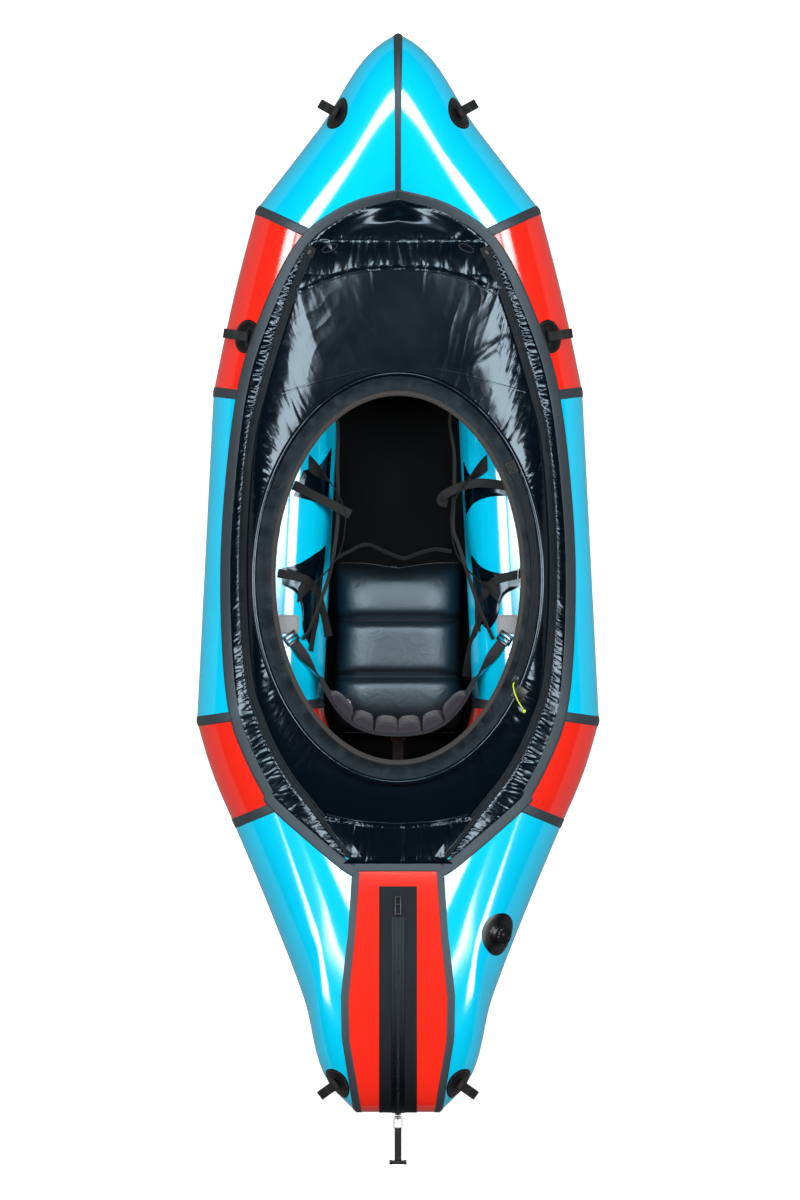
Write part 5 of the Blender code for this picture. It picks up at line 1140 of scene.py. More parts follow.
def deck_bow_panel():
    """The deck cloth ahead of the front welt."""
    front, _ = welt_lines()
    tape, zip_edge = tape_edge(EDGE_TAPE_WIDTH - END_LAP), deck_zip_line(0)
    ahead = tape[tape[:, 1] > zip_edge[0][1] + 0.002]
    side = np.concatenate([ahead[-1:], zip_edge[zip_edge[:, 1] > front[-1][1]], front[-1:]])
    edges = [resampled(across(line), END_COLUMNS) for line in (ahead, front)]
    sides = resampled(side, END_ROWS)
    plans = coons(*edges, sides, sides * np.array((-1, 1)))
    v = np.linspace(0, 1, END_ROWS)[:, None]
    x, y = plans[..., 0], plans[..., 1]
    share = (np.abs(x) / np.abs(x).max(axis=1, keepdims=True)) ** 4
    taut, lowest = DECK_TOP + lift(y), lowest_levels(plans, 0)
    laid = np.where(lowest < 0, taut, lowest)
    front_share = np.clip(1 - v * 2.6, 0, 1)
    front_share = front_share**2 * (3 - 2 * front_share)
    levels = np.maximum(taut * (1 - share) + laid * share, lowest)
    levels = levels * (1 - front_share) + (laid + BOW_CLOTH_RISE * np.clip(v * 12, 0, 1)) * front_share
    starts = (
        (v * BOW_CLOTH_LENGTH + 0 * x, 1),
        (np.clip(BOW_SEAM_Y - y, 0, None), y < BOW_SEAM_Y),
        (np.clip(y - BOW_SEAM_Y, 0, None), y > BOW_SEAM_Y),
        (np.clip(y - front[0][1] + 0.02, 0, None), 1),
        ((1 - v) * BOW_CLOTH_LENGTH + 0 * x, 1),
    )
    puffs = sum(gathers(x - x.min(), distances, *table) * where
                for (distances, where), table in zip(starts, BOW_GATHERS))
    puffs += folds(x, y, BOW_FOLDS)
    return deck_end_sheet("deck_bow_cloth", plans, levels, puffs, "deck_bow_panel")


def deck_stern_panel():
    """The deck cloth behind the rear welt."""
    _, rear = welt_lines()
    zip_edge = deck_zip_line(0)
    aft = zip_edge[zip_edge[:, 1] < rear[-1][1]]
    tape_y = tape_edge(EDGE_TAPE_WIDTH - END_LAP)[-1][1] - TUCK
    corner = (aft[-1][0] + 4 * TUCK, tape_y)
    side = np.concatenate([rear[-1:], aft, [corner]])
    edges = [resampled(across(line), END_COLUMNS) for line in (rear, np.array([(0, tape_y), corner]))]
    sides = resampled(side, END_ROWS // 2)
    plans = coons(*edges, sides, sides * np.array((-1, 1)))
    x = plans[..., 0]
    v = np.linspace(0, 1, END_ROWS // 2)[:, None]
    levels = np.maximum(taut_levels(edges[0])[None] * (1 - v) + lowest_levels(edges[1], 0)[None] * v,
                        lowest_levels(plans, 0))
    puffs = sum(gathers(x - x.min(), start * STERN_CLOTH_LENGTH + 0 * x, *table)
                for start, table in zip((1 - v, v), STERN_GATHERS))
    return deck_end_sheet("deck_stern_cloth", plans, levels, puffs, "deck_stern_panel")


def seams_on_deck(cloths):
    """The welts between the deck's panels, its sewn seams, and the ends of its zips."""
    corners, faces = [], []
    for cloth in cloths:
        start = len(corners)
        corners += [tuple(corner.co) for corner in cloth.data.vertices]
        faces += [[start + i for i in face.vertices] for face in cloth.data.polygons]
    tree = BVHTree.FromPolygons(corners, faces)
    front, rear = [resampled(across(line), WELT_STEPS) for line in welt_lines()]
    bands = {"front_welt": (front, WELT_WIDTH), "rear_welt": (rear, WELT_WIDTH)}
    for name, points in DECK_SEAMS.items():
        bands[name] = (resampled(smooth_line(points, 8), SEAM_STEPS), SEAM_WIDTH)
    for name, (line, width) in bands.items():
        woven(f"deck_{name}", band_walls(tree, line, width, SEAM_THICKNESS), "deck_black")
        inset = width / 2 - 0.0014 if width > SEAM_WIDTH else 0
        for number, way in enumerate((-1, 1) if inset else (0,)):
            stitched = band_walls(tree, line, 2 * inset * way or 0.001, SEAM_THICKNESS)[0][:, -2]
            sewn_row(f"deck_{name}_stitches_{number}", stitched, "welt", "thread_black")
    for side, way in (("right", 1), ("left", -1)):
        deck_zip_end(tree, side, way)


def deck_zip_end(tree, side, way):
    """The sewn fore end of a deck zip, with its slider and its pull loop."""
    ahead, end = [np.array(deck_zip_line(0)[i]) * (way, 1) for i in (6, 0)]
    heading = unit(end - ahead)
    tip = np.stack([end + heading * along for along in np.linspace(-0.014, 0.010, 9)])
    woven(f"deck_zip_end_{side}", band_walls(tree, tip, DECK_ZIP_WIDTH + 0.006, 0.0034), "webbing_black")
    turns = np.linspace(0, 2 * math.pi, 41)
    loop = end + np.array((-way * ZIP_LOOP_PLACE[0], ZIP_LOOP_PLACE[1])) + np.stack([
        ZIP_LOOP[0] * np.cos(turns), ZIP_LOOP[1] * np.sin(turns) - way * 0.006 * np.cos(turns)], axis=1)
    laid = np.array([on_cloth(tree, *spot)[0] + (0, 0, 0.0022) for spot in loop])
    dressed(cord_body(f"deck_zip_loop_{side}", laid, ZIP_LOOP_RADIUS), "webbing_grey")
    slider = rounded_block(f"deck_zip_slider_{side}", DECK_SLIDER, 0.0011)
    spot = on_cloth(tree, *(end - heading * 0.004))[0]
    turn = Matrix.Rotation(math.atan2(heading[1], heading[0]) - math.pi / 2, 4, "Z")
    placed(slider, Matrix.Translation(Vector(spot) + Vector((0, 0, 0.0048))) @ turn)
    dressed(slider, "plastic_black")


def on_cloth(tree, x, y):
    """The top of the cloth at a plan point, and its normal."""
    spot, normal, _, _ = tree.ray_cast(Vector((x, y, 1)), Vector((0, 0, -1)))
    if spot is None:
        spot, normal, _, _ = tree.find_nearest(Vector((x, y, DECK_TOP + lift(y))))
    return np.array(spot), np.array(normal if normal.z > 0 else -normal)


def band_walls(tree, line, width, thickness):
    """The two walls of a flat band laid on cloth along a plan line."""
    runs = np.gradient(line, axis=0)
    sides = unit_rows(np.stack([-runs[:, 1], runs[:, 0]], axis=1))
    walls = [[], []]
    for spot, side in zip(line, sides):
        found = [on_cloth(tree, *(spot + side * width / 2 * share)) for share, _ in TAPE_SECTION]
        walls[0].append([top + normal * thickness * high
                         for (top, normal), (_, high) in zip(found, TAPE_SECTION)])
        walls[1].append([top - normal * CLEARANCE for top, normal in found])
    return [np.array(wall) for wall in walls]


# Rows of stitches and teeth


def row_tree():
    """A node tree that sets one small rounded body after another along a line."""
    tree = bpy.data.node_groups.new("sewn_row", "GeometryNodeTree")
    sockets = (("Line", "Geometry"), ("Spacing", "Float"), ("Length", "Float"), ("Width", "Float"),
               ("Height", "Float"), ("Finish", "Material"))
    for label, kind in sockets:
        tree.interface.new_socket(name=label, in_out="INPUT", socket_type=f"NodeSocket{kind}")
    tree.interface.new_socket(name="Row", in_out="OUTPUT", socket_type="NodeSocketGeometry")
    entry, leave = tree.nodes.new("NodeGroupInput"), tree.nodes.new("NodeGroupOutput")
    given = entry.outputs
    curve = put(tree, "GeometryNodeMeshToCurve", {"Mesh": given["Line"]})
    spaced = put(tree, "GeometryNodeResampleCurve", {"Curve": curve.outputs[0], "Length": given["Spacing"]},
                 mode="LENGTH")
    grain = put(tree, "GeometryNodeMeshUVSphere", {"Segments": 6, "Rings": 4, "Radius": 0.5})
    size = put(tree, "ShaderNodeCombineXYZ", {0: given["Length"], 1: given["Width"], 2: given["Height"]})
    shaped = put(tree, "GeometryNodeTransform", {"Geometry": grain.outputs["Mesh"], "Scale": size.outputs[0]})
    tangent = put(tree, "GeometryNodeInputTangent")
    up = put(tree, "GeometryNodeInputNamedAttribute", {"Name": "up"}, data_type="FLOAT_VECTOR")
    turn = put(tree, "FunctionNodeAxesToRotation",
               {"Primary Axis": tangent.outputs[0], "Secondary Axis": up.outputs["Attribute"]},
               primary_axis="X", secondary_axis="Z")
    set_on = put(tree, "GeometryNodeInstanceOnPoints", {
        "Points": spaced.outputs[0], "Instance": shaped.outputs[0], "Rotation": turn.outputs[0]})
    solid = put(tree, "GeometryNodeRealizeInstances", {"Geometry": set_on.outputs[0]})
    finish = put(tree, "GeometryNodeSetMaterial", {"Geometry": solid.outputs[0], "Material": given["Finish"]})
    tree.links.new(finish.outputs[0], leave.inputs["Row"])
    return tree


def put(tree, kind, inputs=(), **settings):
    """A node with its settings, and with values or links in its inputs."""
    made = tree.nodes.new(kind)
    for setting, value in settings.items():
        setattr(made, setting, value)
    for label, value in dict(inputs).items():
        if isinstance(value, bpy.types.NodeSocket):
            tree.links.new(value, made.inputs[label])
        else:
            made.inputs[label].default_value = value
    return made


def sewn_row(name, line, grain, finish, ups=(0, 0, 1), body="hull"):
    """Stitches or teeth one after another along a line; ups are the surface normals under it."""
    tree = bpy.data.node_groups.get("sewn_row") or row_tree()
    line = np.array(line, float)
    mesh = bpy.data.meshes.new(f"{name}_line")
    mesh.from_pydata(line.tolist(), [(i, i + 1) for i in range(len(line) - 1)], [])
    up = mesh.attributes.new("up", "FLOAT_VECTOR", "POINT")
    up.data.foreach_set("vector", np.broadcast_to(ups, line.shape).astype(float).ravel())
    guide = linked(f"{name}_line", mesh)
    row = guide.modifiers.new("row", "NODES")
    row.node_group = tree
    values = dict(zip(("Spacing", "Length", "Width", "Height"), GRAINS[grain]), Finish=MATERIALS[finish])
    for item in tree.interface.items_tree:
        if item.in_out == "INPUT" and item.name in values:
            row[item.identifier] = values[item.name]
    graph = bpy.context.evaluated_depsgraph_get()
    made = bpy.data.meshes.new_from_object(guide.evaluated_get(graph))
    made.name = name
    bpy.data.objects.remove(guide)
    made.shade_smooth()
    piece = linked(name, made)
    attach(piece, body)
    return piece


# Coaming


def oval(inset, level):
    """A loop round the coaming, inset from its outer edge."""
    turns = turns_round(COAMING_STEPS)
    return np.stack([
        (COAMING_WIDTH / 2 - inset) * np.sin(turns),
        COAMING_Y + (COAMING_LENGTH / 2 - inset) * np.cos(turns),
        0 * turns + level,
    ], axis=1)


def swept_oval(name, section, ripple=None):
    """A closed ring round the coaming from (inset, level) points of its section."""
    rings = np.array([oval(inset, level) for inset, level in section])
    if ripple is not None:
        rings[..., 2] += ripple(rings)
    rows, columns = rings.shape[:2]
    around = lengths_along(rings[0])
    weave = np.stack([np.tile(around, rows), np.repeat([inset for inset, _ in section], columns)], axis=1)
    faces = grid_faces(rows, columns, closed_rows=True, closed_columns=True)
    return add_mesh(name, rings.reshape(-1, 3), faces, weave, sharp=60)


def round_section(inset, level, radius_in, radius_up, sides):
    """The (inset, level) points of an oval section."""
    turns = [2 * math.pi * i / sides for i in range(sides)]
    return [(inset + radius_in * math.cos(turn), level + radius_up * math.sin(turn)) for turn in turns]


def lip_zip_arc():
    """(centre x, radius, half angle) of the circle that the coaming's zip follows."""
    width, length = COAMING_WIDTH / 2 - LIP_ZIP_INSET, COAMING_LENGTH / 2 - LIP_ZIP_INSET
    half_span = LIP_ZIP_SPAN / 2
    sagitta = width * (1 - math.sqrt(1 - (half_span / length) ** 2))
    radius = (half_span**2 + sagitta**2) / (2 * sagitta)
    return width - radius, radius, math.asin(half_span / radius)


def coaming():
    """The rim, the band with its wall, the binding of the opening, and their stitches."""
    radius = RIM_DIAMETER / 2
    rim = swept_oval("coaming_piping", round_section(radius, LIP_TOP - radius, radius, radius, 16))
    dressed(rim, "deck_black", replaces=["coaming_rim_tube"])

    outer, middle = RIM_DIAMETER - 0.001, LIP_WIDTH - BINDING_WIDTH / 2
    top, under = LIP_TOP - 0.0004, LIP_TOP - 0.0024
    foot, wall = DECK_WALL_HEIGHT + DECK_THICKNESS, WALL_INSET + WALL_THICKNESS
    section = [(outer + (middle - outer) * share, top - 0.0016 * math.sin(math.pi * share))
               for share in np.linspace(0, 1, 12)]
    section += [(middle, under), (wall, under - 0.002), (wall, foot), (WALL_INSET, foot),
                (WALL_INSET, under - 0.002), (outer + 0.002, under - 0.0012),
                (outer + 0.001, LIP_TOP - 0.009), (outer, LIP_TOP - 0.009)]

    def ripple(rings):
        turns = np.linspace(0, 2 * math.pi, rings.shape[1], endpoint=False)
        random = np.random.default_rng(7)
        wave = sum(height * np.sin(count * turns + random.uniform(0, 6)) for count, height in LIP_WAVES)
        return np.where(rings[..., 2] > LIP_TOP - 0.004, wave[None] * 0.8, 0)

    band = swept_oval("coaming_band", section, ripple=ripple)
    dressed(band, "coaming_cloth", replaces=["coaming_lip"])

    level, flat = LIP_TOP - 0.001, LIP_TOP - 0.0006
    binding = swept_oval("coaming_edge_binding", round_section(middle, level, BINDING_WIDTH / 2, 0.003, 14))
    dressed(binding, "binding_grey", replaces=["coaming_binding"])
    rows = (
        ("binding_stitches", middle - 0.001, level + 0.0030, "binding", "thread_grey"),
        ("coaming_stitches_0", RIM_DIAMETER + 0.0035, flat, "coaming", "thread_black"),
        ("coaming_stitches_1", LIP_WIDTH - BINDING_WIDTH - 0.0035, flat, "coaming", "thread_black"),
    )
    for name, inset, height, grain, finish in rows:
        line = oval(inset, height)
        sewn_row(name, np.concatenate([line, line[:1]]), grain, finish)
    coaming_zip()


def arc_points(share, turns, level):
    """Points beside the coaming zip's middle, by a share of its half width."""
    centre_x, radius, _ = lip_zip_arc()
    arm = radius + share * LIP_ZIP_WIDTH / 2
    x, y = centre_x + arm * np.cos(turns), COAMING_Y + arm * np.sin(turns)
    return np.stack([x, y, 0 * turns + level], axis=1)


def coaming_zip():
    """The curved zip in the band, with the patches at its ends."""
    half_angle = lip_zip_arc()[2]
    turns = np.linspace(-half_angle, half_angle, 120)
    low = LIP_TOP + CLEARANCE
    walls = [np.stack([arc_points(share, turns, level + height * way) for share, height in LIP_ZIP_SECTION],
                      axis=1) for level, way in ((low, 1), (low - 0.0006, 0))]
    woven("coaming_zip_tape", walls, "zip_tape", replaces=["coaming_zip"])
    sewn_row("coaming_zip_teeth", arc_points(0, turns, low + 0.0020), "lip_zip_teeth", "zip_teeth")
    for number, share in enumerate((-0.74, 0.74)):
        line = arc_points(share, turns, low + 0.0013)
        sewn_row(f"coaming_zip_stitches_{number}", line, "lip_zip", "thread_black")
    start, end = half_angle - 0.006, half_angle + 0.040
    patch_turns = np.linspace(start, end, 8)
    upper = np.stack([arc_points(share, patch_turns, low + 0.0028) for share in np.linspace(-1.35, 1.35, 9)],
                     axis=1)
    woven("coaming_zip_end_patch", [upper, upper - np.array((0, 0, 0.0016))], "webbing_black")
    spots = [arc_points(share, np.array([start + (end - start) * along]), low + 0.0031)[0]
             for share, along in ((-1.1, 0.08), (1.1, 0.08), (1.1, 0.92), (-1.1, 0.92))]
    for number, order in enumerate(((0, 1, 2, 3, 0), (0, 2), (1, 3))):
        line = smooth_line([spots[i] for i in order], 1)
        sewn_row(f"zip_end_stitches_{number}", line, "zip_end", "thread_grey")
    zip_garage()


def zip_garage():
    """The stitched patch that the coaming zip's slider parks against."""
    turn = Matrix.Translation((*GARAGE_PLACE, LIP_TOP)) @ Matrix.Rotation(GARAGE_TURN, 4, "Z")
    patch = placed(rounded_block("coaming_zip_garage", (*GARAGE, 0.0010), 0.0004), turn)
    dressed(patch, "plastic_black")
    corners = [turn @ Vector((x * GARAGE[0] / 2, y * GARAGE[1] / 2, 0.0007))
               for x, y in ((-1, -1), (1, -1), (1, 1), (-1, 1), (-1, -1))]
    sewn_row("zip_garage_stitches", corners, "garage", "thread_grey")


def lip_slider_place():
    """The frame of the coaming zip's slider: Y runs along the zip, away from the pull cord."""
    centre_x, radius, half_angle = lip_zip_arc()
    turn = (LIP_SLIDER_SETBACK + LIP_SLIDER[1] / 2) / radius - half_angle
    level = LIP_TOP + CLEARANCE + LIP_ZIP_THICKNESS + CLEARANCE + LIP_SLIDER[2] / 2
    spot = Vector((centre_x + radius * math.cos(turn), COAMING_Y + radius * math.sin(turn), level))
    return Matrix.Translation(spot) @ Matrix.Rotation(turn, 4, "Z")


def coaming_slider():
    """The coaming zip's slider: a plate with a bridge over it."""
    width, length, height = LIP_SLIDER
    base = rounded_block("slider_base", (width, length, height * 0.5), height * 0.16)
    placed(base, Matrix.Translation((0, 0, -height * 0.25)))
    bridge_line = [(0, -length * 0.42, 0), (0, -length * 0.34, height * 0.38), (0, 0, height * 0.46),
                   (0, length * 0.30, height * 0.34), (0, length * 0.40, 0)]
    bridge = cord_body("slider_bridge", smooth_line(bridge_line, 6), height * 0.16, up=(1, 0, 0))
    slider = placed(joined("coaming_zip_runner", [base, bridge]), lip_slider_place())
    dressed(slider, "plastic_black", body="coaming_slider", replaces=["coaming_zip_slider"])


def pull_cord():
    """The bright cord on the coaming zip's slider, down over the rim to its knot."""
    matrix = lip_slider_place()
    end = LIP_SLIDER[1] / 2 + CLEARANCE
    lead = [tuple(matrix @ Vector((0, -reach, 0))) for reach in (end, end + PULL_CORD_LEAD)]
    route = np.array([*lead, *PULL_CORD_ROUTE])
    line = resampled(smooth_line(route, 8), 48)
    cord = cord_body("pull_cord_sheath", line, PULL_CORD_DIAMETER / 2, sides=12)
    dressed(cord, "cord_green", body="coaming_slider", replaces=["coaming_pull_cord"])
    last, before = route[-1], route[-2]
    centre = last + unit(last - before) * (PULL_CORD_KNOT_RADIUS + CLEARANCE)
    knot = turned("pull_cord_knot_tied", KNOT_PROFILE, sides=20, lobes=3, lobe_depth=0.16)
    placed(knot, Matrix.Translation(Vector(centre)) @ Matrix.Scale(PULL_CORD_KNOT_RADIUS, 4))
    dressed(knot, "cord_green", body="coaming_slider", replaces=["pull_cord_knot"])


# Stern fittings


def tail_point(turn, height):
    """A point over the stern panel's middle line, at a turn from its aftmost place."""
    turn = math.radians(turn)
    y = TAIL_Y - (TAIL_SEMI_LENGTH + height) * np.cos(turn)
    z = AXIS_HEIGHT + (TUBE_RADIUS + height) * np.sin(turn) + lift(y)
    return np.array((0, float(y), float(z)))


def tail_strip(name, half_width, turns, section, base, finish, replaces):
    """A strip down the stern panel, from (share across, height) points over a base height."""
    upper = [(share, base + height) for share, height in section]
    lower = [(share, base - 0.0004) for share, _ in section]
    walls = [np.array([[tail_point(turn, height) + (share * half_width, 0, 0) for share, height in points]
                       for turn in np.linspace(*turns, TAIL_STEPS)]) for points in (upper, lower)]
    woven(name, walls, finish, replaces=replaces)


def assembled(name, blocks, rounding):
    """A moulded piece from rounded blocks, each with its size and its place."""
    return joined(name, [placed(rounded_block("block", size, rounding), Matrix.Translation(place))
                         for size, place in blocks])


def cargo_zip():
    """The airtight zip down the stern: its flap, rails, teeth, stitches and end dock."""
    low = CARGO_LIFT
    high = low + 0.0010
    stack = high + 0.0030
    tail_strip("cargo_zip_flap", CARGO_BACKING_WIDTH / 2, CARGO_FLAP_TURNS, CARGO_FLAP_SECTION, low,
               "zip_tape", ["cargo_zip_backing"])
    tail_strip("cargo_zip_rails", CARGO_CHAIN_WIDTH / 2, CARGO_RAILS_TURNS, CARGO_RAILS_SECTION, high,
               "zip_rubber", ["cargo_zip_chain"])
    line = np.array([tail_point(turn, stack) for turn in np.linspace(*CARGO_RAILS_TURNS, 140)])
    ups = np.cross(np.gradient(line, axis=0), (1, 0, 0))
    ups *= np.sign(ups[:, 2].sum())
    sewn_row("cargo_zip_teeth", line, "cargo_zip_teeth", "zip_teeth", ups)
    for number, share in enumerate((-0.90, -0.44, 0.44, 0.90)):
        spots = line + np.array((share * CARGO_BACKING_WIDTH / 2, 0, 0)) - unit_rows(ups) * 0.0028
        sewn_row(f"cargo_zip_stitches_{number}", spots, "cargo_zip", "thread_black", ups)

    start, end = CARGO_DOCK_TURNS
    near, tip, far = [tail_point(turn, stack) for turn in (start, (start + end) / 2, end)]
    length = np.linalg.norm(far - near)
    along, side = unit(near - far), np.array((1, 0, 0))
    turn = Matrix((side, along, np.cross(side, along))).transposed().to_4x4()
    blocks = [((0.0040, length, 0.006), (shift * 0.0060, 0, 0)) for shift in (-1, 1)]
    blocks += [((0.016, 0.0042, 0.0055), (0, place * length, 0)) for place in (0.42, -0.42, -0.05)]
    dock = placed(assembled("cargo_zip_end_dock", blocks, 0.0012), Matrix.Translation(Vector(tip)) @ turn)
    dressed(dock, "plastic_black", replaces=["cargo_zip_dock"])
    cargo_slider()
    cargo_puller()


def cargo_slider():
    """The cargo zip's slider, with the bail that its puller hangs from."""
    low, high = [np.array(corner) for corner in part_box("cargo_zip_slider")]
    depth, level = 0.007, (low[2] + high[2]) / 2
    centre_y, bar_y = high[1] - depth / 2, high[1] - depth - 0.0023
    body = rounded_block("slider_body", (0.016, depth, 0.024), 0.0020)
    placed(body, Matrix.Translation((0, centre_y, level)))
    loop = []
    for i in range(17):
        turn = math.pi * (i / 16 - 0.5) + math.pi
        loop.append((0, bar_y + 0.0038 * math.cos(turn), level + 0.0042 * math.sin(turn)))
    loop = [(0, centre_y, loop[0][2]), *loop, (0, centre_y, loop[-1][2])]
    ring = cord_body("slider_loop", np.array(loop), 0.0014, up=(1, 0, 0))
    dressed(joined("cargo_zip_runner", [body, ring]), "metal_grey", replaces=["cargo_zip_slider"])


def cargo_puller():
    """The cargo zip's puller: a link, two straps with their stitches, and a toggle."""
    low, high = [np.array(corner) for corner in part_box("cargo_zip_puller")]
    level = (low[2] + high[2]) / 2
    radius = PULLER_BAR_DIAMETER / 2
    link_end = high[1] - radius * 2 - PULLER_LINK_LENGTH + radius
    half = PULLER_STRAP_WIDTH / 2 + 0.0002
    bar_y = high[1] - radius
    corners = np.array([(-half, bar_y), (half, bar_y), (half, link_end), (-half, link_end)])
    outline = []
    for i in range(4):
        a, b, c = corners[i - 1], corners[i], corners[(i + 1) % 4]
        for share in (0.0, 0.5, 1.0):
            start, stop = b + unit(a - b) * 0.003, b + unit(c - b) * 0.003
            bend = (1 - share) ** 2 * start + 2 * share * (1 - share) * b + share**2 * stop
            outline.append((*bend, level))
    outline = np.array([*outline, outline[0], outline[1]])
    link = cord_body("puller_link", outline, radius * 0.9)
    link.data.materials.append(MATERIALS["metal_grey"])
    strap_end = low[1] + PULLER_TOGGLE_DIAMETER / 2
    places = (link_end + 0.001, (link_end + strap_end) / 2, strap_end)
    for number, shift in enumerate((-1, 1)):
        line = np.array([(0, y, level + shift * apart) for y, apart in zip(places, (0.0004, 0.0008, 0.0012))])
        half = (PULLER_STRAP_WIDTH / 2 - 0.001, 0, 0)
        strap = webbing(f"cargo_pull_strap_{number}", resampled(line, 40), half, 0.0011)
        dressed(strap, "webbing_black", body="cargo_puller")
    profile = [(radius * PULLER_TOGGLE_DIAMETER, z * PULLER_TOGGLE_LENGTH) for radius, z in TOGGLE_PROFILE]
    toggle = turned("puller_bar", profile, sides=28)
    placed(toggle, Matrix.Translation((0, strap_end, level)) @ Matrix.Rotation(math.pi / 2, 4, "Y"))
    toggle.data.materials.append(MATERIALS["plastic_black"])
    pull = joined("cargo_zip_pull", [link, toggle])
    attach(pull, "cargo_puller")
    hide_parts("cargo_zip_puller")
    for number, y in enumerate((link_end - 0.006, link_end - 0.010, strap_end + 0.010)):
        line = [(x, y, level + 0.0019) for x in (-0.007, 0.007)]
        sewn_row(f"puller_stitches_{number}", line, "puller", "thread_grey", body="cargo_puller")


def facing(up, along):
    """A turn whose Z is up and whose Y is along."""
    return Matrix((along.cross(up), along, up)).transposed().to_4x4()


def level_across(up):
    """The level direction square to a normal."""
    return Vector((0, 0, 1)).cross(up).normalized()


def seat_matrix(x, y, height):
    """A frame on the hull's surface: Z is its normal, and X runs downhill and outboard."""
    spot, normal = drape(x, y, height)
    up = Vector(normal)
    return Matrix.Translation(Vector(spot)) @ facing(up, level_across(up))


def joint_named(name):
    """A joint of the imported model: its place and its axis."""
    joint = next(joint for joint in frame["joints"] if joint["name"] == name)
    return Vector(joint["pos_m"]), Vector(joint["axis"]).normalized()


def beside(share):
    """A plan point, from its share of the hull's half width there and of the half length."""
    y = ORIGIN_Y + share[1] * HALF_LENGTH
    outline = skin[::-1, 0]
    return share[0] * np.interp(y, outline[:, 1], outline[:, 0]), y


def skin_under(matrix, x, y):
    """The hull's skin and its normal below a place in a frame that sits on it."""
    down = matrix.to_3x3() @ Vector((0, 0, -1))
    spot, normal, _, _ = hull_tree.ray_cast(matrix @ Vector((x, y, PROBE_START)), down, PROBE_REACH)
    if spot is None:
        spot, normal, _, _ = hull_tree.find_nearest(matrix @ Vector((x, y, 0)))
    return spot, -normal if normal.dot(down) > 0 else normal


def skin_disc(name, matrix, radius):
    """A round piece laid on the hull about a place, with a thinner rim."""
    turns = [2 * math.pi * j / DISC_SIDES for j in range(DISC_SIDES)]
    upper, lower = [], []
    for i in range(DISC_RINGS + 1):
        share, rim = i / DISC_RINGS, DISC_RIM if i == DISC_RINGS else 1
        found = [skin_under(matrix, radius * share * math.cos(turn), radius * share * math.sin(turn))
                 for turn in turns]
        upper.append([spot + normal * (DISC_LIFT + DISC_THICKNESS * rim) for spot, normal in found])
        lower.append([spot + normal * DISC_LIFT * 0.4 for spot, normal in found])
    return disc_from(name, np.array(upper), np.array(lower))


def disc_from(name, upper, lower):
    """A disc from two stacks of rings, whose first rings are points."""
    rings, sides = upper.shape[:2]
    corners = [upper[0, 0], lower[0, 0], *upper[1:].reshape(-1, 3), *lower[1:].reshape(-1, 3)]
    count = (rings - 1) * sides
    faces = []
    for j in range(sides):
        k = (j + 1) % sides
        faces += [(0, 2 + j, 2 + k), (1, 2 + count + k, 2 + count + j)]
        last = 2 + (rings - 2) * sides
        faces.append((last + j, count + last + j, count + last + k, last + k))
    quads = grid_faces(rings - 1, sides, closed_columns=True) + 2
    faces += [tuple(face) for face in quads] + [tuple(face[::-1]) for face in quads + count]
    return add_mesh(name, corners, faces, sharp=60)


def valve():
    """The valve's base on its flange, its button, its cap and its leash."""
    seat_place = seat_matrix(*beside(VALVE_SHARES), 0.0005).translation
    place, up = joint_named("valve_cap_twist")
    matrix = Matrix.Translation(place + up * (seat_place - place).dot(up)) @ facing(up, level_across(up))
    flange = skin_disc("valve_flange", matrix, VALVE_FLANGE_DIAMETER / 2)
    collar = placed(turned("valve_collar", COLLAR_PROFILE, sides=72), matrix)
    dressed(joined("valve_body", [flange, collar]), "plastic_black", replaces=["valve_base"])
    button = [(radius, BUTTON_LEVEL + level) for radius, level in BUTTON_PROFILE]
    stem = placed(turned("valve_button", button, sides=32), matrix)
    dressed(stem, "plastic_black", body="valve_stem", replaces=["valve_stem"])
    knob = [(radius, CAP_LEVEL + level, *lobed) for radius, level, *lobed in CAP_PROFILE]
    cap = placed(turned("valve_cap_knob", knob, sides=128, lobes=16, lobe_depth=0.0016), matrix)
    dressed(cap, "plastic_black", body="valve_cap", replaces=["valve_cap"])
    reach, level, half_arc, radius = LEASH
    ring = [matrix @ Vector((reach * math.cos(turn), reach * math.sin(turn), level))
            for turn in np.linspace(-half_arc, half_arc, 40)]
    leash = cord_body("valve_leash", np.array(ring), radius, up=tuple(matrix.to_3x3() @ Vector((0, 0, 1))))
    dressed(leash, "plastic_black")


def grab_frame(spot, side, way):
    """The frame of a grab loop on the hull, with its pin on its joint's axis."""
    x, y = beside(GRAB_SHARES[spot])
    matrix = seat_matrix(way * x, y, 0.0005)
    place, along = joint_named(f"grab_loop_{spot}_{side}_fold")
    along *= math.copysign(1, along.dot(matrix.col[1].to_3d()))
    up = matrix.col[2].to_3d()
    turn = facing((up - along * up.dot(along)).normalized(), along)
    return Matrix.Translation(place - turn.to_3x3() @ Vector(GRAB_HINGE)) @ turn


def grab_loops():
    """Six webbing loops, each under its keeper on a round stitched patch."""
    reach = PATCH_DIAMETER / 2 - 0.005
    for spot in GRAB_SHARES:
        for side, way in (("right", 1), ("left", -1)):
            place, matrix = f"{spot}_{side}", grab_frame(spot, side, way)
            patch = skin_disc(f"grab_disc_{place}", matrix, PATCH_DIAMETER / 2)
            dressed(patch, "patch_black", replaces=[f"grab_patch_{place}"])
            found = [skin_under(matrix, reach * math.cos(turn), reach * math.sin(turn))
                     for turn in np.linspace(0, 2 * math.pi, 73)]
            line, ups = [hit + normal * 0.0016 for hit, normal in found], [normal for _, normal in found]
            sewn_row(f"grab_disc_stitches_{place}", line, "grab_disc", "thread_grey", ups)
            grab_keeper(place, matrix)
            grab_loop(place, matrix)


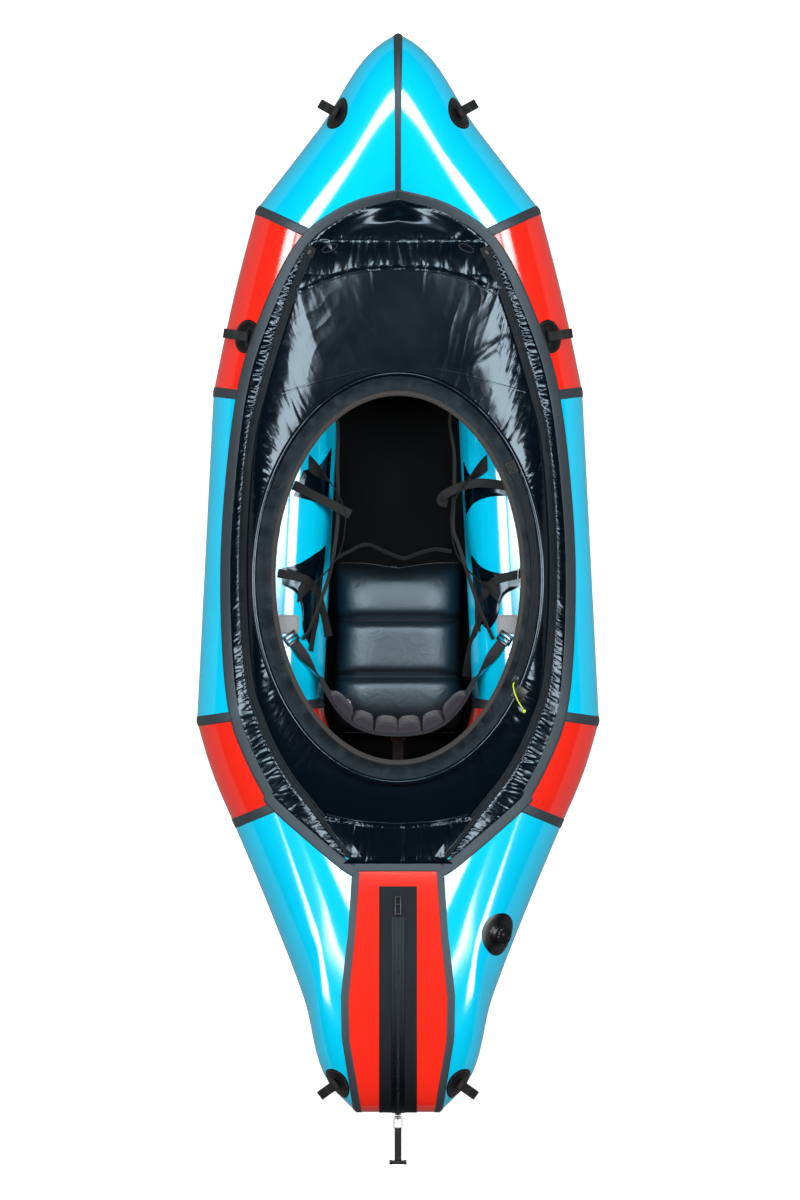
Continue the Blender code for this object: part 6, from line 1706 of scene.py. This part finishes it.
def grab_keeper(place, matrix):
    """The webbing over the foot of a grab loop, down to its patch on both sides."""
    half = LOOP_WIDTH / 2 + 0.0018
    turns = [math.pi * i / 12 for i in range(1, 12)]
    arch = [(0, -half * math.cos(turn) ** 3, 0.0115 * math.sin(turn) ** 0.4) for turn in turns]
    keeper = [(0, -half - 0.010, 0.0006), (0, -half - 0.004, 0.0008), *arch, (0, half + 0.004, 0.0008),
              (0, half + 0.010, 0.0006)]
    turn = matrix.to_3x3()
    shift = turn @ Vector((-LOOP_REACH_BACK, 0, 0.0006))
    line = np.array([matrix @ Vector(point) + shift for point in keeper])
    strap = webbing(f"grab_keeper_{place}", line, np.array(turn @ Vector((0.0030, 0, 0))), 0.0014)
    dressed(strap, "webbing_black")


def grab_loop(place, matrix):
    """A stitched webbing loop on its hinge."""
    body = f"grab_loop_{place}"
    radius = LOOP_HEIGHT / 2
    centres = []
    for start, offset in ((math.pi / 2, 0), (-math.pi / 2, LOOP_LENGTH - LOOP_HEIGHT)):
        for i in range(15):
            turn = start + math.pi * i / 14
            centres.append((offset + radius * math.cos(turn), 0, radius * math.sin(turn)))
    centres.append(centres[0])
    matrix = matrix @ Matrix.Translation(GRAB_HINGE) @ Matrix.Rotation(-LOOP_LEAN, 4, "Y")
    turn = matrix.to_3x3()
    line = resampled(np.array([matrix @ Vector(centre) for centre in centres]), 90)
    wide = np.array(turn @ Vector((0, LOOP_WIDTH / 2 - 0.0005, 0)))
    loop = webbing(f"grab_loop_webbing_{place}", line, wide, LOOP_WEBBING)
    dressed(loop, "webbing_black", body=body, replaces=[body])
    up = tuple(turn @ Vector((0, 0, 1)))
    for number, along in enumerate((0.016, 0.020, 0.024)):
        ends = [matrix @ Vector((along, share * (LOOP_WIDTH / 2 - 0.002), radius + 0.0011))
                for share in (-1, 1)]
        sewn_row(f"grab_loop_stitches_{place}_{number}", ends, "grab_loop", "thread_grey", up, body)


# Cockpit


def seat_rings():
    """Rings of the inflated seat: crowned, with channels across it and sides drawn in."""
    front = ORIGIN_Y + SEAT_FRONT_SHARE * HALF_LENGTH
    base = SEAT_HEIGHT * SEAT_BASE_SHARE
    rings = []
    for i in range(SEAT_STATIONS):
        share = i / (SEAT_STATIONS - 1)
        along = (1 - math.cos(math.pi * share)) / 2
        y = front - SEAT_LENGTH * along
        end = max(1 - abs(2 * along - 1) ** 6, 0.02)
        dip = sum(math.exp(-abs((along - seam / 3) * SEAT_LENGTH / 0.009) ** 1.3) for seam in (1, 2))
        crown = (SEAT_HEIGHT - base - 0.022 * dip) * end**0.5
        half = SEAT_WIDTH / 2 - 0.010 * math.sin(math.pi * along) ** 2 - 0.012 * (1 - end) - 0.004 * dip
        ring = []
        for j in range(SEAT_SIDES):
            turn = 2 * math.pi * j / SEAT_SIDES
            c, s = math.cos(turn), math.sin(turn)
            x = half * math.copysign(abs(c) ** 0.55, c)
            notch = 0.012 * math.exp(-(x / 0.05) ** 2) * max(0, 1 - along * 9)
            z = crown * abs(s) ** 0.75 if s > 0 else -base * abs(s) ** 0.45
            ring.append((x, y - notch, FLOOR_THICKNESS + CLEARANCE * 2 + base + z))
        rings.append(ring)
    return np.array(rings)


def seat():
    """The inflated cushion with its cross seams, and the strap in front of it."""
    rings = seat_rings()
    cushion = add_mesh("seat_cushion_film", rings.reshape(-1, 3), tube_faces(*rings.shape[:2]))
    dressed(cushion, "seat_film", replaces=["seat_cushion"])
    front = ORIGIN_Y + SEAT_FRONT_SHARE * HALF_LENGTH
    for seam in (1, 2):
        y = front - SEAT_LENGTH * seam / 3
        row = np.abs(rings[:, 0, 1] - y).argmin()
        top = rings[row, 6:43:2] + np.array((0, 0, 0.0006))
        welt = cord_body(f"seat_seam_{seam}", resampled(top, 60), 0.0009, sides=8, up=(0, 1, 0.2))
        dressed(welt, "thread_black")
    level = FLOOR_THICKNESS + CLEARANCE + 0.0125 + 0.030 + 0.040
    spots = [(x * SEAT_WIDTH, front + 0.006 + y * SEAT_LENGTH, level) for x, y in FRONT_STRAP_SHARES]
    lean = np.array((0, 0.35, 1)) / np.linalg.norm((0.35, 1)) * 0.0125
    strap = webbing("seat_front_webbing", smooth_line(spots, 10), lean, 0.002)
    dressed(strap, "webbing_grey", replaces=["seat_front_strap"])


def buckle_place(side):
    """The frame of one ladder-lock buckle: Y runs along its strap."""
    x, y = plan(BUCKLE_SHARES)
    spot, normal = drape(x, y)
    spot = np.array((x, y, spot[2] + BUCKLE_HOVER / max(normal[2], LEAST_SLOPE)))
    turn = Matrix.Rotation(-BUCKLE_TURN, 4, "Z")
    slope = Matrix.Rotation(-math.atan2(-normal[0], normal[2]), 4, "Y")
    matrix = Matrix.Translation(Vector(spot)) @ slope @ turn
    if side == "left":
        flip = Matrix.Scale(-1, 4, (1, 0, 0))
        matrix = flip @ matrix @ flip
    return matrix


def belt_curve(share):
    """The backband's centre line in plan and its level, from the middle (0) to an end (1)."""
    x = BELT_SPAN / 2 * share
    y = BELT_DEPTH * (0.35 * share**2 + 0.65 * share**4) - BELT_REAR
    level = BELT_MIDDLE_HEIGHT + (BELT_END_HEIGHT - BELT_MIDDLE_HEIGHT) * share**2
    return np.array((x, y, level))


def belt_path():
    """Centres and half widths of the belt and its side straps, from the left buckle to the right one."""
    upright = np.array((0, -BELT_LEAN / BELT_HEIGHT, 1))
    right = []
    for i in range(BELT_STEPS + 1):
        share = i / BELT_STEPS
        half = (BELT_HEIGHT + (BELT_WAIST - BELT_HEIGHT) * share**3) / 2
        right.append((belt_curve(share), upright * half))
    end = right[-1][0]
    matrix = buckle_place("right")
    slot = np.array(matrix @ Vector((0, -BUCKLE[1] / 2 - CLEARANCE * 2, 0)))
    flat = np.array(matrix.to_3x3() @ Vector((-1, 0, 0)))
    for share in np.linspace(0.08, 1, 14):
        centre = end + (slot - end) * share + np.array((0, 0, SIDE_STRAP_RISE * math.sin(math.pi * share)))
        half = upright * (1 - share) + flat * share
        width = SIDE_STRAP_WIDTH / 2 + (BELT_WAIST - SIDE_STRAP_WIDTH) / 2 * max(0, 1 - share * 6)
        right.append((centre, half * width / np.linalg.norm(half)))
    path = [(mirrored(centre), mirrored(half)) for centre, half in right[:0:-1]] + right
    return [np.array(column) for column in zip(*path)], len(right) - 1


def backband():
    """The belt with its pads, pipings and buckles, and the strap behind it."""
    (centres, halves), middle = belt_path()
    belt = webbing("backband_webbing", centres, halves, BELT_THICKNESS)
    dressed(belt, "webbing_grey", body="backband", replaces=["backband_belt"])
    normals = unit_rows(np.cross(halves, np.gradient(centres, axis=0)))
    rows = centres, halves, math.copysign(1, normals[middle][1]) * normals
    pads = [backband_pad(rows, middle, side, number, *span)
            for side in (-1, 1) for number, span in enumerate(PAD_SPANS)]
    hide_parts("backband_pads")
    span = slice(middle - BELT_STEPS, middle + BELT_STEPS + 1)
    for edge, name in ((1, "top"), (-1, "bottom")):
        trim = cord_body(f"backband_piping_{name}", centres[span] + halves[span] * edge, 0.0024, sides=8)
        dressed(trim, "webbing_grey", body="backband")
    for side in ("right", "left"):
        buckle(side)
    rear_strap()


def backband_pad(rows, middle, side, number, start, stop):
    """A pad on the belt between two shares of its half length; rows are centres, halves and normals."""
    walls = [[], []]
    for along in np.linspace(0, 1, 22):
        index = middle + side * (start + (stop - start) * along) * BELT_STEPS
        low = int(math.floor(index))
        part = index - low
        centre, half, normal = [a[low] * (1 - part) + a[low + 1] * part for a in rows]
        reach = half * (1 - 0.010 / np.linalg.norm(half))
        fill_along = max(1 - abs(2 * along - 1) ** 3.2, 0.0) ** 0.5
        pinch = 1 - 0.05 * (1 - fill_along)
        out, back = [], []
        for up in np.linspace(-1, 1, 19):
            fill_up = max(1 - abs(up) ** 3.0, 0.0) ** 0.5
            back.append(centre + reach * up * pinch + normal * (BELT_THICKNESS / 2 + CLEARANCE * 2))
            out.append(back[-1] + normal * (0.003 + (PAD_THICKNESS - 0.003) * fill_along * fill_up))
        walls[0].append(out)
        walls[1].append(back)
    pad = slab(f"backband_pad_{'left' if side < 0 else 'right'}_{number}", *map(np.array, walls))
    dressed(pad, "pad_cloth", body="backband")
    return pad


def rear_strap():
    """The strap from the belt to the stern with its ladder lock, which lies along the strap's slope."""
    start = belt_curve(0) - np.array((0, BELT_THICKNESS / 2 + CLEARANCE * 2, 0))
    end = np.array((0, TAIL_Y + TAIL_SEMI_LENGTH + CLEARANCE, AXIS_HEIGHT))
    flat = end + np.array((0, REAR_STRAP_FLAT, 0))
    line = [start + (flat - start) * share - np.array((0, 0, REAR_STRAP_SAG * math.sin(math.pi * share)))
            for share in np.linspace(0, 1, 24)]
    line = resampled(smooth_line([*line, end], 2), 60)
    strap = webbing("backband_rear_webbing", line, (REAR_STRAP_WIDTH / 2, 0, 0), REAR_STRAP_THICKNESS)
    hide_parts("backband_rear_strap")
    slope = math.atan2(line[17][2] - line[13][2], line[17][1] - line[13][1])
    blocks = [((0.004, 0.019, 0.004), (way * 0.0145, 0, 0)) for way in (-1, 1)]
    blocks += [((0.030, 0.0042, 0.0036), (0, way * 0.0075, 0)) for way in (-1, 0, 1)]
    lock = assembled("backband_rear_lock", blocks, 0.0012)
    spot = Vector(line[15]) + Vector((0, 0, 0.0028))
    placed(lock, Matrix.Translation(spot) @ Matrix.Rotation(slope, 4, "X"))
    for piece, finish in ((strap, "webbing_black"), (lock, "plastic_black")):
        piece.data.materials.append(MATERIALS[finish])
        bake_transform(piece)


def buckle(side):
    """A ladder lock: two side rails and three bars, with its lip turned up."""
    width, length, thickness = BUCKLE
    bars = ((length / 2 - 0.0025, 0.005, 0), (0, 0.0045, 0.0004), (-length / 2 + 0.0028, 0.0055, 0.0008))
    blocks = [((0.0042, length, thickness), (shift * (width / 2 - 0.0021), 0, 0)) for shift in (-1, 1)]
    blocks += [((width - 0.002, deep, thickness * 0.9), (0, place, rise)) for place, deep, rise in bars]
    made = placed(assembled(f"backband_ladder_lock_{side}", blocks, 0.0013), buckle_place(side))
    dressed(made, "buckle_grey", body="backband", replaces=[f"backband_buckle_{side}"])


def rounded_loop(x, y, half_width, half_length, count):
    """A closed plan line round a rectangle with very round corners."""
    turns = np.linspace(0, 2 * math.pi, count)
    c, s = [np.array([way(turn) for turn in turns]) for way in (math.cos, math.sin)]
    return np.stack([x + half_width * np.copysign(np.abs(c) ** 0.4, c),
                     y + half_length * np.copysign(np.abs(s) ** 0.4, s)], axis=1)


def anchors():
    """The tabs on the tubes that the buckles hang from."""
    x, y = plan(ANCHOR_SHARES)
    width, length = ANCHOR
    steps = np.linspace(-1, 1, 17)
    plans = np.stack(np.meshgrid(steps, steps, indexing="ij"), axis=-1)
    corner = (np.abs(plans[..., 0]) ** 6 + np.abs(plans[..., 1]) ** 6)[..., None] ** (1 / 6)
    square = np.abs(plans).max(axis=-1, keepdims=True)
    rounded = plans * np.where(corner > 0, square / np.maximum(corner, 1e-6), 1)
    spots = np.array((x, y)) + rounded * np.array((width / 2, length / 2))
    thick = 0.0017 * np.clip((1 - square[..., 0]) * 12, 0.25, 1)
    ring = rounded_loop(x, y, 0.42 * width, 0.42 * length, 60)
    for side, turn in SIDES:
        walls = draped_walls(spots, 0.0003 + thick, 0.0002, turn)
        woven(f"anchor_patch_{side}", walls, "anchor_grey", replaces=[f"strap_anchor_{side}"])
        sewn_row(f"anchor_stitches_{side}", turn(draped(ring, 0.0022)), "anchor", "thread_black")


def thigh_straps():
    """A webbing strap a side, from the tube ahead of the seat to its anchor tab."""
    half = THIGH_STRAP_WIDTH / 2
    ends = []
    for share in THIGH_STRAP_END_SHARES:
        spot, normal = drape(*plan(share), CLEARANCE * 2 + THIGH_STRAP_THICKNESS / 2)
        ends.append((spot, unit(np.cross(normal, (0, 0, 1))) * half))
    hang = [(*plan(point), point[2] * TUBE_DIAMETER) for point in THIGH_STRAP_SHARES]
    line = smooth_line([ends[0][0], *hang, ends[1][0]], 10)
    halves = smooth_line([ends[0][1], *[(0, 0, half)] * len(hang), ends[1][1]], 10)
    halves = halves * half / np.linalg.norm(halves, axis=1, keepdims=True)
    for side, turn in SIDES:
        strap = webbing(f"thigh_webbing_{side}", turn(line), turn(halves), THIGH_STRAP_THICKNESS)
        dressed(strap, "webbing_black", replaces=[f"thigh_strap_{side}"])


def tube_cloths():
    """Black cloth sewn over the tubes, where the straps leave them."""
    shares = np.linspace(0, 1, 28)[None, :, None]
    rows, columns = np.arange(40)[:, None], np.arange(28)[None]
    rim = np.minimum(np.minimum(rows, 39 - rows), np.minimum(columns, 27 - columns))
    for name, lines in TUBE_CLOTHS.items():
        upper, lower = [resampled(smooth_line(line, 8), 40) for line in lines]
        plans = upper[:, None] * (1 - shares) + lower[:, None] * shares
        swell = 0.0016 * np.clip(rim / 6, 0.2, 1) + folds(plans[..., 0], plans[..., 1], CLOTH_FOLDS)
        woven(f"tube_cloth_{name}", draped_walls(plans, 0.0012 + swell, 0.0004), "deck_black")


def cockpit_straps():
    """The straps' loose ends and leads round the seat, and the ring that one runs through."""
    for name, (width, route) in COCKPIT_STRAPS.items():
        spots, normals = [], []
        for x, y, level in route:
            found = drape(x, y, STRAP_HOVER) if level is None else ((x, y, level), (0, 0, 1))
            spots.append(found[0])
            normals.append(found[1])
        line, ups = resampled(smooth_line(spots, 10), 90), resampled(smooth_line(normals, 10), 90)
        for i, (x, y, z) in enumerate(line):
            found = drape(x, y, STRAP_HOVER)
            if found and found[1][2] > 0.5:
                line[i][2] = max(z, found[0][2])
        halves = np.cross(np.gradient(line, axis=0), ups)
        halves *= width / 2 / np.linalg.norm(halves, axis=1, keepdims=True)
        dressed(webbing(f"cockpit_{name}", line, halves, STRAP_THICKNESS), "webbing_black")
    ring = rounded_loop(*RING_PLACE, 0.008, 0.016, 41)
    dressed(cord_body("hip_strap_ring", draped(ring, 0.0065), 0.0014), "metal_grey")


def seat_valve():
    """The seat's own small valve, on top of its cushion."""
    rings = seat_rings().reshape(-1, 3)
    near = rings[np.linalg.norm(rings[:, :2] - SEAT_VALVE_PLACE, axis=1).argsort()[:6]]
    top = near[:, 2].max()
    disc = turned("seat_valve", SEAT_VALVE_PROFILE, sides=40)
    dressed(placed(disc, Matrix.Translation((*SEAT_VALVE_PLACE, top + 0.001))), "plastic_black")
    rim = [(*SEAT_VALVE_PLACE, top + 0.0036) + np.array((0.0135 * math.cos(turn), 0.0135 * math.sin(turn), 0))
           for turn in np.linspace(0, 2 * math.pi, 41)]
    dressed(cord_body("seat_valve_rim", np.array(rim), 0.0012, sides=8), "metal_grey")


# Finishes


def effect(name, inputs, outputs):
    """A shader node group, with its entry and exit nodes."""
    group = bpy.data.node_groups.new(name, "ShaderNodeTree")
    for label, kind, value in inputs:
        socket = group.interface.new_socket(name=label, in_out="INPUT", socket_type=f"NodeSocket{kind}")
        if value is not None:
            socket.default_value = value
    for label, kind in outputs:
        group.interface.new_socket(name=label, in_out="OUTPUT", socket_type=f"NodeSocket{kind}")
    return group, group.nodes.new("NodeGroupInput").outputs, group.nodes.new("NodeGroupOutput")


def maths(tree, operation, first, second=0.0, third=0.0):
    """The result of a sum on one, two or three values."""
    made = put(tree, "ShaderNodeMath", {0: first, 1: second, 2: third}, operation=operation)
    return made.outputs[0]


def cloud(tree, place, scale, detail=2.0, **more):
    """The value of a noise texture."""
    made = put(tree, "ShaderNodeTexNoise", {"Vector": place, "Scale": scale, "Detail": detail, **more})
    return made.outputs["Fac"]


def crease_effect():
    """Soft crumpling of film or cloth: broad dents with sharper creases between them."""
    group, given, leave = effect(
        "creases", (("Place", "Vector", None), ("Size", "Float", 0.05), ("Sharpness", "Float", 2.0)),
        (("Height", "Float"),))
    scale = maths(group, "DIVIDE", 1.0, given["Size"])
    broad = cloud(group, given["Place"], scale, 3.0, Roughness=0.5, Distortion=0.6)
    doubled = maths(group, "MULTIPLY_ADD", broad, 2.0, -1.0)
    ridge = maths(group, "SUBTRACT", 1.0, maths(group, "ABSOLUTE", doubled))
    sharp = maths(group, "POWER", ridge, given["Sharpness"])
    fine = cloud(group, given["Place"], maths(group, "MULTIPLY", scale, 3.1), Distortion=0.4)
    group.links.new(maths(group, "MULTIPLY_ADD", fine, 0.35, sharp), leave.inputs["Height"])
    return group


def weave_effect():
    """Threads over and under each other, from a weave map in metres."""
    group, given, leave = effect(
        "weave", (("Place", "Vector", None), ("Thread", "Float", 0.001), ("Rib", "Float", 0.35)),
        (("Height", "Float"), ("Tone", "Float")))
    parts = put(group, "ShaderNodeSeparateXYZ", {0: given["Place"]})
    pitch = maths(group, "DIVIDE", math.pi, given["Thread"])
    along = maths(group, "SINE", maths(group, "MULTIPLY", parts.outputs["X"], pitch))
    over = maths(group, "SINE", maths(group, "MULTIPLY", parts.outputs["Y"], pitch))
    plain = maths(group, "MULTIPLY", along, over)
    ribbed = maths(group, "MULTIPLY_ADD", maths(group, "ABSOLUTE", over), given["Rib"], plain)
    height = maths(group, "MULTIPLY_ADD", ribbed, 0.5, 0.5)
    group.links.new(height, leave.inputs["Height"])
    # The tone is lighter on the threads' tops and darker in the hollows between them, which is painted shade,
    # plus a random blotch
    blotch = maths(group, "MULTIPLY", cloud(group, given["Place"], 160.0), 0.5)
    group.links.new(maths(group, "MULTIPLY_ADD", height, 0.5, blotch), leave.inputs["Tone"])
    return group


def wear_effect():
    """Uneven handling marks: a slow change of tone."""
    group, given, leave = effect(
        "wear", (("Place", "Vector", None), ("Size", "Float", 0.2)), (("Tone", "Float"),))
    slow = cloud(group, given["Place"], maths(group, "DIVIDE", 1.0, given["Size"]), 4.0, Roughness=0.6)
    tone = put(group, "ShaderNodeMapRange", {"Value": slow, "From Min": 0.3, "From Max": 0.7})
    group.links.new(tone.outputs[0], leave.inputs["Tone"])
    return group


def make_finish(name, colour, roughness, shade=0.8, metallic=0.0, specular=0.5, coat=0.0, coat_roughness=0.1,
                coat_ior=1.5, ior=1.5, tint=(1, 1, 1), sheen=0.0, creases=(), weave=None,
                grain=None, rough_range=0.08):
    """A material whose tone, roughness and relief vary over its surface.

    creases are (size, depth) pairs in metres, weave is (thread, depth) on the weave map, and grain is
    (size, depth).
    """
    made = bpy.data.materials.new(name)
    made.use_nodes = True
    tree = made.node_tree
    shader = tree.nodes["Principled BSDF"]
    place = put(tree, "ShaderNodeTexCoord")
    place, weave_map = place.outputs["Object"], place.outputs["UV"]
    wear = put(tree, "ShaderNodeGroup", node_tree=EFFECTS["wear"])
    tree.links.new(place, wear.inputs["Place"])
    tone = wear.outputs["Tone"]
    dark = tuple(part * shade for part in colour)
    mixed = put(tree, "ShaderNodeMix", {0: tone, 6: (*dark, 1), 7: (*colour, 1)}, data_type="RGBA")
    base = mixed.outputs[2]
    height = None
    bumps = []
    if weave:
        woven = put(tree, "ShaderNodeGroup", node_tree=EFFECTS["weave"])
        woven.inputs["Thread"].default_value = weave[0]
        tree.links.new(weave_map, woven.inputs["Place"])
        bumps.append((woven.outputs["Height"], weave[1]))
        # Raised threads take a lighter colour and the hollows between them the darker one: painted shade in
        # the weave, mixed by the weave's tone
        lit_thread_colour = tuple(min(part * 1.7 + 0.004, 1) for part in colour)
        weave_shading = put(tree, "ShaderNodeMix", {0: woven.outputs["Tone"], 6: (*dark, 1), 7: (*lit_thread_colour, 1)},
                      data_type="RGBA")
        base = weave_shading.outputs[2]
    tree.links.new(base, shader.inputs["Base Color"])
    rough = put(tree, "ShaderNodeMapRange",
                {"Value": tone, "To Min": roughness, "To Max": roughness + rough_range})
    tree.links.new(rough.outputs[0], shader.inputs["Roughness"])
    for size, depth in creases:
        crumpled = put(tree, "ShaderNodeGroup", node_tree=EFFECTS["creases"])
        crumpled.inputs["Size"].default_value = size
        tree.links.new(place, crumpled.inputs["Place"])
        bumps.append((crumpled.outputs["Height"], depth))
    if grain:
        bumps.append((cloud(tree, place, 1 / grain[0]), grain[1]))
    for source, depth in bumps:
        bump = put(tree, "ShaderNodeBump", {"Height": source, "Distance": depth, "Strength": 1.0})
        if height is not None:
            tree.links.new(height, bump.inputs["Normal"])
        height = bump.outputs[0]
    if height is not None:
        tree.links.new(height, shader.inputs["Normal"])
    values = {
        "Metallic": metallic, "Specular IOR Level": specular, "Coat Weight": coat,
        "Coat Roughness": coat_roughness, "Coat IOR": coat_ior, "IOR": ior, "Specular Tint": (*tint, 1),
        "Sheen Weight": sheen, "Sheen Roughness": 0.5,
    }
    for label, value in values.items():
        shader.inputs[label].default_value = value
    return made


def dressed(piece, finish, body="hull", replaces=()):
    """A piece with its finish, riding on its body, in place of the plain nodes it stands for."""
    piece.data.materials.clear()
    piece.data.materials.append(MATERIALS[finish])
    for face in piece.data.polygons:
        face.material_index = 0
    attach(piece, body)
    if replaces:
        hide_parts(*replaces)
    return piece


# Studio


def studio():
    """The white floor, the even light round it, the lamps and the camera."""
    corners = [(-8, -8, 0), (8, -8, 0), (8, 8, 0), (-8, 8, 0)]
    floor = add_mesh("studio_floor", corners, [(0, 1, 2, 3)])
    white = bpy.data.materials.new("studio_white")
    white.use_nodes = True
    tree = white.node_tree
    tree.nodes.clear()
    path = put(tree, "ShaderNodeLightPath")
    mirrors = maths(tree, "MAXIMUM", path.outputs["Is Glossy Ray"], path.outputs["Is Transmission Ray"])
    glow = maths(tree, "MAXIMUM", maths(tree, "MULTIPLY", path.outputs["Is Camera Ray"], FLOOR_GLOW),
                 maths(tree, "MULTIPLY", mirrors, FLOOR_IN_GLOSS))
    matt = put(tree, "ShaderNodeBsdfDiffuse", {"Color": (0.6, 0.6, 0.6, 1)})
    light = put(tree, "ShaderNodeEmission", {"Color": (1, 1, 1, 1), "Strength": glow})
    dark = put(tree, "ShaderNodeBsdfDiffuse", {"Color": (0.0, 0.0, 0.0, 1)})
    seen = put(tree, "ShaderNodeMixShader", {0: mirrors, 1: matt.outputs[0], 2: dark.outputs[0]})
    both = put(tree, "ShaderNodeAddShader", {0: seen.outputs[0], 1: light.outputs[0]})
    put(tree, "ShaderNodeOutputMaterial", {"Surface": both.outputs[0]})
    floor.data.materials.append(white)

    world = bpy.data.worlds.new("studio")
    bpy.context.scene.world = world
    world.use_nodes = True
    tree = world.node_tree
    back = tree.nodes["Background"]
    back.inputs["Color"].default_value = (1, 1, 1, 1)
    path = put(tree, "ShaderNodeLightPath")
    level = put(tree, "ShaderNodeMapRange",
                {"Value": path.outputs["Is Camera Ray"], "To Min": WORLD_LEVEL, "To Max": 1.0})
    tree.links.new(level.outputs[0], back.inputs["Strength"])

    for number, (near, far, aft, fore) in enumerate(LAMPS):
        for side in (-1, 1):
            data = bpy.data.lights.new(f"lamp_{number}", "AREA")
            data.shape = "RECTANGLE"
            data.size = far - near
            data.size_y = fore - aft
            data.energy = LAMP_RADIANCE * math.pi * data.size * data.size_y
            lamp = linked(f"lamp_{number}", data)
            lamp.location = (side * (near + far) / 2, (aft + fore) / 2, LAMP_HEIGHT)
            lamp.visible_camera = False

    data = bpy.data.cameras.new("overhead")
    data.sensor_width = SENSOR
    data.lens = SENSOR * (CAMERA_HEIGHT - AXIS_HEIGHT) / (IMAGE_HEIGHT * METRES_PER_PIXEL)
    data.clip_end = CAMERA_HEIGHT * 3
    camera = linked("overhead", data)
    camera.location = ((IMAGE_WIDTH / 2 - CENTRE_LINE_PIXEL) * METRES_PER_PIXEL,
                       (ORIGIN_PIXEL - IMAGE_HEIGHT / 2) * METRES_PER_PIXEL, CAMERA_HEIGHT)
    bpy.context.scene.camera = camera
    bpy.context.scene.view_settings.view_transform = "Standard"


COOL_TINT = (0.66, 0.86, 1.0)
EFFECTS = {"creases": crease_effect(), "weave": weave_effect(), "wear": wear_effect()}
FINISHES = {
    "hull_blue": dict(colour=(0.0, 0.66, 1.0), shade=0.94, roughness=0.38, specular=0.0, coat=1.0,
                      coat_roughness=0.10, coat_ior=1.9, creases=((0.30, 0.0010),), grain=(0.0012, 0.00002)),
    "hull_red": dict(colour=(1.0, 0.026, 0.012), shade=0.94, roughness=0.38, specular=0.0, coat=1.0,
                     coat_roughness=0.11, coat_ior=1.85, creases=((0.30, 0.0010),), grain=(0.0012, 0.00002)),
    "floor_black": dict(colour=(0.001, 0.0015, 0.002), roughness=0.6, specular=0.06, grain=(0.002, 0.0001)),
    "tape_grey": dict(colour=(0.026, 0.034, 0.040), roughness=0.42, weave=(0.0011, 0.00008), specular=0.5,
                      tint=COOL_TINT),
    "deck_black": dict(colour=(0.0015, 0.004, 0.008), roughness=0.13, ior=1.55, tint=COOL_TINT,
                       rough_range=0.05, creases=((0.24, 0.0014), (0.05, 0.00012)), grain=(0.0009, 0.00001)),
    "coaming_cloth": dict(colour=(0.0018, 0.004, 0.007), roughness=0.36, specular=0.2, ior=1.5,
                          tint=COOL_TINT, creases=((0.09, 0.0010), (0.02, 0.00012)), grain=(0.0008, 0.00004)),
    "binding_grey": dict(colour=(0.032, 0.030, 0.028), roughness=0.85, specular=0.3, weave=(0.0014, 0.00025),
                         sheen=0.08),
    "zip_tape": dict(colour=(0.0028, 0.0034, 0.004), roughness=0.55, specular=0.25, weave=(0.0009, 0.0001),
                     tint=COOL_TINT),
    "zip_teeth": dict(colour=(0.008, 0.009, 0.010), roughness=0.25, ior=1.6, tint=COOL_TINT),
    "zip_rubber": dict(colour=(0.002, 0.0024, 0.003), roughness=0.36, specular=0.35, tint=COOL_TINT),
    "thread_grey": dict(colour=(0.12, 0.12, 0.12), roughness=0.7),
    "thread_black": dict(colour=(0.010, 0.011, 0.013), roughness=0.6),
    "webbing_black": dict(colour=(0.006, 0.0066, 0.0072), roughness=0.66, specular=0.3,
                          weave=(0.0017, 0.00035), sheen=0.03),
    "webbing_grey": dict(colour=(0.014, 0.016, 0.019), roughness=0.70, specular=0.35,
                         weave=(0.0017, 0.00035), sheen=0.05),
    "plastic_black": dict(colour=(0.004, 0.004, 0.005), roughness=0.28, grain=(0.0010, 0.00005)),
    "patch_black": dict(colour=(0.004, 0.004, 0.005), roughness=0.34, creases=((0.03, 0.0004),),
                        grain=(0.001, 0.00005)),
    "buckle_grey": dict(colour=(0.006, 0.006, 0.007), roughness=0.22, coat=0.5),
    "metal_grey": dict(colour=(0.55, 0.55, 0.57), roughness=0.28, metallic=1.0, grain=(0.0012, 0.00003)),
    "cord_green": dict(colour=(0.52, 0.95, 0.02), roughness=0.6, weave=(0.0008, 0.00025)),
    "seat_film": dict(colour=(0.005, 0.009, 0.013), roughness=0.36, ior=1.9, tint=COOL_TINT,
                      creases=((0.05, 0.0004), (0.014, 0.0001)), grain=(0.0010, 0.00004)),
    "pad_cloth": dict(colour=(0.026, 0.021, 0.031), roughness=0.85, sheen=0.2, creases=((0.02, 0.0012),),
                      grain=(0.0014, 0.0003)),
    "anchor_grey": dict(colour=(0.24, 0.26, 0.27), roughness=0.5, weave=(0.0012, 0.0002)),
}
MATERIALS = {name: make_finish(name, **values) for name, values in FINISHES.items()}

hull_panels()
floor_sheet()
seam_tapes()
deck_borders()
deck_zips()
main_cloth = deck_main_panel()
seams_on_deck([main_cloth, deck_bow_panel(), deck_stern_panel()])
coaming()
coaming_slider()
pull_cord()
cargo_zip()
valve()
grab_loops()
seat()
backband()
anchors()
thigh_straps()
tube_cloths()
cockpit_straps()
seat_valve()
studio()
